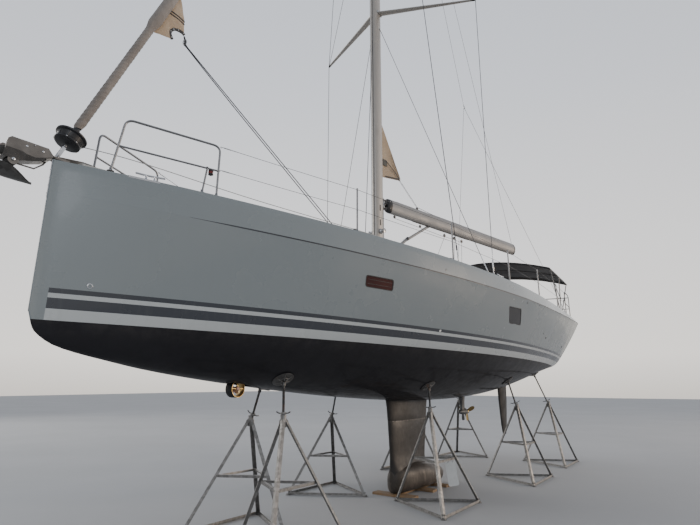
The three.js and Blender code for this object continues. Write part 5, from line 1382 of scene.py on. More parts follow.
for side, q in SIDES:
    pulpit = Shape()
    foot_f, foot_b, foot_m = on_deck(0.445, q * 0.185), on_deck(1.455, q * 0.600), on_deck(1.296, q * 0.550)
    a, b, c = P(0.507, q * 0.256, 4.566), P(1.385, q * 0.590, 4.556), P(1.460, q * 0.605, 4.550)
    m0, m1 = P(0.479, q * 0.222, 4.260), P(1.455, q * 0.601, 4.246)
    pulpit.tube(rounded([foot_f, a, c, foot_b], 0.085, 8), TUBE_R, 16)
    pulpit.tube([m0, m1], MID_R, 14)
    pulpit.tube([foot_m, m0.lerp(m1, 0.88)], MID_R, 14)
    for at, axis in ((m0, m1 - m0), (m1, m0 - m1), (m0.lerp(m1, 0.88), Vector((0, 0, 1)))):
        weld(pulpit, at + axis.normalized() * 0.013, axis, 0.0128)
    for s, y in ((0.445, 0.185), (1.455, 0.600), (1.296, 0.550)):
        foot_flange(pulpit, s, q * y)
    # eye that the wires end in
    for k in WIRE_HEIGHTS:
        z = on_deck(1.475, q * rail_in(1.475), 0).z + RAIL_H * k - 0.016
        p = P(1.462, q * 0.604, z)
        pulpit.tube(
            [p, p + Vector((-0.012, 0, 0.008)), p + Vector((-0.022, 0, 0)), p + Vector((-0.012, 0, -0.008))], 0.003,
            8, closed=True
        )
    # navigation light on a short arm of the after leg
    lamp = P(1.38, q * 0.570, 4.20)
    pulpit.beam(m0.lerp(m1, 0.925), lamp + Vector((0, 0, 0.02)), 0.016, 0.005, 0)
    pulpit.lathe(
        [
            (0.010, 0.058), (0.024, 0.056), (0.029, 0.050), (0.029, 0.042), (0.026, 0.040), (0.026, 0.012),
            (0.029, 0.010), (0.029, 0.0), (0.022, -0.004), (0.010, -0.005)
        ],
        lamp - Vector((0, 0, 0.022)), (0, 0, 1), 24, 1
    )
    pulpit.lathe(
        [(0.0245, 0.013), (0.0268, 0.018), (0.0268, 0.034), (0.0245, 0.039)], lamp - Vector((-0.003, 0, 0.022)),
        (0, 0, 1), 24, 2
    )
    pulpit.object(
        f"pulpit_{side}_rail", [RAIL_STEEL, BLACK, LENS_GREEN if q < 0 else LENS_RED], slot="stainless",
        replaces=f"pulpit_{side}", sharp=40
    )

    rail = Shape()
    for s in STANCHIONS:
        foot, top = on_deck(s, q * rail_in(s)), on_deck(s, q * rail_in(s), RAIL_H - 0.016)
        rail.tube([foot, top - Vector((0, 0, 0.004))], TUBE_R, 16)
        rail.lathe(
            [(0.0128, -0.010), (0.0133, -0.004), (0.012, 0.002), (0.007, 0.005), (0.002, 0.006)], top, (0, 0, 1), 16
        )
        foot_flange(rail, s, q * rail_in(s))
        for k in WIRE_HEIGHTS:
            # worn sleeve round each hole
            rail.lathe(
                [(0.0045, -0.0155), (0.006, -0.0145), (0.0055, 0.0145), (0.0045, 0.0155)], foot.lerp(top, k),
                (1, 0, 0), 10, 1
            )
    ends = [WIRE_START] + STANCHIONS + [WIRE_END]
    for k in WIRE_HEIGHTS:
        line = []
        for s0, s1 in zip(ends, ends[1:]):
            a, b = (on_deck(s, q * rail_in(s)).lerp(on_deck(s, q * rail_in(s), RAIL_H - 0.016), k) for s in (s0, s1))
            line += [a.lerp(b, t / 4) - Vector((0, 0, 0.004 * 4 * (t / 4) * (1 - t / 4))) for t in range(4)]
        line.append(
            on_deck(WIRE_END, q * rail_in(WIRE_END)).lerp(on_deck(WIRE_END, q * rail_in(WIRE_END), RAIL_H - 0.016), k)
        )
        rail.tube(line, WIRE_R, 8, 2)
        # turnbuckle by the pulpit, swaged ends
        d = (line[1] - line[0]).normalized()
        rail.tube([line[0] + d * x for x in (0.02, 0.03, 0.11, 0.12)], [0.004, 0.0062, 0.0062, 0.004], 10, 1)
        rail.tube([line[0] + d * x for x in (0.115, 0.19)], 0.0045, 8, 1)
        d = (line[-2] - line[-1]).normalized()
        rail.tube([line[-1] + d * x for x in (0.0, 0.10)], 0.0045, 8, 1)
    rail.object(
        f"guard_rail_{side}_wires", [RAIL_STEEL, BRUSHED, WIRE], slot="stainless", replaces=f"guard_rail_{side}",
        sharp=40
    )

    # pushpit half round the quarter
    h = RAIL_H
    posts = lambda s, y, up: on_deck(s, q * y, up)
    push = Shape()
    push.tube(
        rounded(
            [
                posts(12.30, rail_in(12.30), 0), posts(12.30, rail_in(12.30), h), posts(12.90, rail_in(12.90), h),
                posts(13.38, rail_in(13.38) - 0.03, h), posts(13.43, rail_in(13.43) - 0.13, h), posts(13.43, 0.82, h),
                posts(13.43, 0.82, 0)
            ],
            0.09, 8
        ),
        TUBE_R, 16
    )
    push.tube(
        rounded(
            [
                posts(12.30, rail_in(12.30), h / 2), posts(12.90, rail_in(12.90), h / 2),
                posts(13.38, rail_in(13.38) - 0.03, h / 2), posts(13.43, rail_in(13.43) - 0.13, h / 2),
                posts(13.43, 0.82, h / 2)
            ],
            0.07, 8
        ),
        MID_R, 14
    )
    push.tube([posts(13.38, rail_in(13.38) - 0.03, 0), posts(13.385, rail_in(13.38) - 0.034, h - 0.004)], TUBE_R, 16)
    for s, y in ((12.30, rail_in(12.30)), (13.38, rail_in(13.38) - 0.03), (13.43, 0.82)):
        foot_flange(push, s, q * y)
    weld(push, posts(12.30, rail_in(12.30), h / 2), (1, 0, 0), 0.016)
    weld(push, posts(13.43, 0.82, h / 2), (0, 1, 0), 0.016)
    push.object(f"pushpit_{side}_rail", [RAIL_STEEL], slot="stainless", replaces=f"pushpit_{side}", sharp=40)


def keep(node, *materials):
    """Gives a CAD node that stays its procedural material."""
    slots = NODES[node].material_slots
    for i, slot in enumerate(slots):
        slot.material = materials[min(i, len(materials) - 1)]
    return NODES[node]


# Bow roller: the channel stays, and gets its grooved wheel, axle nuts, bolts and a hold-down pin
ROLLER_Y = -0.09
keep("bow_roller", ROLLER_STEEL)
roller = Shape()
roller_c = P(-0.335, ROLLER_Y, 3.850)
roller.lathe(
    [
        (0.012, -0.0615), (0.044, -0.0610), (0.0464, -0.058), (0.0464, -0.020), (0.0462, -0.0135), (0.0462, 0.0135),
        (0.0464, 0.020), (0.0464, 0.058), (0.044, 0.0610), (0.012, 0.0615)
    ],
    roller_c, (0, 1, 0), 40, 0
)
for w in (-1, 1):
    roller.lathe(
        [(0.016, 0), (0.016, 0.008), (0.013, 0.010), (0.007, 0.0105), (0.007, 0.017), (0.004, 0.018)],
        roller_c + Vector((0, w * 0.0640, 0.004)), (0, w, 0), 6 if w > 0 else 20, 1
    )
    for s, z in ((-0.12, 4.0), (-0.26, 4.0)):
        roller.lathe(
            [(0.010, 0), (0.010, 0.004), (0.006, 0.007), (0.002, 0.008)], P(s, ROLLER_Y + w * 0.1072, z), (0, w, 0),
            14, 1
        )
pin = P(-0.20, ROLLER_Y, 4.031)
roller.tube([pin + Vector((0, y, 0)) for y in (-0.124, 0.122)], 0.0048, 12, 1)
roller.tube(
    [
        pin + Vector((0, -0.118, 0)) + Vector((0.014 * math.sin(t), 0, -0.014 + 0.014 * math.cos(t)))
        for t in (TAU * k / 12 for k in range(12))
    ],
    0.0018, 6, 1, closed=True
)
# bolts of the seat on the stem head
for s in (0.02, 0.10):
    for y in (-0.085, -0.02):
        screw_head(roller, P(s, y, 3.9928), (0, 0, 1), 0.008, 1)
roller.object("bow_roller_fittings", [RUBBER, STEEL], slot="stainless", sharp=36)

# Anchor: forged shank with a bevelled edge, scooped fluke, ballast under its tip
SHANK = [
    (-0.500, 3.940), (-0.455, 3.885), (-0.400, 3.8963), (-0.290, 3.8963), (-0.060, 4.000), (0.300, 4.045),
    (0.420, 4.055), (0.420, 4.085), (0.290, 4.085), (-0.420, 3.975)
]
ARM = [(-0.500, 3.940), (-0.455, 3.885), (-0.490, 3.790), (-0.505, 3.745), (-0.575, 3.795), (-0.565, 3.850)]
FLUKE = [(-0.620, 3.815, 0.014), (-0.515, 3.750, 0.110), (-0.372, 3.704, 0.165), (-0.137, 3.686, 0.005)]
SHANK_HALF = 0.012
anchor = Shape()
for outline in (SHANK, ARM):
    anchor.prism(outline, lambda p, k: P(p[0], ROLLER_Y + SHANK_HALF * (2 * k - 1), p[1]))
rings = []
for k in range(25):
    t = k / 24 * (len(FLUKE) - 1)
    i = min(int(t), len(FLUKE) - 2)
    f = t - i
    before, a, b, after = FLUKE[max(i - 1, 0)], FLUKE[i], FLUKE[i + 1], FLUKE[min(i + 2, len(FLUKE) - 1)]
    s, z, w = (
        0.5 * (
            2 * a[j] + (b[j] - before[j]) * f + (
                2 * before[j] - 5 * a[j] + 4 * b[j] - after[j]
            ) * f * f + (3 * a[j] - before[j] - 3 * b[j] + after[j]) * f**3
        )
        for j in range(3)
    )
    w = max(w, 0.006)
    ring = []
    for x in spread(-1, 1, 13):
        ring.append(P(s, ROLLER_Y + w * x, z + w * 0.3 * x * x + 0.0))
    for x in spread(1, -1, 13)[1:-1]:
        ring.append(P(s, ROLLER_Y + w * x, z + w * 0.3 * x * x + 0.010 + 0.014 * (1 - x * x) ** 2))
    rings.append(ring)
anchor.rings(rings)
for s, z, r in ((0.385, 4.070, 0.011), (0.30, 4.066, 0.008)):
    for w in (-1, 1):
        anchor.lathe(
            [(r, -0.002), (r, 0.003), (r * 0.6, 0.005), (r * 0.2, 0.0052)], P(s, ROLLER_Y + w * SHANK_HALF, z),
            (0, w, 0), 16, 1
        )
anchor.object("anchor_forged", [ANCHOR_METAL, BRUSHED], slot="galvanised", replaces="anchor", sharp=30, bevel=0.0025)

# Chain from the shank's end along the deck to the windlass
def chain_line(shape, points, wire=0.005, pitch=0.030, mat=0):
    line = smooth_line(points, 12)
    out, at = [], 0.0
    for a, b in zip(line, line[1:]):
        span = (b - a).length
        while at <= span:
            out.append((a.lerp(b, at / span), (b - a).normalized()))
            at += pitch
        at -= span
    for k, (c, d) in enumerate(out):
        side = d.cross(Vector((0, 0, 1))).normalized()
        up = side.cross(d)
        w = (side + up).normalized() if k % 2 else (side - up).normalized()
        ring = []
        for j in range(12):
            t = TAU * j / 12
            ring.append(
                c + d * (
                    pitch * 0.5 * math.cos(t) + math.copysign(pitch * 0.15, math.cos(t))
                ) + w * (0.0105 * math.sin(t))
            )
        shape.tube(ring, wire, 6, mat, closed=True)


chain = Shape()
chain_line(
    chain,
    [
        P(0.41, ROLLER_Y, 4.060), P(0.56, -0.080, 4.040), P(0.72, -0.060, deck_z(0.72, 0.06) + 0.012),
        P(1.0, -0.03, deck_z(1.0, 0) + 0.0465), P(1.4, 0.02, deck_z(1.4, 0) + 0.0445),
        P(1.62, 0.05, deck_z(1.62, 0) + 0.03), P(1.735, 0.067, deck_z(1.74, 0) + 0.075)
    ]
)
chain.object("anchor_chain", [GALV], slot="galvanised", sharp=40)

# Windlass: cast base, gypsy and drum with a socketed cap
WINDLASS_S = 1.78
base_z = deck_z(WINDLASS_S, 0)
windlass = Shape()
outline = corner_outline(WINDLASS_S - 0.12, WINDLASS_S + 0.12, -0.11, 0.11, 0.045, 6)
rings = []
for grow, h in ((0, 0.0004), (0, 0.010), (0.006, 0.014), (0.012, 0.040), (0.020, 0.054), (0.036, 0.060)):
    k = 1 - grow / 0.11
    rings.append([P(WINDLASS_S + (p[0] - WINDLASS_S) * k, p[1] * k, base_z + h) for p in outline])
windlass.rings(rings)
windlass.lathe(
    [
        (0.078, 0.058), (0.078, 0.064), (0.068, 0.070), (0.060, 0.076), (0.068, 0.083), (0.078, 0.088),
        (0.078, 0.094), (0.062, 0.098), (0.056, 0.104), (0.060, 0.116), (0.080, 0.132), (0.085, 0.139),
        (0.084, 0.145), (0.060, 0.150), (0.024, 0.157), (0.018, 0.158), (0.016, 0.150)
    ],
    P(WINDLASS_S, 0, base_z), (0, 0, 1), 36
)
for k in range(8):
    t = TAU * k / 8
    c = P(WINDLASS_S, 0, base_z + 0.076) + Vector((0.067 * math.cos(t), 0.067 * math.sin(t), 0))
    windlass.lathe([(0.012, -0.010), (0.014, -0.006), (0.014, 0.006), (0.012, 0.010)], c, (0, 0, 1), 10)
for x in (-0.095, 0.095):
    for y in (-0.07, 0.07):
        screw_head(windlass, P(WINDLASS_S + x, y, base_z + 0.0135), (0, 0, 1), 0.006)
windlass.object("windlass_cast", [STEEL], slot="stainless", replaces="windlass", sharp=34)


# Mooring cleats: a low bar on two feet. Columns: s, distance from the centreline, turn from the hull's line.
CLEATS = [(0.80, 0.330, 22), (6.90, None, 2), (12.95, None, -4)]
CLEAT_HALF = 0.15


def cleat(shape, s, y, turn, q, half=CLEAT_HALF):
    c = on_deck(s, q * y, 0.0004)
    t = math.radians(turn) * -q
    d, e = Vector((-math.cos(t), -math.sin(t) * 1.0, 0)), Vector((math.sin(t), -math.cos(t), 0))
    bar = [
        c + d * x + Vector((0, 0, z)) for x,
        z in (
            (-half, 0.056), (-half * 0.8, 0.055), (-half * 0.3, 0.0515), (half * 0.3, 0.0515), (half * 0.8, 0.055),
            (half, 0.056)
        )
    ]
    shape.tube(smooth_line(bar, 4), [0.007] + [0.0105] * 19 + [0.007], 12)
    for x in (-0.042, 0.042):
        shape.lathe(
            [(0.026, 0), (0.026, 0.005), (0.016, 0.010), (0.011, 0.022), (0.0105, 0.045), (0.011, 0.052)], c + d * x,
            (0, 0, 1), 18
        )
        for w in (-1, 1):
            screw_head(shape, c + d * x + e * (w * 0.018) + Vector((0, 0, 0.005)), (0, 0, 1), 0.004)


cleats = Shape()
for s, y, turn in CLEATS:
    for q in (1, -1):
        cleat(cleats, s, sheer_half(s) - 0.075 if y is None else y, turn, q)
cleats.object("mooring_cleats", [STEEL], slot="stainless", sharp=36)

# Steel plates on the sheer by the bow and stern cleats, for the mooring lines
fair = Shape()
for s0, s1 in ((0.58, 0.86), (12.72, 12.98)):
    for q in (1, -1):
        rings = []
        for s in spread(s0, s1, 8):
            b, z = sheer_half(s), sheer_z(s)
            rings.append(
                [
                    P(s, q * (b + 0.0012), z - 0.020), P(s, q * (b + 0.0012), z - 0.002),
                    P(s, q * (b - 0.002), z + 0.0016), P(s, q * (b - 0.036), z + 0.0016),
                    P(s, q * (b - 0.0365), z + 0.0002), P(s, q * (b - 0.001), z + 0.0002),
                    P(s, q * (b + 0.0002), z - 0.020)
                ]
            )
        fair.rings(rings)
fair.object("fairlead_plates", [STEEL], slot="stainless", sharp=30)


# Mast: an oval section with a sail slot down its after side
SLOT_HALF, SLOT_DEPTH = 0.010, 0.036
MAST_FOOT = roof_top(MAST_S) + 0.0003
COLLAR = 1.35


def oval(z, k=1.0, n=44):
    return [
        P(MAST_S + MAST_FORE * k * math.cos(TAU * i / n), MAST_SIDE * k * math.sin(TAU * i / n), z) for i in range(n)
    ]


def mast_ring(z, n=43):
    a = math.asin(SLOT_HALF / MAST_SIDE)
    pts = [P(MAST_S + MAST_FORE * math.cos(t), MAST_SIDE * math.sin(t), z) for t in spread(a, TAU - a, n)]
    inner = MAST_S + MAST_FORE - SLOT_DEPTH
    return pts + [P(inner, -SLOT_HALF, z), P(inner, SLOT_HALF, z)]


def spreader_ring(q, row, u):
    """One section of a spreader, a slim foil that thins towards its tip."""
    chord, thick = (0.080, 0.026) if u < 0.1 else (
        0.080 - 0.050 * (u - 0.02) / 0.98, 0.026 - 0.014 * (u - 0.02) / 0.98
    )
    y = MAST_SIDE * 0.4 + (row["reach"] - MAST_SIDE * 0.4) * u
    s = MAST_S + 0.02 + (row["sweep"] - 0.02) * u
    ring = []
    for k in range(20):
        t = TAU * k / 20
        ring.append(P(s + chord * math.cos(t), q * y, row["z"] + thick * math.sin(t) * (1 - 0.25 * math.cos(t))))
    return ring


mast = Shape()
levels = [MAST_FOOT, 4.6, 5.3, 6.2, 8.0, 9.4, 11.5, 14.5, 17.5, 19.5, MAST_TOP]
mast.rings([mast_ring(z) for z in levels])
n = 45
for k in range((len(levels) - 1) * n):
    if k % n in (42, 43, 44):
        mast.m[k] = 1
mast.rings(
    [
        oval(MAST_FOOT - 0.055, COLLAR), oval(MAST_FOOT + 0.012, COLLAR), oval(MAST_FOOT + 0.022, COLLAR - 0.04),
        oval(MAST_FOOT + 0.024, 1.10), oval(MAST_FOOT + 0.050, 1.06), oval(MAST_FOOT + 0.052, 1.0)
    ],
    2
)
for k in range(10):
    t = TAU * (k + 0.5) / 10
    screw_head(
        mast, P(MAST_S + MAST_FORE * 1.22 * math.cos(t), MAST_SIDE * 1.22 * math.sin(t), MAST_FOOT + 0.0225),
        (0, 0, 1), 0.006, 2
    )
for row in SPREADERS.values():
    for q in (1, -1):
        mast.rings([spreader_ring(q, row, u) for u in (0.02, 0.06, 0.25, 0.5, 0.75, 0.97)], 0)
        # black tip that holds the shroud, and the root's bracket
        tip_at = P(MAST_S + row["sweep"], q * row["reach"], row["z"])
        mast.rings([spreader_ring(q, row, u) for u in (0.968, 0.985, 1.0)], 1)
        mast.lathe(
            [(0.006, -0.032), (0.0125, -0.028), (0.0135, 0.0), (0.0125, 0.028), (0.006, 0.032)],
            tip_at + Vector((0, q * (row["off"] - 0.002), 0)), (0, 0, 1), 14, 2
        )
        root = P(MAST_S + 0.035, q * MAST_SIDE * 0.97, row["z"])
        mast.rings(
            [
                [
                    root + Vector((x, q * y, z)) for x,
                    z in ((0.10, 0.0), (0.07, 0.05), (-0.07, 0.05), (-0.10, 0.0), (-0.07, -0.05), (0.07, -0.05))
                ]
                for y in (-0.006, 0.006)
            ],
            2
        )
        for x in (-0.06, 0.06):
            screw_head(mast, root + Vector((x, q * 0.006, 0.0)), (0, q, 0), 0.008, 2)
# masthead box, its sheaves and crane
mast.box(P(5.72, -0.025, 21.14), P(6.06, 0.025, 21.22), 1, 0.006)
mast.rings([oval(MAST_TOP - 0.001, 1.03), oval(MAST_TOP + 0.010, 1.02), oval(MAST_TOP + 0.012, 0.9)], 1)
for s in (5.76, 6.03):
    for w in (-1, 1):
        mast.lathe([(0.026, 0), (0.026, 0.005), (0.010, 0.0065)], P(s, w * 0.025, 21.165), (0, w, 0), 20, 2)
# exits and slots on the after side and by the gooseneck. Columns: z low, z high
for z0, z1 in ((6.01, 6.19), (5.56, 5.735)):
    mast.box(P(MAST_S + MAST_FORE - 0.004, -0.017, z0), P(MAST_S + MAST_FORE + 0.003, 0.017, z1), 1, 0.003)
for q in (1, -1):
    for z in (4.95, 5.25):
        mast.rings(
            [
                [
                    P(MAST_S + s, q * (MAST_SIDE * math.sqrt(max(1 - (s / MAST_FORE) ** 2, 0)) + out), z + h) for s,
                    h in ((-0.055, -0.05), (-0.025, -0.05), (-0.025, 0.07), (-0.055, 0.07))
                ]
                for out in (-0.002, 0.0025)
            ],
            1
        )
    # halyard winch on its pad
    c = P(MAST_S - 0.03, q * (MAST_SIDE - 0.004), 4.78)
    mast.lathe(
        [
            (0.052, 0), (0.052, 0.012), (0.045, 0.020), (0.036, 0.030), (0.033, 0.060), (0.038, 0.078),
            (0.046, 0.086), (0.046, 0.094), (0.026, 0.100), (0.016, 0.100), (0.014, 0.092)
        ],
        c, (0, q, 0), 28, 2
    )
mast.object("mast_section", [SPAR, BLACK, BRUSHED], slot="anodised", replaces="mast", sharp=34)

# Boom about the upright axis of its gooseneck, swung a little to port
BOOM_DIR = Vector((-math.cos(BOOM_ANGLE), math.sin(BOOM_ANGLE), 0))
BOOM_SIDE = Vector((-BOOM_DIR.y, BOOM_DIR.x, 0))
CASTING_END, CAP_START = 0.165, 5.035


def along(d, dz=0.0, off=0.0):
    return P(PIVOT_S, 0, GOOSE_Z + dz) + BOOM_DIR * d + BOOM_SIDE * off


def on_boom(d, share=0.0, out=0.0, off=0.0):
    """A point over (share 1), under (share -1) or on the middle of the boom."""
    return along(d, BOOM_RISE * d / BOOM_LENGTH + BOOM_HALF_H * share + out, off)


def boom_ring(d, grow=0.0, n=40):
    ring = []
    for k in range(n):
        t = TAU * k / n
        x, z = math.sin(t), math.cos(t)
        notch = 0.010 * math.exp(-((k - 0) / 0.6) ** 2) if k < 2 else 0.0
        ring.append(
            along(d, BOOM_RISE * d / BOOM_LENGTH + (BOOM_HALF_H + grow) * z - notch, (BOOM_HALF_W + grow) * x)
        )
    return ring


boom = Shape()
boom.rings([boom_ring(d) for d in spread(CASTING_END, CAP_START, 9)], 0)
boom.rings(
    [
        boom_ring(d, g) for d,
        g in (
            (0.062, -0.030), (0.075, -0.012), (0.11, -0.002), (CASTING_END, 0.0015), (CASTING_END + 0.016, 0.0015),
            (CASTING_END + 0.017, 0.0)
        )
    ],
    1
)
boom.rings(
    [
        boom_ring(d, g) for d,
        g in (
            (CAP_START - 0.018, 0.0), (CAP_START - 0.017, 0.0016), (BOOM_LENGTH - 0.02, 0.0016),
            (BOOM_LENGTH - 0.006, -0.008), (BOOM_LENGTH, -0.024)
        )
    ],
    1
)
boom.tube([along(0, -0.0797), along(0, 0.0797)], 0.022, 24, 2)
boom.tube([along(-0.002), along(0.08)], 0.034, 24, 1)
# reefing and outhaul sheaves in the end cap, bolts of both castings
for off in (-0.03, 0.03):
    boom.lathe(
        [(0.040, -0.008), (0.036, 0.0), (0.040, 0.008)], on_boom(BOOM_LENGTH - 0.028, 0.25, 0, off), BOOM_SIDE, 24, 2
    )
for w in (1, -1):
    for d in (0.115, CAP_START + 0.02):
        for share in (-0.45, 0.45):
            k = math.sqrt(1 - share * share)
            screw_head(boom, on_boom(d, share, 0, w * (BOOM_HALF_W * k + 0.0005)), BOOM_SIDE * w, 0.007, 2)
# sail track along the top, sheet track underneath
boom.rings(
    [
        [
            on_boom(d, 1, h, o) for h,
            o in (
                (-0.006, -0.014), (0.004, -0.014), (0.004, -0.006), (0.0, -0.006), (0.0, 0.006), (0.004, 0.006),
                (0.004, 0.014), (-0.006, 0.014)
            )
        ]
        for d in (0.35, 4.6)
    ],
    1
)
boom.rings(
    [
        [
            on_boom(d, -1, h, o) for h,
            o in (
                (0.008, -0.016), (-0.004, -0.016), (-0.006, -0.009), (-0.006, 0.009), (-0.004, 0.016), (0.008, 0.016)
            )
        ]
        for d in (0.9, 2.95)
    ],
    1
)
boom.object("boom_section", [SPAR_DULL, BLACK, BRUSHED], body="boom", slot="anodised", replaces="boom", sharp=34)

VANG_Z = MAST_FOOT + 0.2
VANG_DROP = VANG_Z - GOOSE_Z
vang = Shape()
low, high = along(0.014, VANG_DROP), along(0.70, VANG_DROP * 0.52)
slide0, slide1 = along(0.64, VANG_DROP * 0.565), on_boom(1.425, -1, -0.002)
run = (high - low).normalized()
vang.tube([low + run * 0.03, low + run * 0.045, high - run * 0.02, high], [0.026, 0.032, 0.032, 0.0305], 24)
vang.tube(
    [high - run * 0.035, high - run * 0.03, high + run * 0.03, high + run * 0.04], [0.034, 0.0365, 0.0365, 0.028], 24,
    1
)
vang.tube([slide0, slide1 - (slide1 - slide0).normalized() * 0.05], 0.0285, 20)
vang.tube([slide1 - (slide1 - slide0).normalized() * x for x in (0.07, 0.03, 0.012)], [0.0305, 0.0305, 0.018], 16, 1)
vang.tube([along(0, VANG_DROP - 0.0517), along(0, VANG_DROP + 0.0717)], 0.0195, 24, 2)
vang.beam(along(0.0, VANG_DROP), low + run * 0.035, 0.034, 0.05, 1, c=0.006)
# vang tackle: a block on each end and four parts of line
for off in (-0.05, 0.05):
    a, b = low + run * 0.10 + BOOM_SIDE * off, high - run * 0.04 + BOOM_SIDE * off
    vang.tube([a, b], 0.004, 8, 3)
    for c in (a, b):
        vang.lathe(
            [(0.010, -0.012), (0.022, -0.010), (0.018, 0.0), (0.022, 0.010), (0.010, 0.012)], c, BOOM_SIDE, 18, 1
        )
vang.rings(
    [
        [on_boom(d, -1, h, o) for o in (-0.014, 0.014)] + [on_boom(d, -1, h - 0.004, o) for o in (0.014, -0.014)]
        for d, h in ((1.36, 0.004), (1.40, -0.020), (1.45, -0.020), (1.50, 0.004))
    ],
    1
)
vang.object(
    "vang_strut", [SPAR_DULL, BLACK, BRUSHED, ROPE_WHITE], body="boom", slot="anodised", replaces="vang", sharp=36
)
keep("boom_brackets", BLACK_CAST)

bolts = Shape()
for z in (VANG_Z - 0.06, VANG_Z + 0.03, VANG_Z + 0.115, GOOSE_Z - 0.115, GOOSE_Z + 0.03, GOOSE_Z + 0.112):
    for y in (-0.019, 0.019):
        screw_head(bolts, P(MAST_S + MAST_FORE + 0.0250, y, z), (-1, 0, 0), 0.006)
for z, h in ((GOOSE_Z + 0.100, 0.02), (VANG_Z + 0.088, 0.02)):
    bolts.lathe([(0.017, 0), (0.017, 0.006), (0.012, 0.009), (0.004, 0.010)], P(PIVOT_S, 0, z), (0, 0, 1), 20)
bolts.object("bracket_bolts", [BRUSHED], slot="stainless", sharp=36)


# Blocks and lines
def block(shape, at, axis, r=0.030, half=0.012, cheek=0, sheave=1, hang=None):
    """A cheeked block with its sheave, and a shackle towards hang."""
    a = Vector(axis).normalized()
    for w in (-1, 1):
        shape.lathe(
            [
                (r * 0.25, half * 0.35), (r, half * 0.45), (r * 1.02, half * 0.8), (r * 0.8, half),
                (r * 0.3, half * 1.1), (r * 0.1, half * 1.1)
            ],
            at, a * w, 20, cheek
        )
    shape.lathe([(r * 0.86, -half * 0.4), (r * 0.7, 0), (r * 0.86, half * 0.4)], at, a, 20, sheave)
    if hang is not None:
        h = (Vector(hang) - at)
        d = h.normalized()
        shape.tube(
            [at + d * r * 0.6 + a * half * 0.9, at + d * h.length, at + d * r * 0.6 - a * half * 0.9], 0.0035, 8,
            sheave
        )


# Columns: place along the boom, height over its middle line, height of the becket's eye
BOOM_BLOCKS = [
    (1.06, 0.187, 0.155), (0.32, -0.185, -0.14), (1.14, -0.200, -0.14), (2.01, -0.215, -0.15), (2.39, -0.200, -0.15),
    (2.68, -0.215, -0.15)
]
blocks = Shape()
for d, dz, eye in BOOM_BLOCKS:
    block(blocks, along(d, dz), BOOM_SIDE, 0.030 if d < 2 else 0.036, 0.012, 0, 1, along(d, eye))
blocks.object("boom_blocks", [BLACK, BRUSHED], body="boom", slot="black_plastic", sharp=38)
lines = Shape()
lines.tube([along(0.32, -0.215), along(1.14, -0.228), along(2.01, -0.248)], 0.0045, 8, 0)
lines.tube(
    [
        along(1.06, 0.215), along(1.6, 0.182 + 0.0), along(3.2, 0.196), along(BOOM_LENGTH - 0.10, 0.212),
        along(BOOM_LENGTH - 0.045, 0.185)
    ],
    0.005, 8, 0
)
lines.tube([along(2.01, -0.24), along(2.39, -0.232), along(2.68, -0.246)], 0.005, 8, 1)
lines.object("boom_lines", [ROPE_DARK, ROPE_WHITE], body="boom", slot="canvas_black", sharp=60)


def falls(name, low, high, r, material, steps=14):
    """A line from the deck or the mast up to the boom."""
    shape = Shape()
    low, high = Vector(low), Vector(high)
    shape.tube([low.lerp(high, t) for t in spread(0, 1, steps)], r, 8)
    o = shape.object(name, [material], slot="canvas_black", ride=False, sharp=60)
    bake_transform(o)
    return o


# Mainsheet: three falls to blocks on the coachroof. Columns: place along the boom, height, foot's s and y
SHEET_FALLS = [(2.01, -0.25, 7.58, 0.30), (2.39, -0.232, 8.30, 0.47), (2.68, -0.248, 8.62, 0.52)]
roof_blocks = Shape()
for d, dz, s, y in SHEET_FALLS:
    z = roof_top(s) - (ROOF_CROWN * (y / 0.6) ** 2) * 0.25 + (
        0.095 if HOOD_S[0] < s < HOOD_S[1] and y < HOOD_HALF else 0.0
    )
    block(roof_blocks, P(s, y, z + 0.055), BOOM_SIDE, 0.036, 0.013, 0, 1, P(s, y, z + 0.002))
    roof_blocks.lathe([(0.030, 0), (0.030, 0.004), (0.016, 0.006), (0.010, 0.012)], P(s, y, z), (0, 0, 1), 20, 1)
    falls(f"mainsheet_fall_{round(d * 100)}", P(s, y, z + 0.09), along(d, dz), 0.005, ROPE_WHITE)
roof_blocks.object("mainsheet_blocks", [BLACK, BRUSHED], slot="black_plastic", sharp=38)

# Mainsail: all but its clew is inside the mast. The clew is a sheet with a board, ring and webbing
MAIN_CLEW = [(-0.025, 7.31), (-0.025, 5.995), (0.575, 6.085), (0.59, 6.13)]


def clew_at(d, z, off=0.0):
    return P(MAST_S + MAST_FORE + 0.004, 0, z) + BOOM_DIR * d + BOOM_SIDE * off


def in_outline(outline, u, v):
    """A point of a four-cornered patch by two shares."""
    a, b, c, d = (Vector(p) for p in outline)
    return (a * (1 - u) + d * u) * (1 - v) + (b * (1 - u) + c * u) * v


cols, rows = 25, 41
pts, faces = [], []
for j in range(rows):
    v = j / (rows - 1)
    for i in range(cols):
        u = i / (cols - 1)
        p = in_outline(MAIN_CLEW, u, v)
        belly = 0.016 * math.sin(math.pi * u) * math.sin(math.pi * v) + 0.003 * math.sin(u * 19 + v * 7) * u
        pts.append(clew_at(p.x, p.y, belly))
for j in range(rows - 1):
    for i in range(cols - 1):
        faces.append((j * cols + i, j * cols + i + 1, (j + 1) * cols + i + 1, (j + 1) * cols + i))
main = Shape().add(pts, faces)
main_o = main.object("mainsail_clew_cloth", [CLEW_CLOTH], slot="sailcloth", replaces="mainsail_clew", sharp=180)
main_bits = Shape()
ring_c = clew_at(0.535, 6.105, 0)
for w in (-1, 1):
    main_bits.lathe(
        [(0.017, 0.0), (0.019, 0.004), (0.027, 0.005), (0.029, 0.002), (0.029, 0.0)],
        ring_c + BOOM_SIDE * (w * 0.003), BOOM_SIDE * w, 24, 1
    )
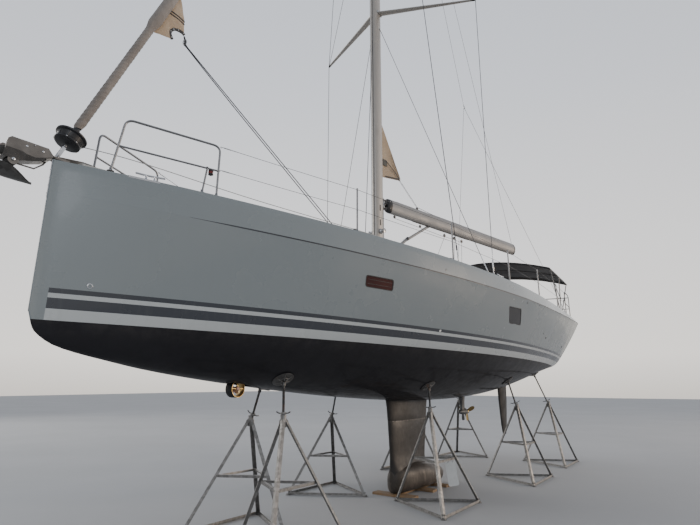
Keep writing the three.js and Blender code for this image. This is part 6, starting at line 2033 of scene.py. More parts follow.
# dark square sewn near the luff, tapes to the clew
main_bits.rings(
    [
        [clew_at(d, z, 0.012 + h) for d, z in ((0.04, 6.42), (0.17, 6.40), (0.165, 6.27), (0.045, 6.285))]
        for h in (0, 0.002)
    ],
    0
)
main_bits.rings(
    [
        [clew_at(d, z, -0.010 - h) for d, z in ((0.04, 6.42), (0.17, 6.40), (0.165, 6.27), (0.045, 6.285))]
        for h in (0, 0.002)
    ],
    0
)
for a, b in (((0.10, 6.04), (0.55, 6.105)), ((0.12, 6.40), (0.54, 6.12)), ((0.29, 6.58), (0.55, 6.135))):
    for w in (-1, 1):
        line = []
        for t in spread(0, 1, 7):
            d, z = a[0] + (b[0] - a[0]) * t, a[1] + (b[1] - a[1]) * t
            line.append((d, z))
        main_bits.rings(
            [
                [
                    clew_at(d, z - 0.012, w * (0.004 + 0.016 * math.sin(math.pi * min(max(d / 0.61, 0), 1)))),
                    clew_at(d, z + 0.012, w * (0.004 + 0.016 * math.sin(math.pi * min(max(d / 0.61, 0), 1)))),
                    clew_at(d, z + 0.012, w * (0.0055 + 0.016 * math.sin(math.pi * min(max(d / 0.61, 0), 1)))),
                    clew_at(d, z - 0.012, w * (0.0055 + 0.016 * math.sin(math.pi * min(max(d / 0.61, 0), 1))))
                ]
                for d, z in line
            ],
            2
        )
main_bits.object("mainsail_clew_fittings", [PATCH, BRUSHED, TAPE], slot="sailcloth", sharp=40)
for k, off in enumerate((-0.010, 0.010)):
    falls(f"outhaul_part_{k + 1}", ring_c + BOOM_SIDE * off, along(1.06, 0.21, off), 0.0035, ROPE_DARK, 10)


# Furled headsail: its outer turns, wound round the stay
STAY_TOP_S = MAST_S - MAST_FORE
STAY_BASE_Z = 3.971
SAIL_FOOT_Z, SAIL_HEAD_Z = 4.37, 18.05
ROLL = [
    (4.37, 0.040), (4.42, 0.054), (5.98, 0.055), (6.10, 0.079), (9.5, 0.072), (14.0, 0.050), (17.9, 0.024),
    (18.05, 0.010)
]
FOOT_PITCH, FOOT_LIP, FOOT_TOP_Z = 0.065, 0.0042, 6.02
STAY_DIR = (P(STAY_TOP_S, 0, HOUNDS_Z) - P(STAY_FOOT_S, 0, STAY_BASE_Z)).normalized()


def on_stay(z):
    return P(STAY_FOOT_S + (STAY_TOP_S - STAY_FOOT_S) * (z - STAY_BASE_Z) / (HOUNDS_Z - STAY_BASE_Z), 0, z)


def roll_radius(z):
    for (z0, r0), (z1, r1) in zip(ROLL, ROLL[1:]):
        if z <= z1:
            return r0 + (r1 - r0) * max(z - z0, 0) / (z1 - z0)
    return ROLL[-1][1]


TURNS, AROUND = 1.12, 54
levels = [
    4.37, 4.378, 4.39, 4.405, 4.42
] + spread(4.43, 6.0, 150) + spread(6.02, 6.16, 14) + spread(6.2, 9.0, 60) + spread(9.1, 17.9, 70) + [17.96, 18.0, 18.05]
pts, faces = [], []
for z in levels:
    c, r = on_stay(z), roll_radius(z)
    low = z < FOOT_TOP_Z
    for i in range(AROUND + 1):
        t = TAU * TURNS * i / AROUND - 0.7
        layer = 0.003 * (1 - i / AROUND)
        ring = r - 0.0035 - layer
        if low:
            # the foot's edge winds up the roll and lifts a lip at every turn
            turn = ((z - 4.40) / FOOT_PITCH - t / TAU) % 1.0
            ring += FOOT_LIP * (1 - turn) ** 1.6 - 0.0018
        else:
            # long creases drawn towards the clew, and the slow spiral of the panels' seams
            pull = max(0.0, 1 - (z - FOOT_TOP_Z) / 1.4)
            ring += 0.0022 * math.sin(3 * t + 2.2 * z) * (0.35 + pull) + 0.0011 * math.sin(7 * t - 5.0 * z) * pull
            ring -= 0.0014 * math.exp(-(((z / 0.92 + 0.25 * t / TAU) % 1.0 - 0.5) / 0.02) ** 2)
        ring += 0.0006 * math.sin(5 * t + 31 * z)
        pts.append(c + Vector((ring * math.cos(t), ring * math.sin(t), 0)))
for j in range(len(levels) - 1):
    for i in range(AROUND):
        k = j * (AROUND + 1) + i
        faces.append((k, k + 1, k + AROUND + 2, k + AROUND + 1))
roll_shape = Shape().add(pts, faces)
roll_o = roll_shape.object("headsail_roll_cloth", [SAIL_ROLL], slot="sailcloth", replaces="headsail", sharp=180)
ROLL_LENGTH = (on_stay(SAIL_HEAD_Z) - on_stay(SAIL_FOOT_Z)).length
girth = sum(
    (roll_radius(a) + roll_radius(b) - 0.007) / 2 * (b - a) for a, b in zip(levels, levels[1:])
) / (SAIL_HEAD_Z - SAIL_FOOT_Z) * TAU * TURNS

stay = Shape()
stay.tube([on_stay(17.95), on_stay(18.0), on_stay(18.47)], [0.022, 0.016, 0.016], 16, 0)
stay.tube([on_stay(18.02), on_stay(18.03), on_stay(18.14), on_stay(18.15)], [0.026, 0.032, 0.032, 0.024], 20, 1)
# foil up the middle of the sail's start, hidden but at its ends
stay.tube([on_stay(4.34), on_stay(4.40)], 0.022, 16, 0)
stay.object("headstay_top_fittings", [BRUSHED, BLACK], slot="stainless", sharp=40)

# Clew: golden-brown cloth with a dark crescent and its eyelets
LEFT = [(0.800, 5.985), (0.860, 6.110), (0.960, 6.340), (1.030, 6.520), (1.090, 6.700)]
RIGHT = [
    (0.845, 5.976), (1.093, 6.044), (1.059, 6.106), (1.082, 6.158), (1.122, 6.194), (1.202, 6.209), (1.240, 6.194),
    (1.230, 6.330), (1.228, 6.404), (1.156, 6.676), (1.090, 6.700)
]


def by_length(line, n):
    """A line cut into n equal steps of its length."""
    pts = [Vector((*p, 0)) for p in line]
    total = sum((b - a).length for a, b in zip(pts, pts[1:]))
    out, i, at = [pts[0]], 0, 0.0
    for k in range(1, n):
        want = total * k / n
        while at + (pts[i + 1] - pts[i]).length < want:
            at += (pts[i + 1] - pts[i]).length
            i += 1
        out.append(pts[i].lerp(pts[i + 1], (want - at) / (pts[i + 1] - pts[i]).length))
    return out + [pts[-1]]


left, right = by_length(LEFT, 44), by_length(RIGHT, 44)
cols = 15
pts, faces = [], []
for j, (a, b) in enumerate(zip(left, right)):
    for i in range(cols):
        u = i / (cols - 1)
        p = a.lerp(b, u)
        wave = 0.012 * math.sin(math.pi * u) * math.sin(j / 44 * math.pi) + 0.0022 * math.sin(j * 0.9 + u * 5) * u
        pts.append(P(p.x, wave, p.y))
for j in range(44):
    for i in range(cols - 1):
        k = j * cols + i
        faces.append((k, k + 1, k + cols + 1, k + cols))
clew = Shape().add(pts, faces)
clew_o = clew.object("headsail_clew_cloth_sheet", [CLEW_CLOTH], slot="sailcloth", replaces="headsail_clew", sharp=180)
bits = Shape()
crescent = [(1.240, 6.194), (1.202, 6.209), (1.122, 6.194), (1.082, 6.158), (1.059, 6.106), (1.093, 6.044)]
line = smooth_line([Vector((s, z, 0)) for s, z in crescent], 5)
# bound edge of the crescent with its webbing and eyelets
for w in (-1, 1):
    rings = []
    for k, p in enumerate(line):
        d = (line[min(k + 1, len(line) - 1)] - line[max(k - 1, 0)]).normalized()
        nrm = Vector((d.y, -d.x, 0))
        nrm = nrm if nrm.x < 0 or nrm.y > 0 else -nrm
        a, b = p - nrm * 0.004, p + nrm * 0.030
        rings.append(
            [P(a.x, w * 0.006, a.y), P(b.x, w * 0.006, b.y), P(b.x, w * 0.008, b.y), P(a.x, w * 0.0085, a.y)]
        )
    bits.rings(rings, 0)
    for k in range(3, len(line) - 2, 5):
        p = line[k]
        d = (line[k + 1] - line[k - 1]).normalized()
        nrm = Vector((d.y, -d.x, 0))
        nrm = nrm if nrm.x < 0 or nrm.y > 0 else -nrm
        c = p + nrm * 0.014
        bits.lathe(
            [(0.0035, 0), (0.004, 0.0022), (0.0068, 0.0026), (0.0075, 0.001), (0.0075, 0)], P(c.x, w * 0.0082, c.y),
            (0, w, 0), 12, 1
        )
# whipped thimble at the clew's point, strap round the sail above it
eye = P(1.262, 0, 6.110)
bits.tube(
    [
        eye + Vector((-0.036 * math.sin(t) * 0.6 - 0.010 * math.cos(t), 0, 0.045 * math.cos(t)))
        for t in (TAU * k / 20 for k in range(20))
    ],
    0.0065, 10, 2, closed=True
)
bits.tube([P(1.245, 0, 6.185), P(1.262, 0, 6.14), P(1.268, 0, 6.075)], [0.010, 0.013, 0.010], 12, 3)
for z0, w0 in ((6.345, 0.0), (6.385, 0.0)):
    strip = []
    for t in spread(0, 1, 12):
        s = 0.955 + (1.232 - 0.955) * t
        strip.append(
            [
                P(s, w * (0.012 * math.sin(math.pi * t) + 0.004), z0 + dz + 0.02 * (1 - t)) for w in (1, -1)
                for dz in ((0, 0.016) if w > 0 else (0.016, 0))
            ]
        )
    bits.rings(strip, 3)
bits.object("headsail_clew_fittings", [TAPE, SIGN, BRUSHED, BLACK], slot="sailcloth", sharp=40)

# Headsail sheets: both from the clew to blocks on the port fore end of the coachroof, past the hatch
JIB_SHEET = [(1.268, 0.0, 6.075), (2.018, 0.12, 5.557), (3.806, 0.40, 4.338), (4.30, 0.478, 4.01)]
JIB_BLOCK_S, JIB_BLOCK_Y = 4.33, 0.48
sheets = Shape()
for w in (-1, 1):
    line = [P(s, y + w * (0.006 + 0.010 * k), z - 0.012 * k) for k, (s, y, z) in enumerate(JIB_SHEET)]
    sheets.tube(smooth_line(line, 6), 0.0068, 10, 1)
    # from the block along the roof to the cockpit's clutches
    path = [(4.36, 0.48, -0.043), (5.3, 0.52, -0.022), (6.6, 0.56, -0.012), (7.9, 0.62, -0.012), (8.62, 0.62, -0.008)]
    sheets.tube(smooth_line([P(s, y + w * 0.03, roof_top(s) + h) for s, y, h in path], 8), 0.0058, 10, 1)
sheets.tube([P(1.262, 0, 6.10), P(1.268, 0, 6.075), P(1.30, 0, 6.06)], [0.013, 0.017, 0.012], 12, 1)
sheets.object("headsail_sheets", [ROPE_WHITE, ROPE_DARK], slot="canvas_black", sharp=60)
jib_block = Shape()
for w in (-1, 1):
    y = JIB_BLOCK_Y + w * 0.036
    block(
        jib_block, P(JIB_BLOCK_S, y, roof_top(JIB_BLOCK_S) - 0.007), (0.25, 1, 0), 0.034, 0.013, 0, 1,
        P(JIB_BLOCK_S, y, roof_top(JIB_BLOCK_S) - 0.052)
    )
jib_block.box(
    P(JIB_BLOCK_S - 0.04, JIB_BLOCK_Y - 0.07, roof_top(JIB_BLOCK_S) - 0.085),
    P(JIB_BLOCK_S + 0.04, JIB_BLOCK_Y + 0.06, roof_top(JIB_BLOCK_S) - 0.048), 1, 0.004
)
jib_block.object("headsail_blocks", [BLACK, BRUSHED], slot="black_plastic", sharp=38)

# Furling drum: closed black housing, its bolts and line guide, toggles down to the stem
DRUM_Z = 4.168
DRUM_PROFILE = [
    (0.030, -0.004), (0.060, 0.0), (0.118, 0.004), (0.125, 0.010), (0.125, 0.024), (0.119, 0.030), (0.116, 0.036),
    (0.121, 0.058), (0.128, 0.084), (0.136, 0.089), (0.148, 0.093), (0.150, 0.097), (0.150, 0.109), (0.147, 0.112),
    (0.100, 0.117), (0.062, 0.124), (0.040, 0.126)
]
drum = Shape()
centre = on_stay(DRUM_Z)
drum.lathe(DRUM_PROFILE, centre, STAY_DIR, 48, 0)
e = STAY_DIR.cross(Vector((0, 1, 0))).normalized()
g = STAY_DIR.cross(e)
for k in range(8):
    t = TAU * (k + 0.35) / 8
    out = e * math.cos(t) + g * math.sin(t)
    drum.lathe(
        [(0.008, 0), (0.008, 0.004), (0.005, 0.0065), (0.002, 0.007)], centre + out * 0.1245 + STAY_DIR * 0.0165, out,
        12, 1
    )
    screw_head(drum, centre + out * 0.132 + STAY_DIR * 0.1108, STAY_DIR, 0.0065, 1)
    # ribs of the housing between its rims
    drum.beam(
        centre + out * 0.1165 + STAY_DIR * 0.034, centre + out * 0.1275 + STAY_DIR * 0.086, 0.010, 0.006, 0, up=out,
        c=0.0015
    )
guide = centre - e * 0.02 + g * 0.148 + STAY_DIR * 0.066
drum.tube([centre + g * 0.112 + STAY_DIR * 0.05, guide], 0.012, 14, 0)
drum.tube(
    [guide + STAY_DIR * (0.014 * math.cos(t)) + e * (0.014 * math.sin(t)) for t in (TAU * k / 16 for k in range(16))],
    0.0045, 8, 1, closed=True
)
# sleeve up to the sail, tack shackle, link plates and clevis pins under the drum
drum.tube([on_stay(4.262), on_stay(4.27), on_stay(4.355), on_stay(4.3695)], [0.040, 0.036, 0.034, 0.030], 24, 0)
drum.tube([on_stay(4.29), on_stay(4.294), on_stay(4.306), on_stay(4.31)], [0.036, 0.0395, 0.0395, 0.036], 24, 1)
drum.tube([on_stay(3.994), on_stay(4.165)], 0.0125, 16, 2)
for w in (-1, 1):
    a, b = on_stay(4.005) + Vector((0, w * 0.020, 0)), on_stay(4.150) + Vector((0, w * 0.020, 0))
    drum.beam(a, b, 0.005, 0.034, 2, up=e, c=0.0015)
for z in (4.020, 4.140):
    drum.lathe([(0.011, -0.029), (0.0115, -0.024), (0.0115, 0.024), (0.011, 0.029)], on_stay(z), (0, 1, 0), 16, 1)
drum.object("furler_housing", [BLACK, BRUSHED, STEEL], slot="black_plastic", replaces="furler_drum", sharp=34)

# Furling line: from the drum along the port rail's feet
furl = Shape()
lead = on_deck(3.30, rail_in(3.30) - 0.055, 0.055)
path = [guide, P(0.62, 0.30, 4.125), P(1.9, 0.72, 4.02), lead]
furl.tube(smooth_line(path, 8), 0.0048, 8, 0)
line = [lead]
for s in (5.31, 7.31, 9.16, 11.05):
    line.append(on_deck(s, rail_in(s) - 0.045, 0.05))
furl.tube(line, 0.0048, 8, 0)
for s in (3.30, 5.31, 7.31, 9.16):
    block(
        furl, on_deck(s, rail_in(s) - 0.045, 0.05), (0.1, 0.2, 1), 0.020, 0.009, 1, 2,
        on_deck(s, rail_in(s) - 0.008, 0.05)
    )
furl.object("furling_line", [ROPE_WHITE, BLACK, BRUSHED], slot="canvas_black", sharp=50)


# Shrouds and stays
WIRE_CAP, WIRE_LOW, WIRE_BACK = 0.0062, 0.0055, 0.0046


def turnbuckle(shape, foot, towards, r=0.013, length=0.30):
    """Toggle, screw and barrel of a wire's lower end."""
    d = (towards - foot).normalized()
    e = d.cross(Vector((1, 0, 0))).normalized()
    for w in (-1, 1):
        shape.beam(
            foot + e * (w * 0.011) - d * 0.004, foot + e * (w * 0.011) + d * 0.052, 0.004, 0.024, 1, up=(1, 0, 0),
            c=0.001
        )
    shape.tube([foot + e * x for x in (-0.018, 0.018)], 0.0065, 12, 1)
    shape.tube([foot + e * x + d * 0.045 for x in (-0.017, 0.017)], 0.006, 12, 1)
    shape.tube([foot + d * x for x in (0.05, 0.10)], r * 0.55, 12, 1)
    shape.tube(
        [foot + d * x for x in (0.085, 0.092, length - 0.012, length - 0.005)], [r * 0.75, r, r, r * 0.75], 16, 1
    )
    shape.tube([foot + d * x for x in (length - 0.01, length + 0.05)], r * 0.5, 12, 1)
    shape.tube(
        [foot + d * x for x in (length + 0.045, length + 0.055, length + 0.14, length + 0.155)],
        [r * 0.5, r * 0.62, r * 0.62, r * 0.42], 12, 1
    )


for side, q in SIDES:
    rod_low = P(CHAIN_S, q * (sheer_half(CHAIN_S) - CHAIN_IN), deck_z(CHAIN_S, 1.99) + 0.002)
    tips = [P(MAST_S + row["sweep"], q * (row["reach"] + row["off"]), row["z"]) for row in SPREADERS.values()]
    top = P(MAST_S + 0.04, q * (MAST_SIDE - 0.004), HOUNDS_Z - 0.03)
    shroud = Shape()
    path = [rod_low + Vector((0, 0, 0.05))] + tips + [top]
    shroud.tube(path, WIRE_CAP, 10, 0)
    turnbuckle(shroud, rod_low + Vector((0, 0, 0.028)), tips[0])
    # lower and intermediate diagonals
    roots = [P(MAST_S + 0.03, q * (MAST_SIDE - 0.003), row["z"] - 0.38) for row in SPREADERS.values()]
    low_foot = P(CHAIN_S + 0.005, q * (sheer_half(CHAIN_S) - CHAIN_IN - 0.075), deck_z(CHAIN_S, 1.92) + 0.030)
    shroud.tube([low_foot, roots[0]], WIRE_LOW, 10, 0)
    turnbuckle(shroud, low_foot, roots[0], 0.012, 0.26)
    shroud.tube([tips[0] + Vector((0, -q * 0.012, 0.02)), roots[1]], WIRE_LOW, 10, 0)
    for r in roots:
        shroud.lathe([(0.020, -0.010), (0.024, 0.0), (0.020, 0.006), (0.008, 0.016)], r, (0, q, 0), 16, 1)
    # chainplate through the deck
    for f in (rod_low, low_foot - Vector((0, 0, 0.028))):
        shroud.box(f + Vector((-0.045, -0.018, -0.0015)), f + Vector((0.045, 0.018, 0.004)), 1, 0.002)
        shroud.box(f + Vector((-0.017, -0.0045, 0)), f + Vector((0.017, 0.0045, 0.042)), 1, 0.003)
    shroud.object(f"shrouds_{side}", [WIRE, STEEL], slot="stainless", replaces=f"cap_shroud_{side}", sharp=40)


def back_at(z, y=0.0):
    return P(BACK_TOP_S + (BACK_FOOT_S - 0.05 - BACK_TOP_S + 0.05) * (MAST_TOP - z) / (MAST_TOP - 3.79), y, z)


back = Shape()
back.tube([back_at(MAST_TOP - 0.052), back_at(SPLIT_Z)], WIRE_BACK, 10, 0)
split = back_at(SPLIT_Z)
d = (back_at(SPLIT_Z + 1) - split).normalized()
back.lathe(
    [(0.006, -0.05), (0.020, -0.042), (0.024, -0.020), (0.024, 0.020), (0.014, 0.040), (0.006, 0.075)], split, d, 20,
    1
)
back.tube([split + d * x for x in (0.06, 0.07, 0.20, 0.21)], [0.0045, 0.0075, 0.0075, 0.0045], 12, 1)
for q in (1, -1):
    foot = P(13.40, q * BACK_FOOT_Y, deck_z(13.40, BACK_FOOT_Y) + 0.028)
    back.tube([split + Vector((0, q * 0.010, -0.03)), foot], WIRE_BACK, 10, 0)
    turnbuckle(back, foot, split, 0.012, 0.30)
    back.box(foot + Vector((-0.04, -0.016, -0.029)), foot + Vector((0.04, 0.016, -0.024)), 1, 0.002)
    back.box(foot + Vector((-0.015, -0.004, -0.025)), foot + Vector((0.015, 0.004, 0.012)), 1, 0.002)
back.object("backstay_wires", [WIRE, STEEL], slot="stainless", replaces="backstay", sharp=40)

# Halyards and the topping lift, close to the mast. Columns: top s, top z, low s, low y, low z, radius, rope
HALYARDS = [(5.665, 18.6, 5.675, 0.030, 4.30, 0.0050, 0), (5.665, 18.7, 5.672, -0.030, 4.30, 0.0050, 1)]
halyards = Shape()
for s0, z0, s1, y1, z1, r, k in HALYARDS:
    halyards.tube([P(s0, y1 * 0.8, z0), P(s1, y1, z1)], r, 8, k)
# one from the masthead made off to the port rail, one from under the low spreaders to the coachroof's fore end
SPARE_HALYARDS = [
    (P(6.0, 0.10, 21.11), on_deck(5.65, 1.70, 0.03), 0.0072),
    (P(5.692, 0.02, 9.19), P(4.93, 0.29, roof_top(4.93) + 0.012), 0.006)
]
for top, foot, r in SPARE_HALYARDS:
    d = (top - foot).normalized()
    halyards.tube([top, foot + d * 0.26], r, 8, 0)
    halyards.tube([foot + d * x for x in (0.24, 0.25, 0.33, 0.35)], [r, r * 1.9, r * 1.7, r], 10, 0)
    halyards.tube([foot + d * x for x in (0.035, 0.05, 0.19, 0.24)], [0.006, 0.009, 0.010, 0.006], 12, 2)
    halyards.tube(
        [
            foot + Vector((0, y, z)) for y,
            z in ((-0.02, -0.012), (-0.018, 0.02), (0, 0.036), (0.018, 0.02), (0.02, -0.012))
        ],
        0.005, 10, 2
    )
    halyards.lathe([(0.030, -0.032), (0.034, -0.030), (0.034, -0.022), (0.028, -0.018)], foot, (0, 0, 1), 20, 2)
halyards.object("halyards", [ROPE_DARK, ROPE_WHITE, BRUSHED], slot="canvas_black", sharp=60)
falls("topping_lift", P(6.03, 0.0, 21.13), on_boom(BOOM_LENGTH - 0.04, 1, -0.01), 0.0042, WIRE, 18)


# Bimini: three tube bows and one sheet of black canvas over them
BIMINI = dict(s0=11.04, s1=12.86, half=1.90, edge=4.87, crown=0.375, fall=0.11, power=1.85)
BOW_PLACES = [(11.10, 12.33), (11.95, 12.36), (12.80, 12.39)]   # s of the bow, s of its feet
BOW_DROP, LEG_Y = 0.0231, 1.79


def canopy_z(u, s):
    b = BIMINI
    return b["edge"] - b["fall"] * (s - b["s0"]) / (b["s1"] - b["s0"]) + b["crown"] * (1 - abs(u) ** b["power"])


frame_tubes = Shape()
for s, foot_s in BOW_PLACES:
    arch = [P(s, u * BIMINI["half"], canopy_z(u, s) - BOW_DROP) for u in spread(-0.985, 0.985, 41)]
    ends = [P(s, q * BIMINI["half"], canopy_z(1, s) - BOW_DROP - 0.02) for q in (-1, 1)]
    feet = [on_deck(foot_s, q * LEG_Y, 0.02) for q in (-1, 1)]
    frame_tubes.tube(
        [feet[0]] + [feet[0].lerp(ends[0], 0.96), ends[0]] + arch + [ends[1], feet[1].lerp(ends[1], 0.96), feet[1]],
        TUBE_R, 14
    )
for q in (1, -1):
    frame_tubes.tube([on_deck(12.30, q * LEG_Y, 0.002), on_deck(12.42, q * LEG_Y, 0.002)], 0.018, 14)
    for s, foot_s in BOW_PLACES:
        foot = on_deck(foot_s, q * LEG_Y, 0.02)
        top = P(s, q * BIMINI["half"], canopy_z(1, s) - BOW_DROP)
        d = (top - foot).normalized()
        # hinge knuckle at the foot, jaw slide part way up
        frame_tubes.tube([foot + d * x for x in (-0.004, 0.0, 0.05, 0.055)], [0.012, 0.0158, 0.0158, 0.0125], 14, 1)
        frame_tubes.tube(
            [foot.lerp(top, 0.45) + d * x for x in (-0.028, -0.025, 0.025, 0.028)], [0.0125, 0.0165, 0.0165, 0.0125],
            14, 1
        )
    # stay from the middle bow's leg to the front bow
    a = on_deck(BOW_PLACES[1][1], q * LEG_Y, 0.02).lerp(
        P(BOW_PLACES[1][0], q * BIMINI["half"], canopy_z(1, BOW_PLACES[1][0]) - BOW_DROP), 0.45
    )
    b = on_deck(BOW_PLACES[0][1], q * LEG_Y, 0.02).lerp(
        P(BOW_PLACES[0][0], q * BIMINI["half"], canopy_z(1, BOW_PLACES[0][0]) - BOW_DROP), 0.78
    )
    frame_tubes.tube([a, b], 0.0095, 12)
    foot_flange(frame_tubes, 12.30, q * LEG_Y, 0, 0.030)
frame_tubes.object("bimini_tubes", [RAIL_STEEL, BLACK], slot="stainless", replaces="bimini_frame", sharp=40)

cols, rows = 61, 33
pts, faces = [], []
HEM = 0.05
for j in range(rows):
    v = j / (rows - 1)
    s = BIMINI["s0"] + 0.004 + (BIMINI["s1"] - BIMINI["s0"] - 0.008) * v
    # the cloth sags between the bows and is drawn tight over them
    near = min(abs(s - bow_s) for bow_s, _ in BOW_PLACES)
    sag = 0.016 * (1 - math.exp(-((near / 0.16) ** 2)))
    for i in range(cols):
        u = -1 + 2 * i / (cols - 1)
        lift = -0.0048 - sag * (1 - abs(u) ** 3) + 0.0016 * math.sin(9 * u + 14 * v) * (sag / 0.016)
        pts.append(P(s, u * (BIMINI["half"] - 0.002), canopy_z(u, s) + lift))
faces = [
    (j * cols + i, j * cols + i + 1, (j + 1) * cols + i + 1, (j + 1) * cols + i) for j in range(rows - 1)
    for i in range(cols - 1)
]
# valance along both sides and both ends, turned down over the frame
def edge_line():
    ring = [(0, i) for i in range(cols)] + [(j, cols - 1) for j in range(1, rows)] + [
        (rows - 1, i) for i in range(cols - 2, -1, -1)
    ] + [(j, 0) for j in range(rows - 2, 0, -1)]
    return [j * cols + i for j, i in ring]


rim = edge_line()
last = rim
for depth, out in ((0.25, 0.006), (0.6, 0.009), (1.0, 0.007)):
    new = []
    for k, index in enumerate(rim):
        p = Vector(pts[index])
        c = P((BIMINI["s0"] + BIMINI["s1"]) / 2, 0, 0)
        away = Vector(
            (
                math.copysign(1, p.x - c.x) if index // cols in (0, rows - 1) else 0, math.copysign(1, p.y)
                if index % cols in (0, cols - 1) else 0, 0
            )
        )
        ripple = 0.004 * math.sin(k * 0.9) * depth
        new.append(len(pts))
        pts.append(p + away * (out + ripple) - Vector((0, 0, HEM * depth)))
    n = len(rim)
    faces += [(last[k], last[(k + 1) % n], new[(k + 1) % n], new[k]) for k in range(n)]
    last = new
canopy = Shape().add(pts, faces)
canopy_o = canopy.object("bimini_canvas", [CANVAS], slot="canvas_black", replaces="bimini_canopy", sharp=180)
ARC = sum(
    (Vector((0, (u1 - u0) * BIMINI["half"], canopy_z(u1, 12) - canopy_z(u0, 12)))).length for u0,
    u1 in zip(spread(-1, 1, 61), spread(-1, 1, 61)[1:])
)
seams = Shape()
for s, _ in BOW_PLACES:
    for side_s in (-0.045, 0.045):
        at = s + side_s
        if not BIMINI["s0"] + 0.01 < at < BIMINI["s1"] - 0.01:
            continue
        near = abs(side_s)
        sag = 0.016 * (1 - math.exp(-((near / 0.16) ** 2)))
        rings = []
        for u in spread(-0.985, 0.985, 51):
            z = canopy_z(u, at) - 0.0048 - sag * (1 - abs(u) ** 3)
            rings.append(
                [
                    P(at - 0.004, u * BIMINI["half"], z + 0.0004), P(at + 0.004, u * BIMINI["half"], z + 0.0004),
                    P(at + 0.002, u * BIMINI["half"], z + 0.0024), P(at - 0.002, u * BIMINI["half"], z + 0.0024)
                ]
            )
        seams.rings(rings)
seams.object("bimini_seams", [CANVAS], slot="canvas_black", sharp=60)

# Deck and coachroof stay as they are, with their own finishes
keep("deck", NONSKID)
keep("coachroof", GELCOAT)
for side, _ in SIDES:
    keep(f"window_{side}", GLASS)
keep("companionway_hatch", GLASS)
keep("washboard", GLASS)
keep("fore_hatch_lid", GLASS)
keep("cabin_hatch_lid", GLASS)
keep("anchor_locker_lid", NONSKID)


def roof_at(s, y):
    """Height of the coachroof's top at a place, by the sections it is drawn from."""
    w, h = lookup(ROOF, s, 1), lookup(ROOF, s, 2)
    shoulder = max(w - 0.42 * h - 0.030, w / 2)
    top = roof_top(s)
    y = abs(y)
    if y < shoulder / 2:
        return top - 0.015 * y / (shoulder / 2)
    return top - 0.015 - 0.045 * (y - shoulder / 2) / (shoulder / 2)


# Frames, handles and hinges of the hatch lids
def lid_frame(name, body, s0, s1, half, z, thick, slope=0.0, hinge_s=None):
    """An alloy frame round a smoked lid, its handles and hinges."""
    shape = Shape()
    def at(s, y, h): return P(s, y, z + thick + slope * (s - s0) + h)
    outer, inner = corner_outline(
        s0 + 0.001, s1 - 0.001, -half + 0.001, half - 0.001, 0.03, 6
    ), corner_outline(s0 + 0.028, s1 - 0.028, -half + 0.028, half - 0.028, 0.02, 6)
    rings = [
        [at(p[0], p[1], h) for p in o] for o,
        h in ((inner, 0.0002), (inner, 0.004), (outer, 0.0045), (outer, -thick * 0.5))
    ]
    shape.rings(rings, 0, closed=True)
    far = s1 - 0.05 if hinge_s == s0 else s0 + 0.05
    for y in (-half * 0.55, half * 0.55):
        shape.lathe(
            [(0.022, 0.0), (0.022, 0.006), (0.012, 0.010), (0.008, 0.012)], at(far, y, 0.002), (0, 0, 1), 20, 1
        )
        shape.beam(at(far, y - 0.008, 0.013), at(far, y + 0.045, 0.013), 0.014, 0.008, 1, c=0.003)
        near = s0 + 0.02 if hinge_s == s0 else s1 - 0.02
        shape.box(at(near - 0.018, y - 0.03, 0.0), at(near + 0.018, y + 0.03, 0.0085), 0, 0.003)
    shape.object(name, [BRUSHED, BLACK], body=body, slot="anodised", sharp=36)


lid_frame("fore_hatch_frame", "fore_hatch_lid", 2.45, 3.01, 0.28, deck_z(2.70, 0) + 0.038, 0.022, hinge_s=2.45)
slope = (roof_top(5.33) - roof_top(4.83)) / 0.50
lid_frame("cabin_hatch_frame", "cabin_hatch_lid", 4.83, 5.33, 0.25, roof_top(4.83) + 0.034, 0.024, slope, 4.83)
locker = Shape()
LOCKER_LID_Z = deck_z(0.95, 0) + 0.010
for y in (-0.12, 0.12):
    locker.box(P(1.50, y - 0.035, LOCKER_LID_Z + 0.0195), P(1.575, y + 0.035, LOCKER_LID_Z + 0.024), 0, 0.0015)
    for ds in (0.02, 0.055):
        screw_head(locker, P(1.50 + ds, y, LOCKER_LID_Z + 0.024), (0, 0, 1), 0.0045)
locker.lathe(
    [(0.026, 0.0), (0.026, 0.003), (0.020, 0.004), (0.012, 0.001)], P(1.02, 0, LOCKER_LID_Z + 0.0195), (0, 0, 1), 20
)
locker.object("anchor_lid_hinges", [STEEL], body="anchor_locker_lid", slot="stainless", sharp=36)

# Sliding hatch: its handle and stops. Slide rails are part of the roof
slide = Shape()
def slide_z(s): return roof_top(8.06) + (roof_top(8.925) - roof_top(8.06)) * (s - 8.06) / 0.865
slide.box(P(8.88, -0.12, slide_z(8.88) + 0.0375), P(8.905, 0.12, slide_z(8.88) + 0.056), 0, 0.005)
for y in (-0.33, 0.33):
    slide.rings(
        [
            [
                P(s, y - 0.012, slide_z(s) + 0.0378), P(s, y + 0.012, slide_z(s) + 0.0378),
                P(s, y + 0.009, slide_z(s) + 0.0425), P(s, y - 0.009, slide_z(s) + 0.0425)
            ]
            for s in (8.10, 8.90)
        ],
        0
    )
slide.object("companionway_handle", [BLACK], body="companionway_hatch", slot="black_plastic", sharp=36)

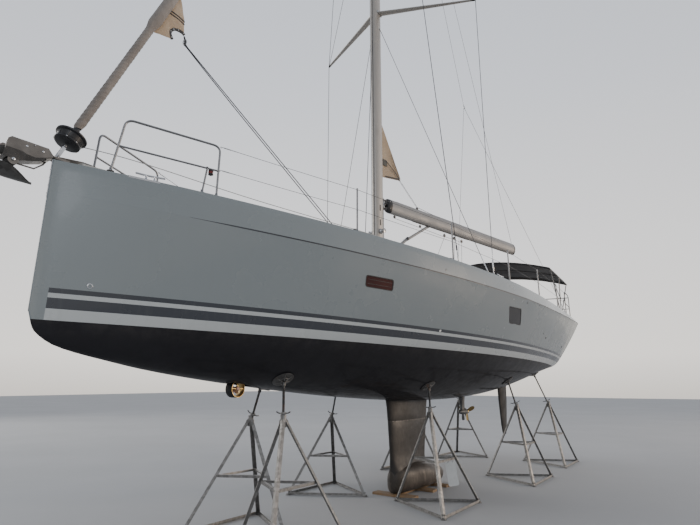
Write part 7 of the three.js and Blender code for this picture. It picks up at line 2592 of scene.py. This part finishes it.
# Handrails on the roof, tracks with their cars, clutches and winches by the hatch
roof = Shape()
RAIL_POSTS = [4.95, 5.75, 6.55, 7.35, 8.15]
for q in (1, -1):
    y = q * 0.60
    line = [P(s, y * (0.82 + 0.18 * min((s - 4.9) / 1.5, 1)), roof_at(s, y) + 0.062) for s in spread(4.95, 8.15, 17)]
    roof.tube([line[0] + Vector((0.03, 0, -0.05))] + line + [line[-1] + Vector((-0.03, 0, -0.05))], 0.011, 12, 0)
    for s in RAIL_POSTS:
        yy = y * (0.82 + 0.18 * min((s - 4.9) / 1.5, 1))
        roof.lathe(
            [(0.024, -0.002), (0.024, 0.004), (0.013, 0.008), (0.0105, 0.014), (0.0105, 0.062)],
            P(s, yy, roof_at(s, yy)), (0, 0, 1), 16, 0
        )
    # headsail track on the side of the roof
    rings = []
    for s in spread(5.9, 7.2, 9):
        z = roof_at(s, 0.42)
        rings.append(
            [
                P(s, q * 0.42 + y2, z + h) for y2,
                h in (
                    (-0.016, -0.006), (-0.016, 0.004), (-0.009, 0.006), (-0.009, 0.012), (0.009, 0.012),
                    (0.009, 0.006), (0.016, 0.004), (0.016, -0.006)
                )
            ]
        )
    roof.rings(rings, 2)
    roof.box(
        P(6.45, q * 0.42 - 0.026, roof_at(6.5, 0.42) + 0.002), P(6.57, q * 0.42 + 0.026, roof_at(6.5, 0.42) + 0.030),
        1, 0.006
    )
    # rope clutches side by side, each with its lever
    for k in range(4):
        yc = q * (0.56 + 0.040 * k)
        z = roof_at(8.55, yc)
        roof.box(P(8.46, yc - 0.016, z - 0.004), P(8.60, yc + 0.016, z + 0.050), 1, 0.006)
        roof.beam(P(8.50, yc, z + 0.054), P(8.60, yc, z + 0.062), 0.022, 0.010, 1, c=0.003)
        screw_head(roof, P(8.475, yc, z + 0.050), (0, 0, 1), 0.005, 0)
    c = P(8.74, q * 0.66, roof_at(8.74, 0.66) - 0.004)
    roof.lathe(
        [
            (0.070, 0.0), (0.070, 0.018), (0.062, 0.026), (0.048, 0.038), (0.045, 0.085), (0.052, 0.105),
            (0.064, 0.118), (0.064, 0.128), (0.034, 0.134), (0.024, 0.135), (0.022, 0.124)
        ],
        c, (0, 0, 1), 36, 0
    )
roof.object("coachroof_gear", [STEEL, BLACK, BRUSHED], slot="stainless", sharp=36)

# Rubber strips round the roof windows, low on its sides
WINDOW = [
    (5.76, sheer_z(6.0) + 0.100), (8.25, sheer_z(8.0) + 0.120), (8.31, sheer_z(8.0) + 0.310),
    (6.20, sheer_z(6.0) + 0.230)
]


def roof_side(s, z, q, out=0.0):
    """A point on the steep side of the coachroof."""
    w, h = lookup(ROOF, s, 1), lookup(ROOF, s, 2)
    base, top = sheer_z(s) - 0.005, sheer_z(s) + h
    edge, shoulder = w - 0.147 * h, max(w - 0.42 * h - 0.030, w / 2)
    mid, high = base + 0.55 * (top - base), top - 0.060
    if z < mid:
        y = w + (edge - w) * (z - base) / (mid - base)
    else:
        y = edge + (shoulder - edge) * min((z - mid) / (high - mid), 1)
    return P(s, q * (y + out), z)


gasket = Shape()
for q in (1, -1):
    ring = []
    for (s0, z0), (s1, z1) in zip(WINDOW, WINDOW[1:] + WINDOW[:1]):
        ring += [roof_side(s0 + (s1 - s0) * t, z0 + (z1 - z0) * t, q, 0.0005) for t in spread(0, 1, 9)[:-1]]
    gasket.tube(ring, 0.0055, 8, closed=True)
gasket.object("roof_window_gaskets", [RUBBER], slot="black_plastic", sharp=60)


# Cockpit: laid teak on the sole and the benches, cleats and gear
TEAK_T = 0.006
teak = Shape()
teak.box(P(9.03, -0.50, SOLE_Z + 0.0003), P(11.16, 0.50, SOLE_Z + TEAK_T), 0, 0.002)
teak.box(P(11.19, -1.27, SOLE_Z + 0.0003), P(13.30, 1.27, SOLE_Z + TEAK_T), 0, 0.002)
for q in (1, -1):
    y0, y1 = sorted((q * 0.54, q * 1.22))
    teak.box(P(9.03, y0, BENCH_Z + 0.0003), P(9.39, y1, BENCH_Z + TEAK_T), 0, 0.002)
    teak.box(P(10.79, y0, BENCH_Z + 0.0003), P(11.13, y1, BENCH_Z + TEAK_T), 0, 0.002)
    a, b = sorted((q * 0.54, q * 0.635))
    teak.box(P(9.39, a, BENCH_Z + 0.0003), P(10.79, b, BENCH_Z + TEAK_T), 0, 0.0015)
teak.object("cockpit_teak", [TEAK], slot="teak", sharp=30)
for side, q in SIDES:
    keep(f"locker_lid_{side}", TEAK)
    keep(f"coaming_{side}", GELCOAT)
    keep(f"pedestal_{side}", GELCOAT)
keep("transom_door", GELCOAT)
keep("cockpit_table", TEAK_TRIM)

# Finger rings and hinges of the locker lids
for side, q in SIDES:
    shape = Shape()
    for s in (9.70, 10.48):
        shape.lathe(
            [(0.024, 0.0), (0.024, 0.003), (0.018, 0.0035), (0.010, 0.001)], P(s, q * 0.68, 3.6175), (0, 0, 1), 20
        )
    for s in (9.60, 10.09, 10.58):
        shape.box(P(s - 0.035, q * 1.138 - 0.004, 3.6175), P(s + 0.035, q * 1.138 - 0.040 * q, 3.6205), 0, 0.001)
    shape.object(f"locker_fittings_{side}", [STEEL], body=f"locker_lid_{side}", slot="stainless", sharp=36)

# Table: fiddles, hinges of the folded leaves, steel feet
table = Shape()
for s0, s1, y in ((9.66, 10.79, -0.123), (9.66, 10.79, 0.117)):
    table.box(P(s0, y, 3.9095), P(s1, y + 0.006, 3.9145), 0, 0.0015)
for s in (9.85, 10.6):
    for q in (1, -1):
        table.box(P(s - 0.03, q * 0.100, 3.9098), P(s + 0.03, q * 0.146, 3.9125), 1, 0.001)
for s in (9.86, 10.59):
    table.lathe([(0.034, 0.0), (0.034, 0.006), (0.022, 0.010)], P(s, 0.075, 3.1965), (0, 0, 1), 20, 1)
    table.lathe([(0.034, 0.0), (0.034, 0.006), (0.022, 0.010)], P(s, -0.075, 3.1965), (0, 0, 1), 20, 1)
table.object("table_fittings", [TEAK_TRIM, STEEL], slot="teak", sharp=36)

# Primary winches
WINCH = [
    (0.094, 0.0), (0.095, 0.004), (0.095, 0.020), (0.086, 0.030), (0.070, 0.037), (0.062, 0.044), (0.0605, 0.058),
    (0.062, 0.072), (0.0605, 0.086), (0.063, 0.100), (0.068, 0.112), (0.080, 0.122), (0.088, 0.130), (0.088, 0.143),
    (0.080, 0.147), (0.050, 0.152), (0.034, 0.158), (0.030, 0.160), (0.027, 0.150)
]
for side, q in SIDES:
    c = P(11.35, q * 1.375, sheer_z(11.35) + 0.206)
    winch = Shape()
    winch.lathe([(0.060, -0.012), (0.094, -0.002)] + WINCH[1:], c, (0, 0, 1), 48, 0)
    for k in range(28):
        t = TAU * k / 28
        r = Vector((math.cos(t), math.sin(t), 0))
        winch.beam(
            c + r * 0.0625 + Vector((0, 0, 0.046)), c + r * 0.0625 + Vector((0, 0, 0.098)), 0.004, 0.0022, 1, up=r
        )
    winch.beam(c + Vector((0.0, 0, 0.155)), c + Vector((0.075, 0.02, 0.158)), 0.018, 0.008, 1, c=0.003)
    winch.object(f"winch_{side}_drum", [STEEL, BRUSHED], slot="stainless", replaces=f"winch_{side}", sharp=36)

# Wheels: a leather-covered rim, five spokes and a hub with its nut
WHEEL_S, WHEEL_Y, WHEEL_Z, WHEEL_R = 11.90, 0.80, 4.06, 0.40
for side, q in SIDES:
    c = P(WHEEL_S, q * WHEEL_Y, WHEEL_Z)
    wheel = Shape()
    rings = []
    for k in range(96):
        t = TAU * k / 96
        out = Vector((0, math.cos(t), math.sin(t)))
        r = 0.0150 if k % 8 else 0.0146
        rings.append(
            [
                c + out * (WHEEL_R + r * math.cos(a)) + Vector((r * math.sin(a), 0, 0))
                for a in (TAU * j / 14 for j in range(14))
            ]
        )
    wheel.rings(rings, 1, closed=True)
    for k in range(5):
        t = math.radians(90 + 72 * k)
        out = Vector((0, math.cos(t), math.sin(t)))
        wheel.tube(
            [c + out * x + Vector((0.012 * (1 - x / 0.4), 0, 0)) for x in (0.03, 0.06, 0.20, 0.34, 0.388)],
            [0.0095, 0.009, 0.0085, 0.0085, 0.009], 12, 0
        )
        wheel.lathe([(0.0095, -0.004), (0.013, 0.002), (0.0105, 0.010)], c + out * 0.378, out, 14, 0)
    wheel.lathe(
        [
            (0.0395, 0.0359), (0.040, 0.030), (0.040, -0.006), (0.036, -0.012), (0.022, -0.016), (0.016, -0.020),
            (0.008, -0.022)
        ],
        c, (1, 0, 0), 32, 0
    )
    wheel.object(
        f"wheel_{side}_rim", [STEEL, LEATHER], body=f"wheel_{side}", slot="stainless", replaces=f"wheel_{side}",
        sharp=40
    )
    # pedestal: compass, instruments, engine lever, grab rail
    ped = Shape()
    top = P(WHEEL_S - 0.20, q * WHEEL_Y, WHEEL_Z + 0.114)
    ped.lathe([(0.066, -0.012), (0.066, 0.010), (0.060, 0.016)], top, (0, 0, 1), 32, 0)
    ped.lathe(
        [(0.056, 0.012), (0.054, 0.030), (0.044, 0.048), (0.026, 0.060), (0.008, 0.065), (0.001, 0.0655)], top,
        (0, 0, 1), 32, 1
    )
    face = P(WHEEL_S - 0.062, q * WHEEL_Y, WHEEL_Z + 0.07)
    for y in (-0.065, 0.065):
        ped.box(face + Vector((-0.0105, y - 0.05, -0.045)) , face + Vector((0.004, y + 0.05, 0.045)), 0, 0.004)
        ped.box(face + Vector((-0.0125, y - 0.038, -0.033)), face + Vector((-0.010, y + 0.038, 0.033)), 1, 0.001)
    rail_line = [
        P(WHEEL_S - 0.27, q * (WHEEL_Y + w), z) for w,
        z in ((-0.115, WHEEL_Z - 0.30), (-0.115, WHEEL_Z + 0.22), (0.115, WHEEL_Z + 0.22), (0.115, WHEEL_Z - 0.30))
    ]
    rail_line = [p + Vector((0.03, 0, 0)) for p in rail_line]
    ped.tube(rounded(rail_line, 0.06, 6), 0.0125, 14, 2)
    for w in (-0.115, 0.115):
        for z in (-0.26, -0.05):
            ped.beam(
                P(WHEEL_S - 0.30, q * (WHEEL_Y + w), WHEEL_Z + z), P(WHEEL_S - 0.285, q * (WHEEL_Y + w), WHEEL_Z + z),
                0.03, 0.02, 2
            )
    if q < 0:
        ped.lathe(
            [(0.03, 0.0), (0.03, 0.012), (0.02, 0.018)], P(WHEEL_S - 0.18, -WHEEL_Y - 0.130, WHEEL_Z - 0.10),
            (0, -1, 0), 24, 0
        )
        ped.tube(
            [
                P(WHEEL_S - 0.18, -WHEEL_Y - 0.145, WHEEL_Z - 0.10),
                P(WHEEL_S - 0.165, -WHEEL_Y - 0.152, WHEEL_Z + 0.05)
            ],
            0.007, 12, 2
        )
        ped.lathe(
            [(0.004, -0.02), (0.013, -0.012), (0.015, 0.0), (0.013, 0.012), (0.004, 0.02)],
            P(WHEEL_S - 0.165, -WHEEL_Y - 0.152, WHEEL_Z + 0.055), (0, 0, 1), 16, 0
        )
    ped.object(f"helm_gear_{side}", [BLACK, GLASS, RAIL_STEEL], slot="black_plastic", sharp=36)

# Coaming tops: teak caps
caps = Shape()
COAMING = [
    (8.905, 1.270, 1.560, 0.300), (9.600, 1.262, 1.580, 0.270), (11.000, 1.262, 1.570, 0.230),
    (12.300, 1.320, 1.500, 0.110)
]
for q in (1, -1):
    rings = []
    for s in spread(9.0, 10.9, 12):
        for (a0, b0, c0, h0), (a1, b1, c1, h1) in zip(COAMING, COAMING[1:]):
            if a0 <= s <= a1:
                t = (s - a0) / (a1 - a0)
                y0, y1, h = b0 + (b1 - b0) * t, c0 + (c1 - c0) * t - 0.09, h0 + (h1 - h0) * t
        z = sheer_z(s) + h
        rings.append(
            [
                P(s, q * (y0 + 0.02), z - 0.001), P(s, q * (y1 - 0.02), z - 0.001), P(s, q * (y1 - 0.023), z + 0.007),
                P(s, q * (y0 + 0.023), z + 0.007)
            ]
        )
    caps.rings(rings)
caps.object("coaming_caps", [TEAK], slot="teak", sharp=30)

# Transom door: bathing step's teak, hinges and latches
door = Shape()
DOOR_TOP = sheer_z(13.5) - 0.02
door.box(P(13.4935, -0.56, 3.24), P(13.4995, 0.56, DOOR_TOP - 0.05), 0, 0.002)
for y in (-0.45, 0.45):
    door.box(P(13.432, y - 0.05, DOOR_TOP - 0.06), P(13.4405, y + 0.05, DOOR_TOP - 0.02), 1, 0.003)
    door.box(P(13.4935, y - 0.045, 3.212), P(13.5005, y + 0.045, 3.238), 1, 0.002)
door.object("transom_door_fittings", [TEAK_ACROSS, STEEL], body="transom_door", slot="teak", sharp=36)


# Floor, lights and the camera
bpy.ops.mesh.primitive_grid_add(x_subdivisions=40, y_subdivisions=40, size=2)
floor = bpy.context.object
floor.name = "floor"
for v in floor.data.vertices:
    r = math.hypot(v.co.x, v.co.y)
    v.co.x, v.co.y = v.co.x * (8 + 110 * r**3), v.co.y * (8 + 110 * r**3)
paint = Paint("floor_pale", (0.40, 0.405, 0.41), 0.85)
paint.set(
    "Base Color", paint.ramp(paint.noise(0.22, 7, 0.62), [(0.3, (0.375, 0.38, 0.385)), (0.7, (0.42, 0.425, 0.43))])
)
paint.bump(paint.noise(30.0, 4, 0.6), 0.1, 0.002)
floor.data.materials.append(paint.m)
floor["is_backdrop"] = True

SKY = [
    (0.0, (0.30, 0.30, 0.30)), (0.495, (0.66, 0.62, 0.57)), (0.53, (0.88, 0.84, 0.79)), (0.62, (0.80, 0.79, 0.79)),
    (0.76, (0.63, 0.65, 0.70)), (1.0, (0.46, 0.51, 0.59))
]
SKY_POWER, SKY_BEHIND = 1.6, 0.42
BRIGHT_SIDE = (-0.815, -0.58, 0.0)
world = bpy.data.worlds.new("studio")
bpy.context.scene.world = world
world.use_nodes = True
tree = world.node_tree
place = tree.nodes.new("ShaderNodeTexCoord")
split = tree.nodes.new("ShaderNodeSeparateXYZ")
lift = tree.nodes.new("ShaderNodeMapRange")
lift.inputs[1].default_value, lift.inputs[2].default_value = -1, 1
sky = tree.nodes.new("ShaderNodeValToRGB")
while len(sky.color_ramp.elements) < len(SKY):
    sky.color_ramp.elements.new(0.5)
for e, (at, c) in zip(sky.color_ramp.elements, SKY):
    e.position, e.color = at, (*c, 1)
tree.links.new(place.outputs["Generated"], split.inputs[0])
tree.links.new(split.outputs[2], lift.inputs[0])
tree.links.new(lift.outputs[0], sky.inputs[0])
tree.links.new(sky.outputs[0], tree.nodes["Background"].inputs[0])
# the sky is brighter on the side the light comes from
side = tree.nodes.new("ShaderNodeVectorMath")
side.operation = "DOT_PRODUCT"
side.inputs[1].default_value = BRIGHT_SIDE
power = tree.nodes.new("ShaderNodeMapRange")
for k, v in enumerate((-1.0, 1.0, SKY_POWER * SKY_BEHIND, SKY_POWER)):
    power.inputs[k + 1].default_value = v
tree.links.new(place.outputs["Generated"], side.inputs[0])
tree.links.new(side.outputs["Value"], power.inputs[0])
tree.links.new(power.outputs[0], tree.nodes["Background"].inputs[1])

# Soft lamps. Columns: name, place, aim, size, power, colour
LAMPS = [
    ("low_warm", (-24, 30, 7), (-2, 2, 3), 12, 5600, (1.0, 0.80, 0.62)),
    ("fill_bow", (26, 22, 12), (2, 0, 3), 16, 1500, (0.86, 0.92, 1.0)),
    ("fill_far", (6, -30, 14), (0, 0, 3), 16, 2600, (1.0, 0.96, 0.9)),
]
for name, at, aim, size, power, colour in LAMPS:
    lamp = bpy.data.lights.new(name, "AREA")
    lamp.shape, lamp.size, lamp.energy, lamp.color = "DISK", size, power, colour
    o = bpy.data.objects.new(name, lamp)
    o.location = at
    o.rotation_euler = (Vector(aim) - Vector(at)).to_track_quat("-Z", "Y").to_euler()
    bpy.context.scene.collection.objects.link(o)

# The photograph's viewpoint: a person by the bow, looking aft and a little up
EYE = Vector((8.351, 4.848, 1.836))
YAW, PITCH, ROLL = math.radians(35.423), math.radians(14.386), math.radians(0.141)
LENS, SENSOR = 25.383, 36.0
ahead = Vector((-math.cos(YAW) * math.cos(PITCH), -math.sin(YAW) * math.cos(PITCH), math.sin(PITCH)))
level = Vector((-math.sin(YAW), math.cos(YAW), 0))
upward = level.cross(ahead)
right = level * math.cos(ROLL) + upward * math.sin(ROLL)
top = upward * math.cos(ROLL) - level * math.sin(ROLL)
view = bpy.data.cameras.new("camera")
view.lens, view.sensor_width, view.clip_end = LENS, SENSOR, 500
camera = bpy.data.objects.new("camera", view)
bpy.context.scene.collection.objects.link(camera)
camera.matrix_world = Matrix.Translation(EYE) @ Matrix((right, top, -ahead)).transposed().to_4x4()
bpy.context.scene.camera = camera

low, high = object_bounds()
{"cad": [list(cad_low), list(cad_high)], "visual": [list(low), list(high)]}
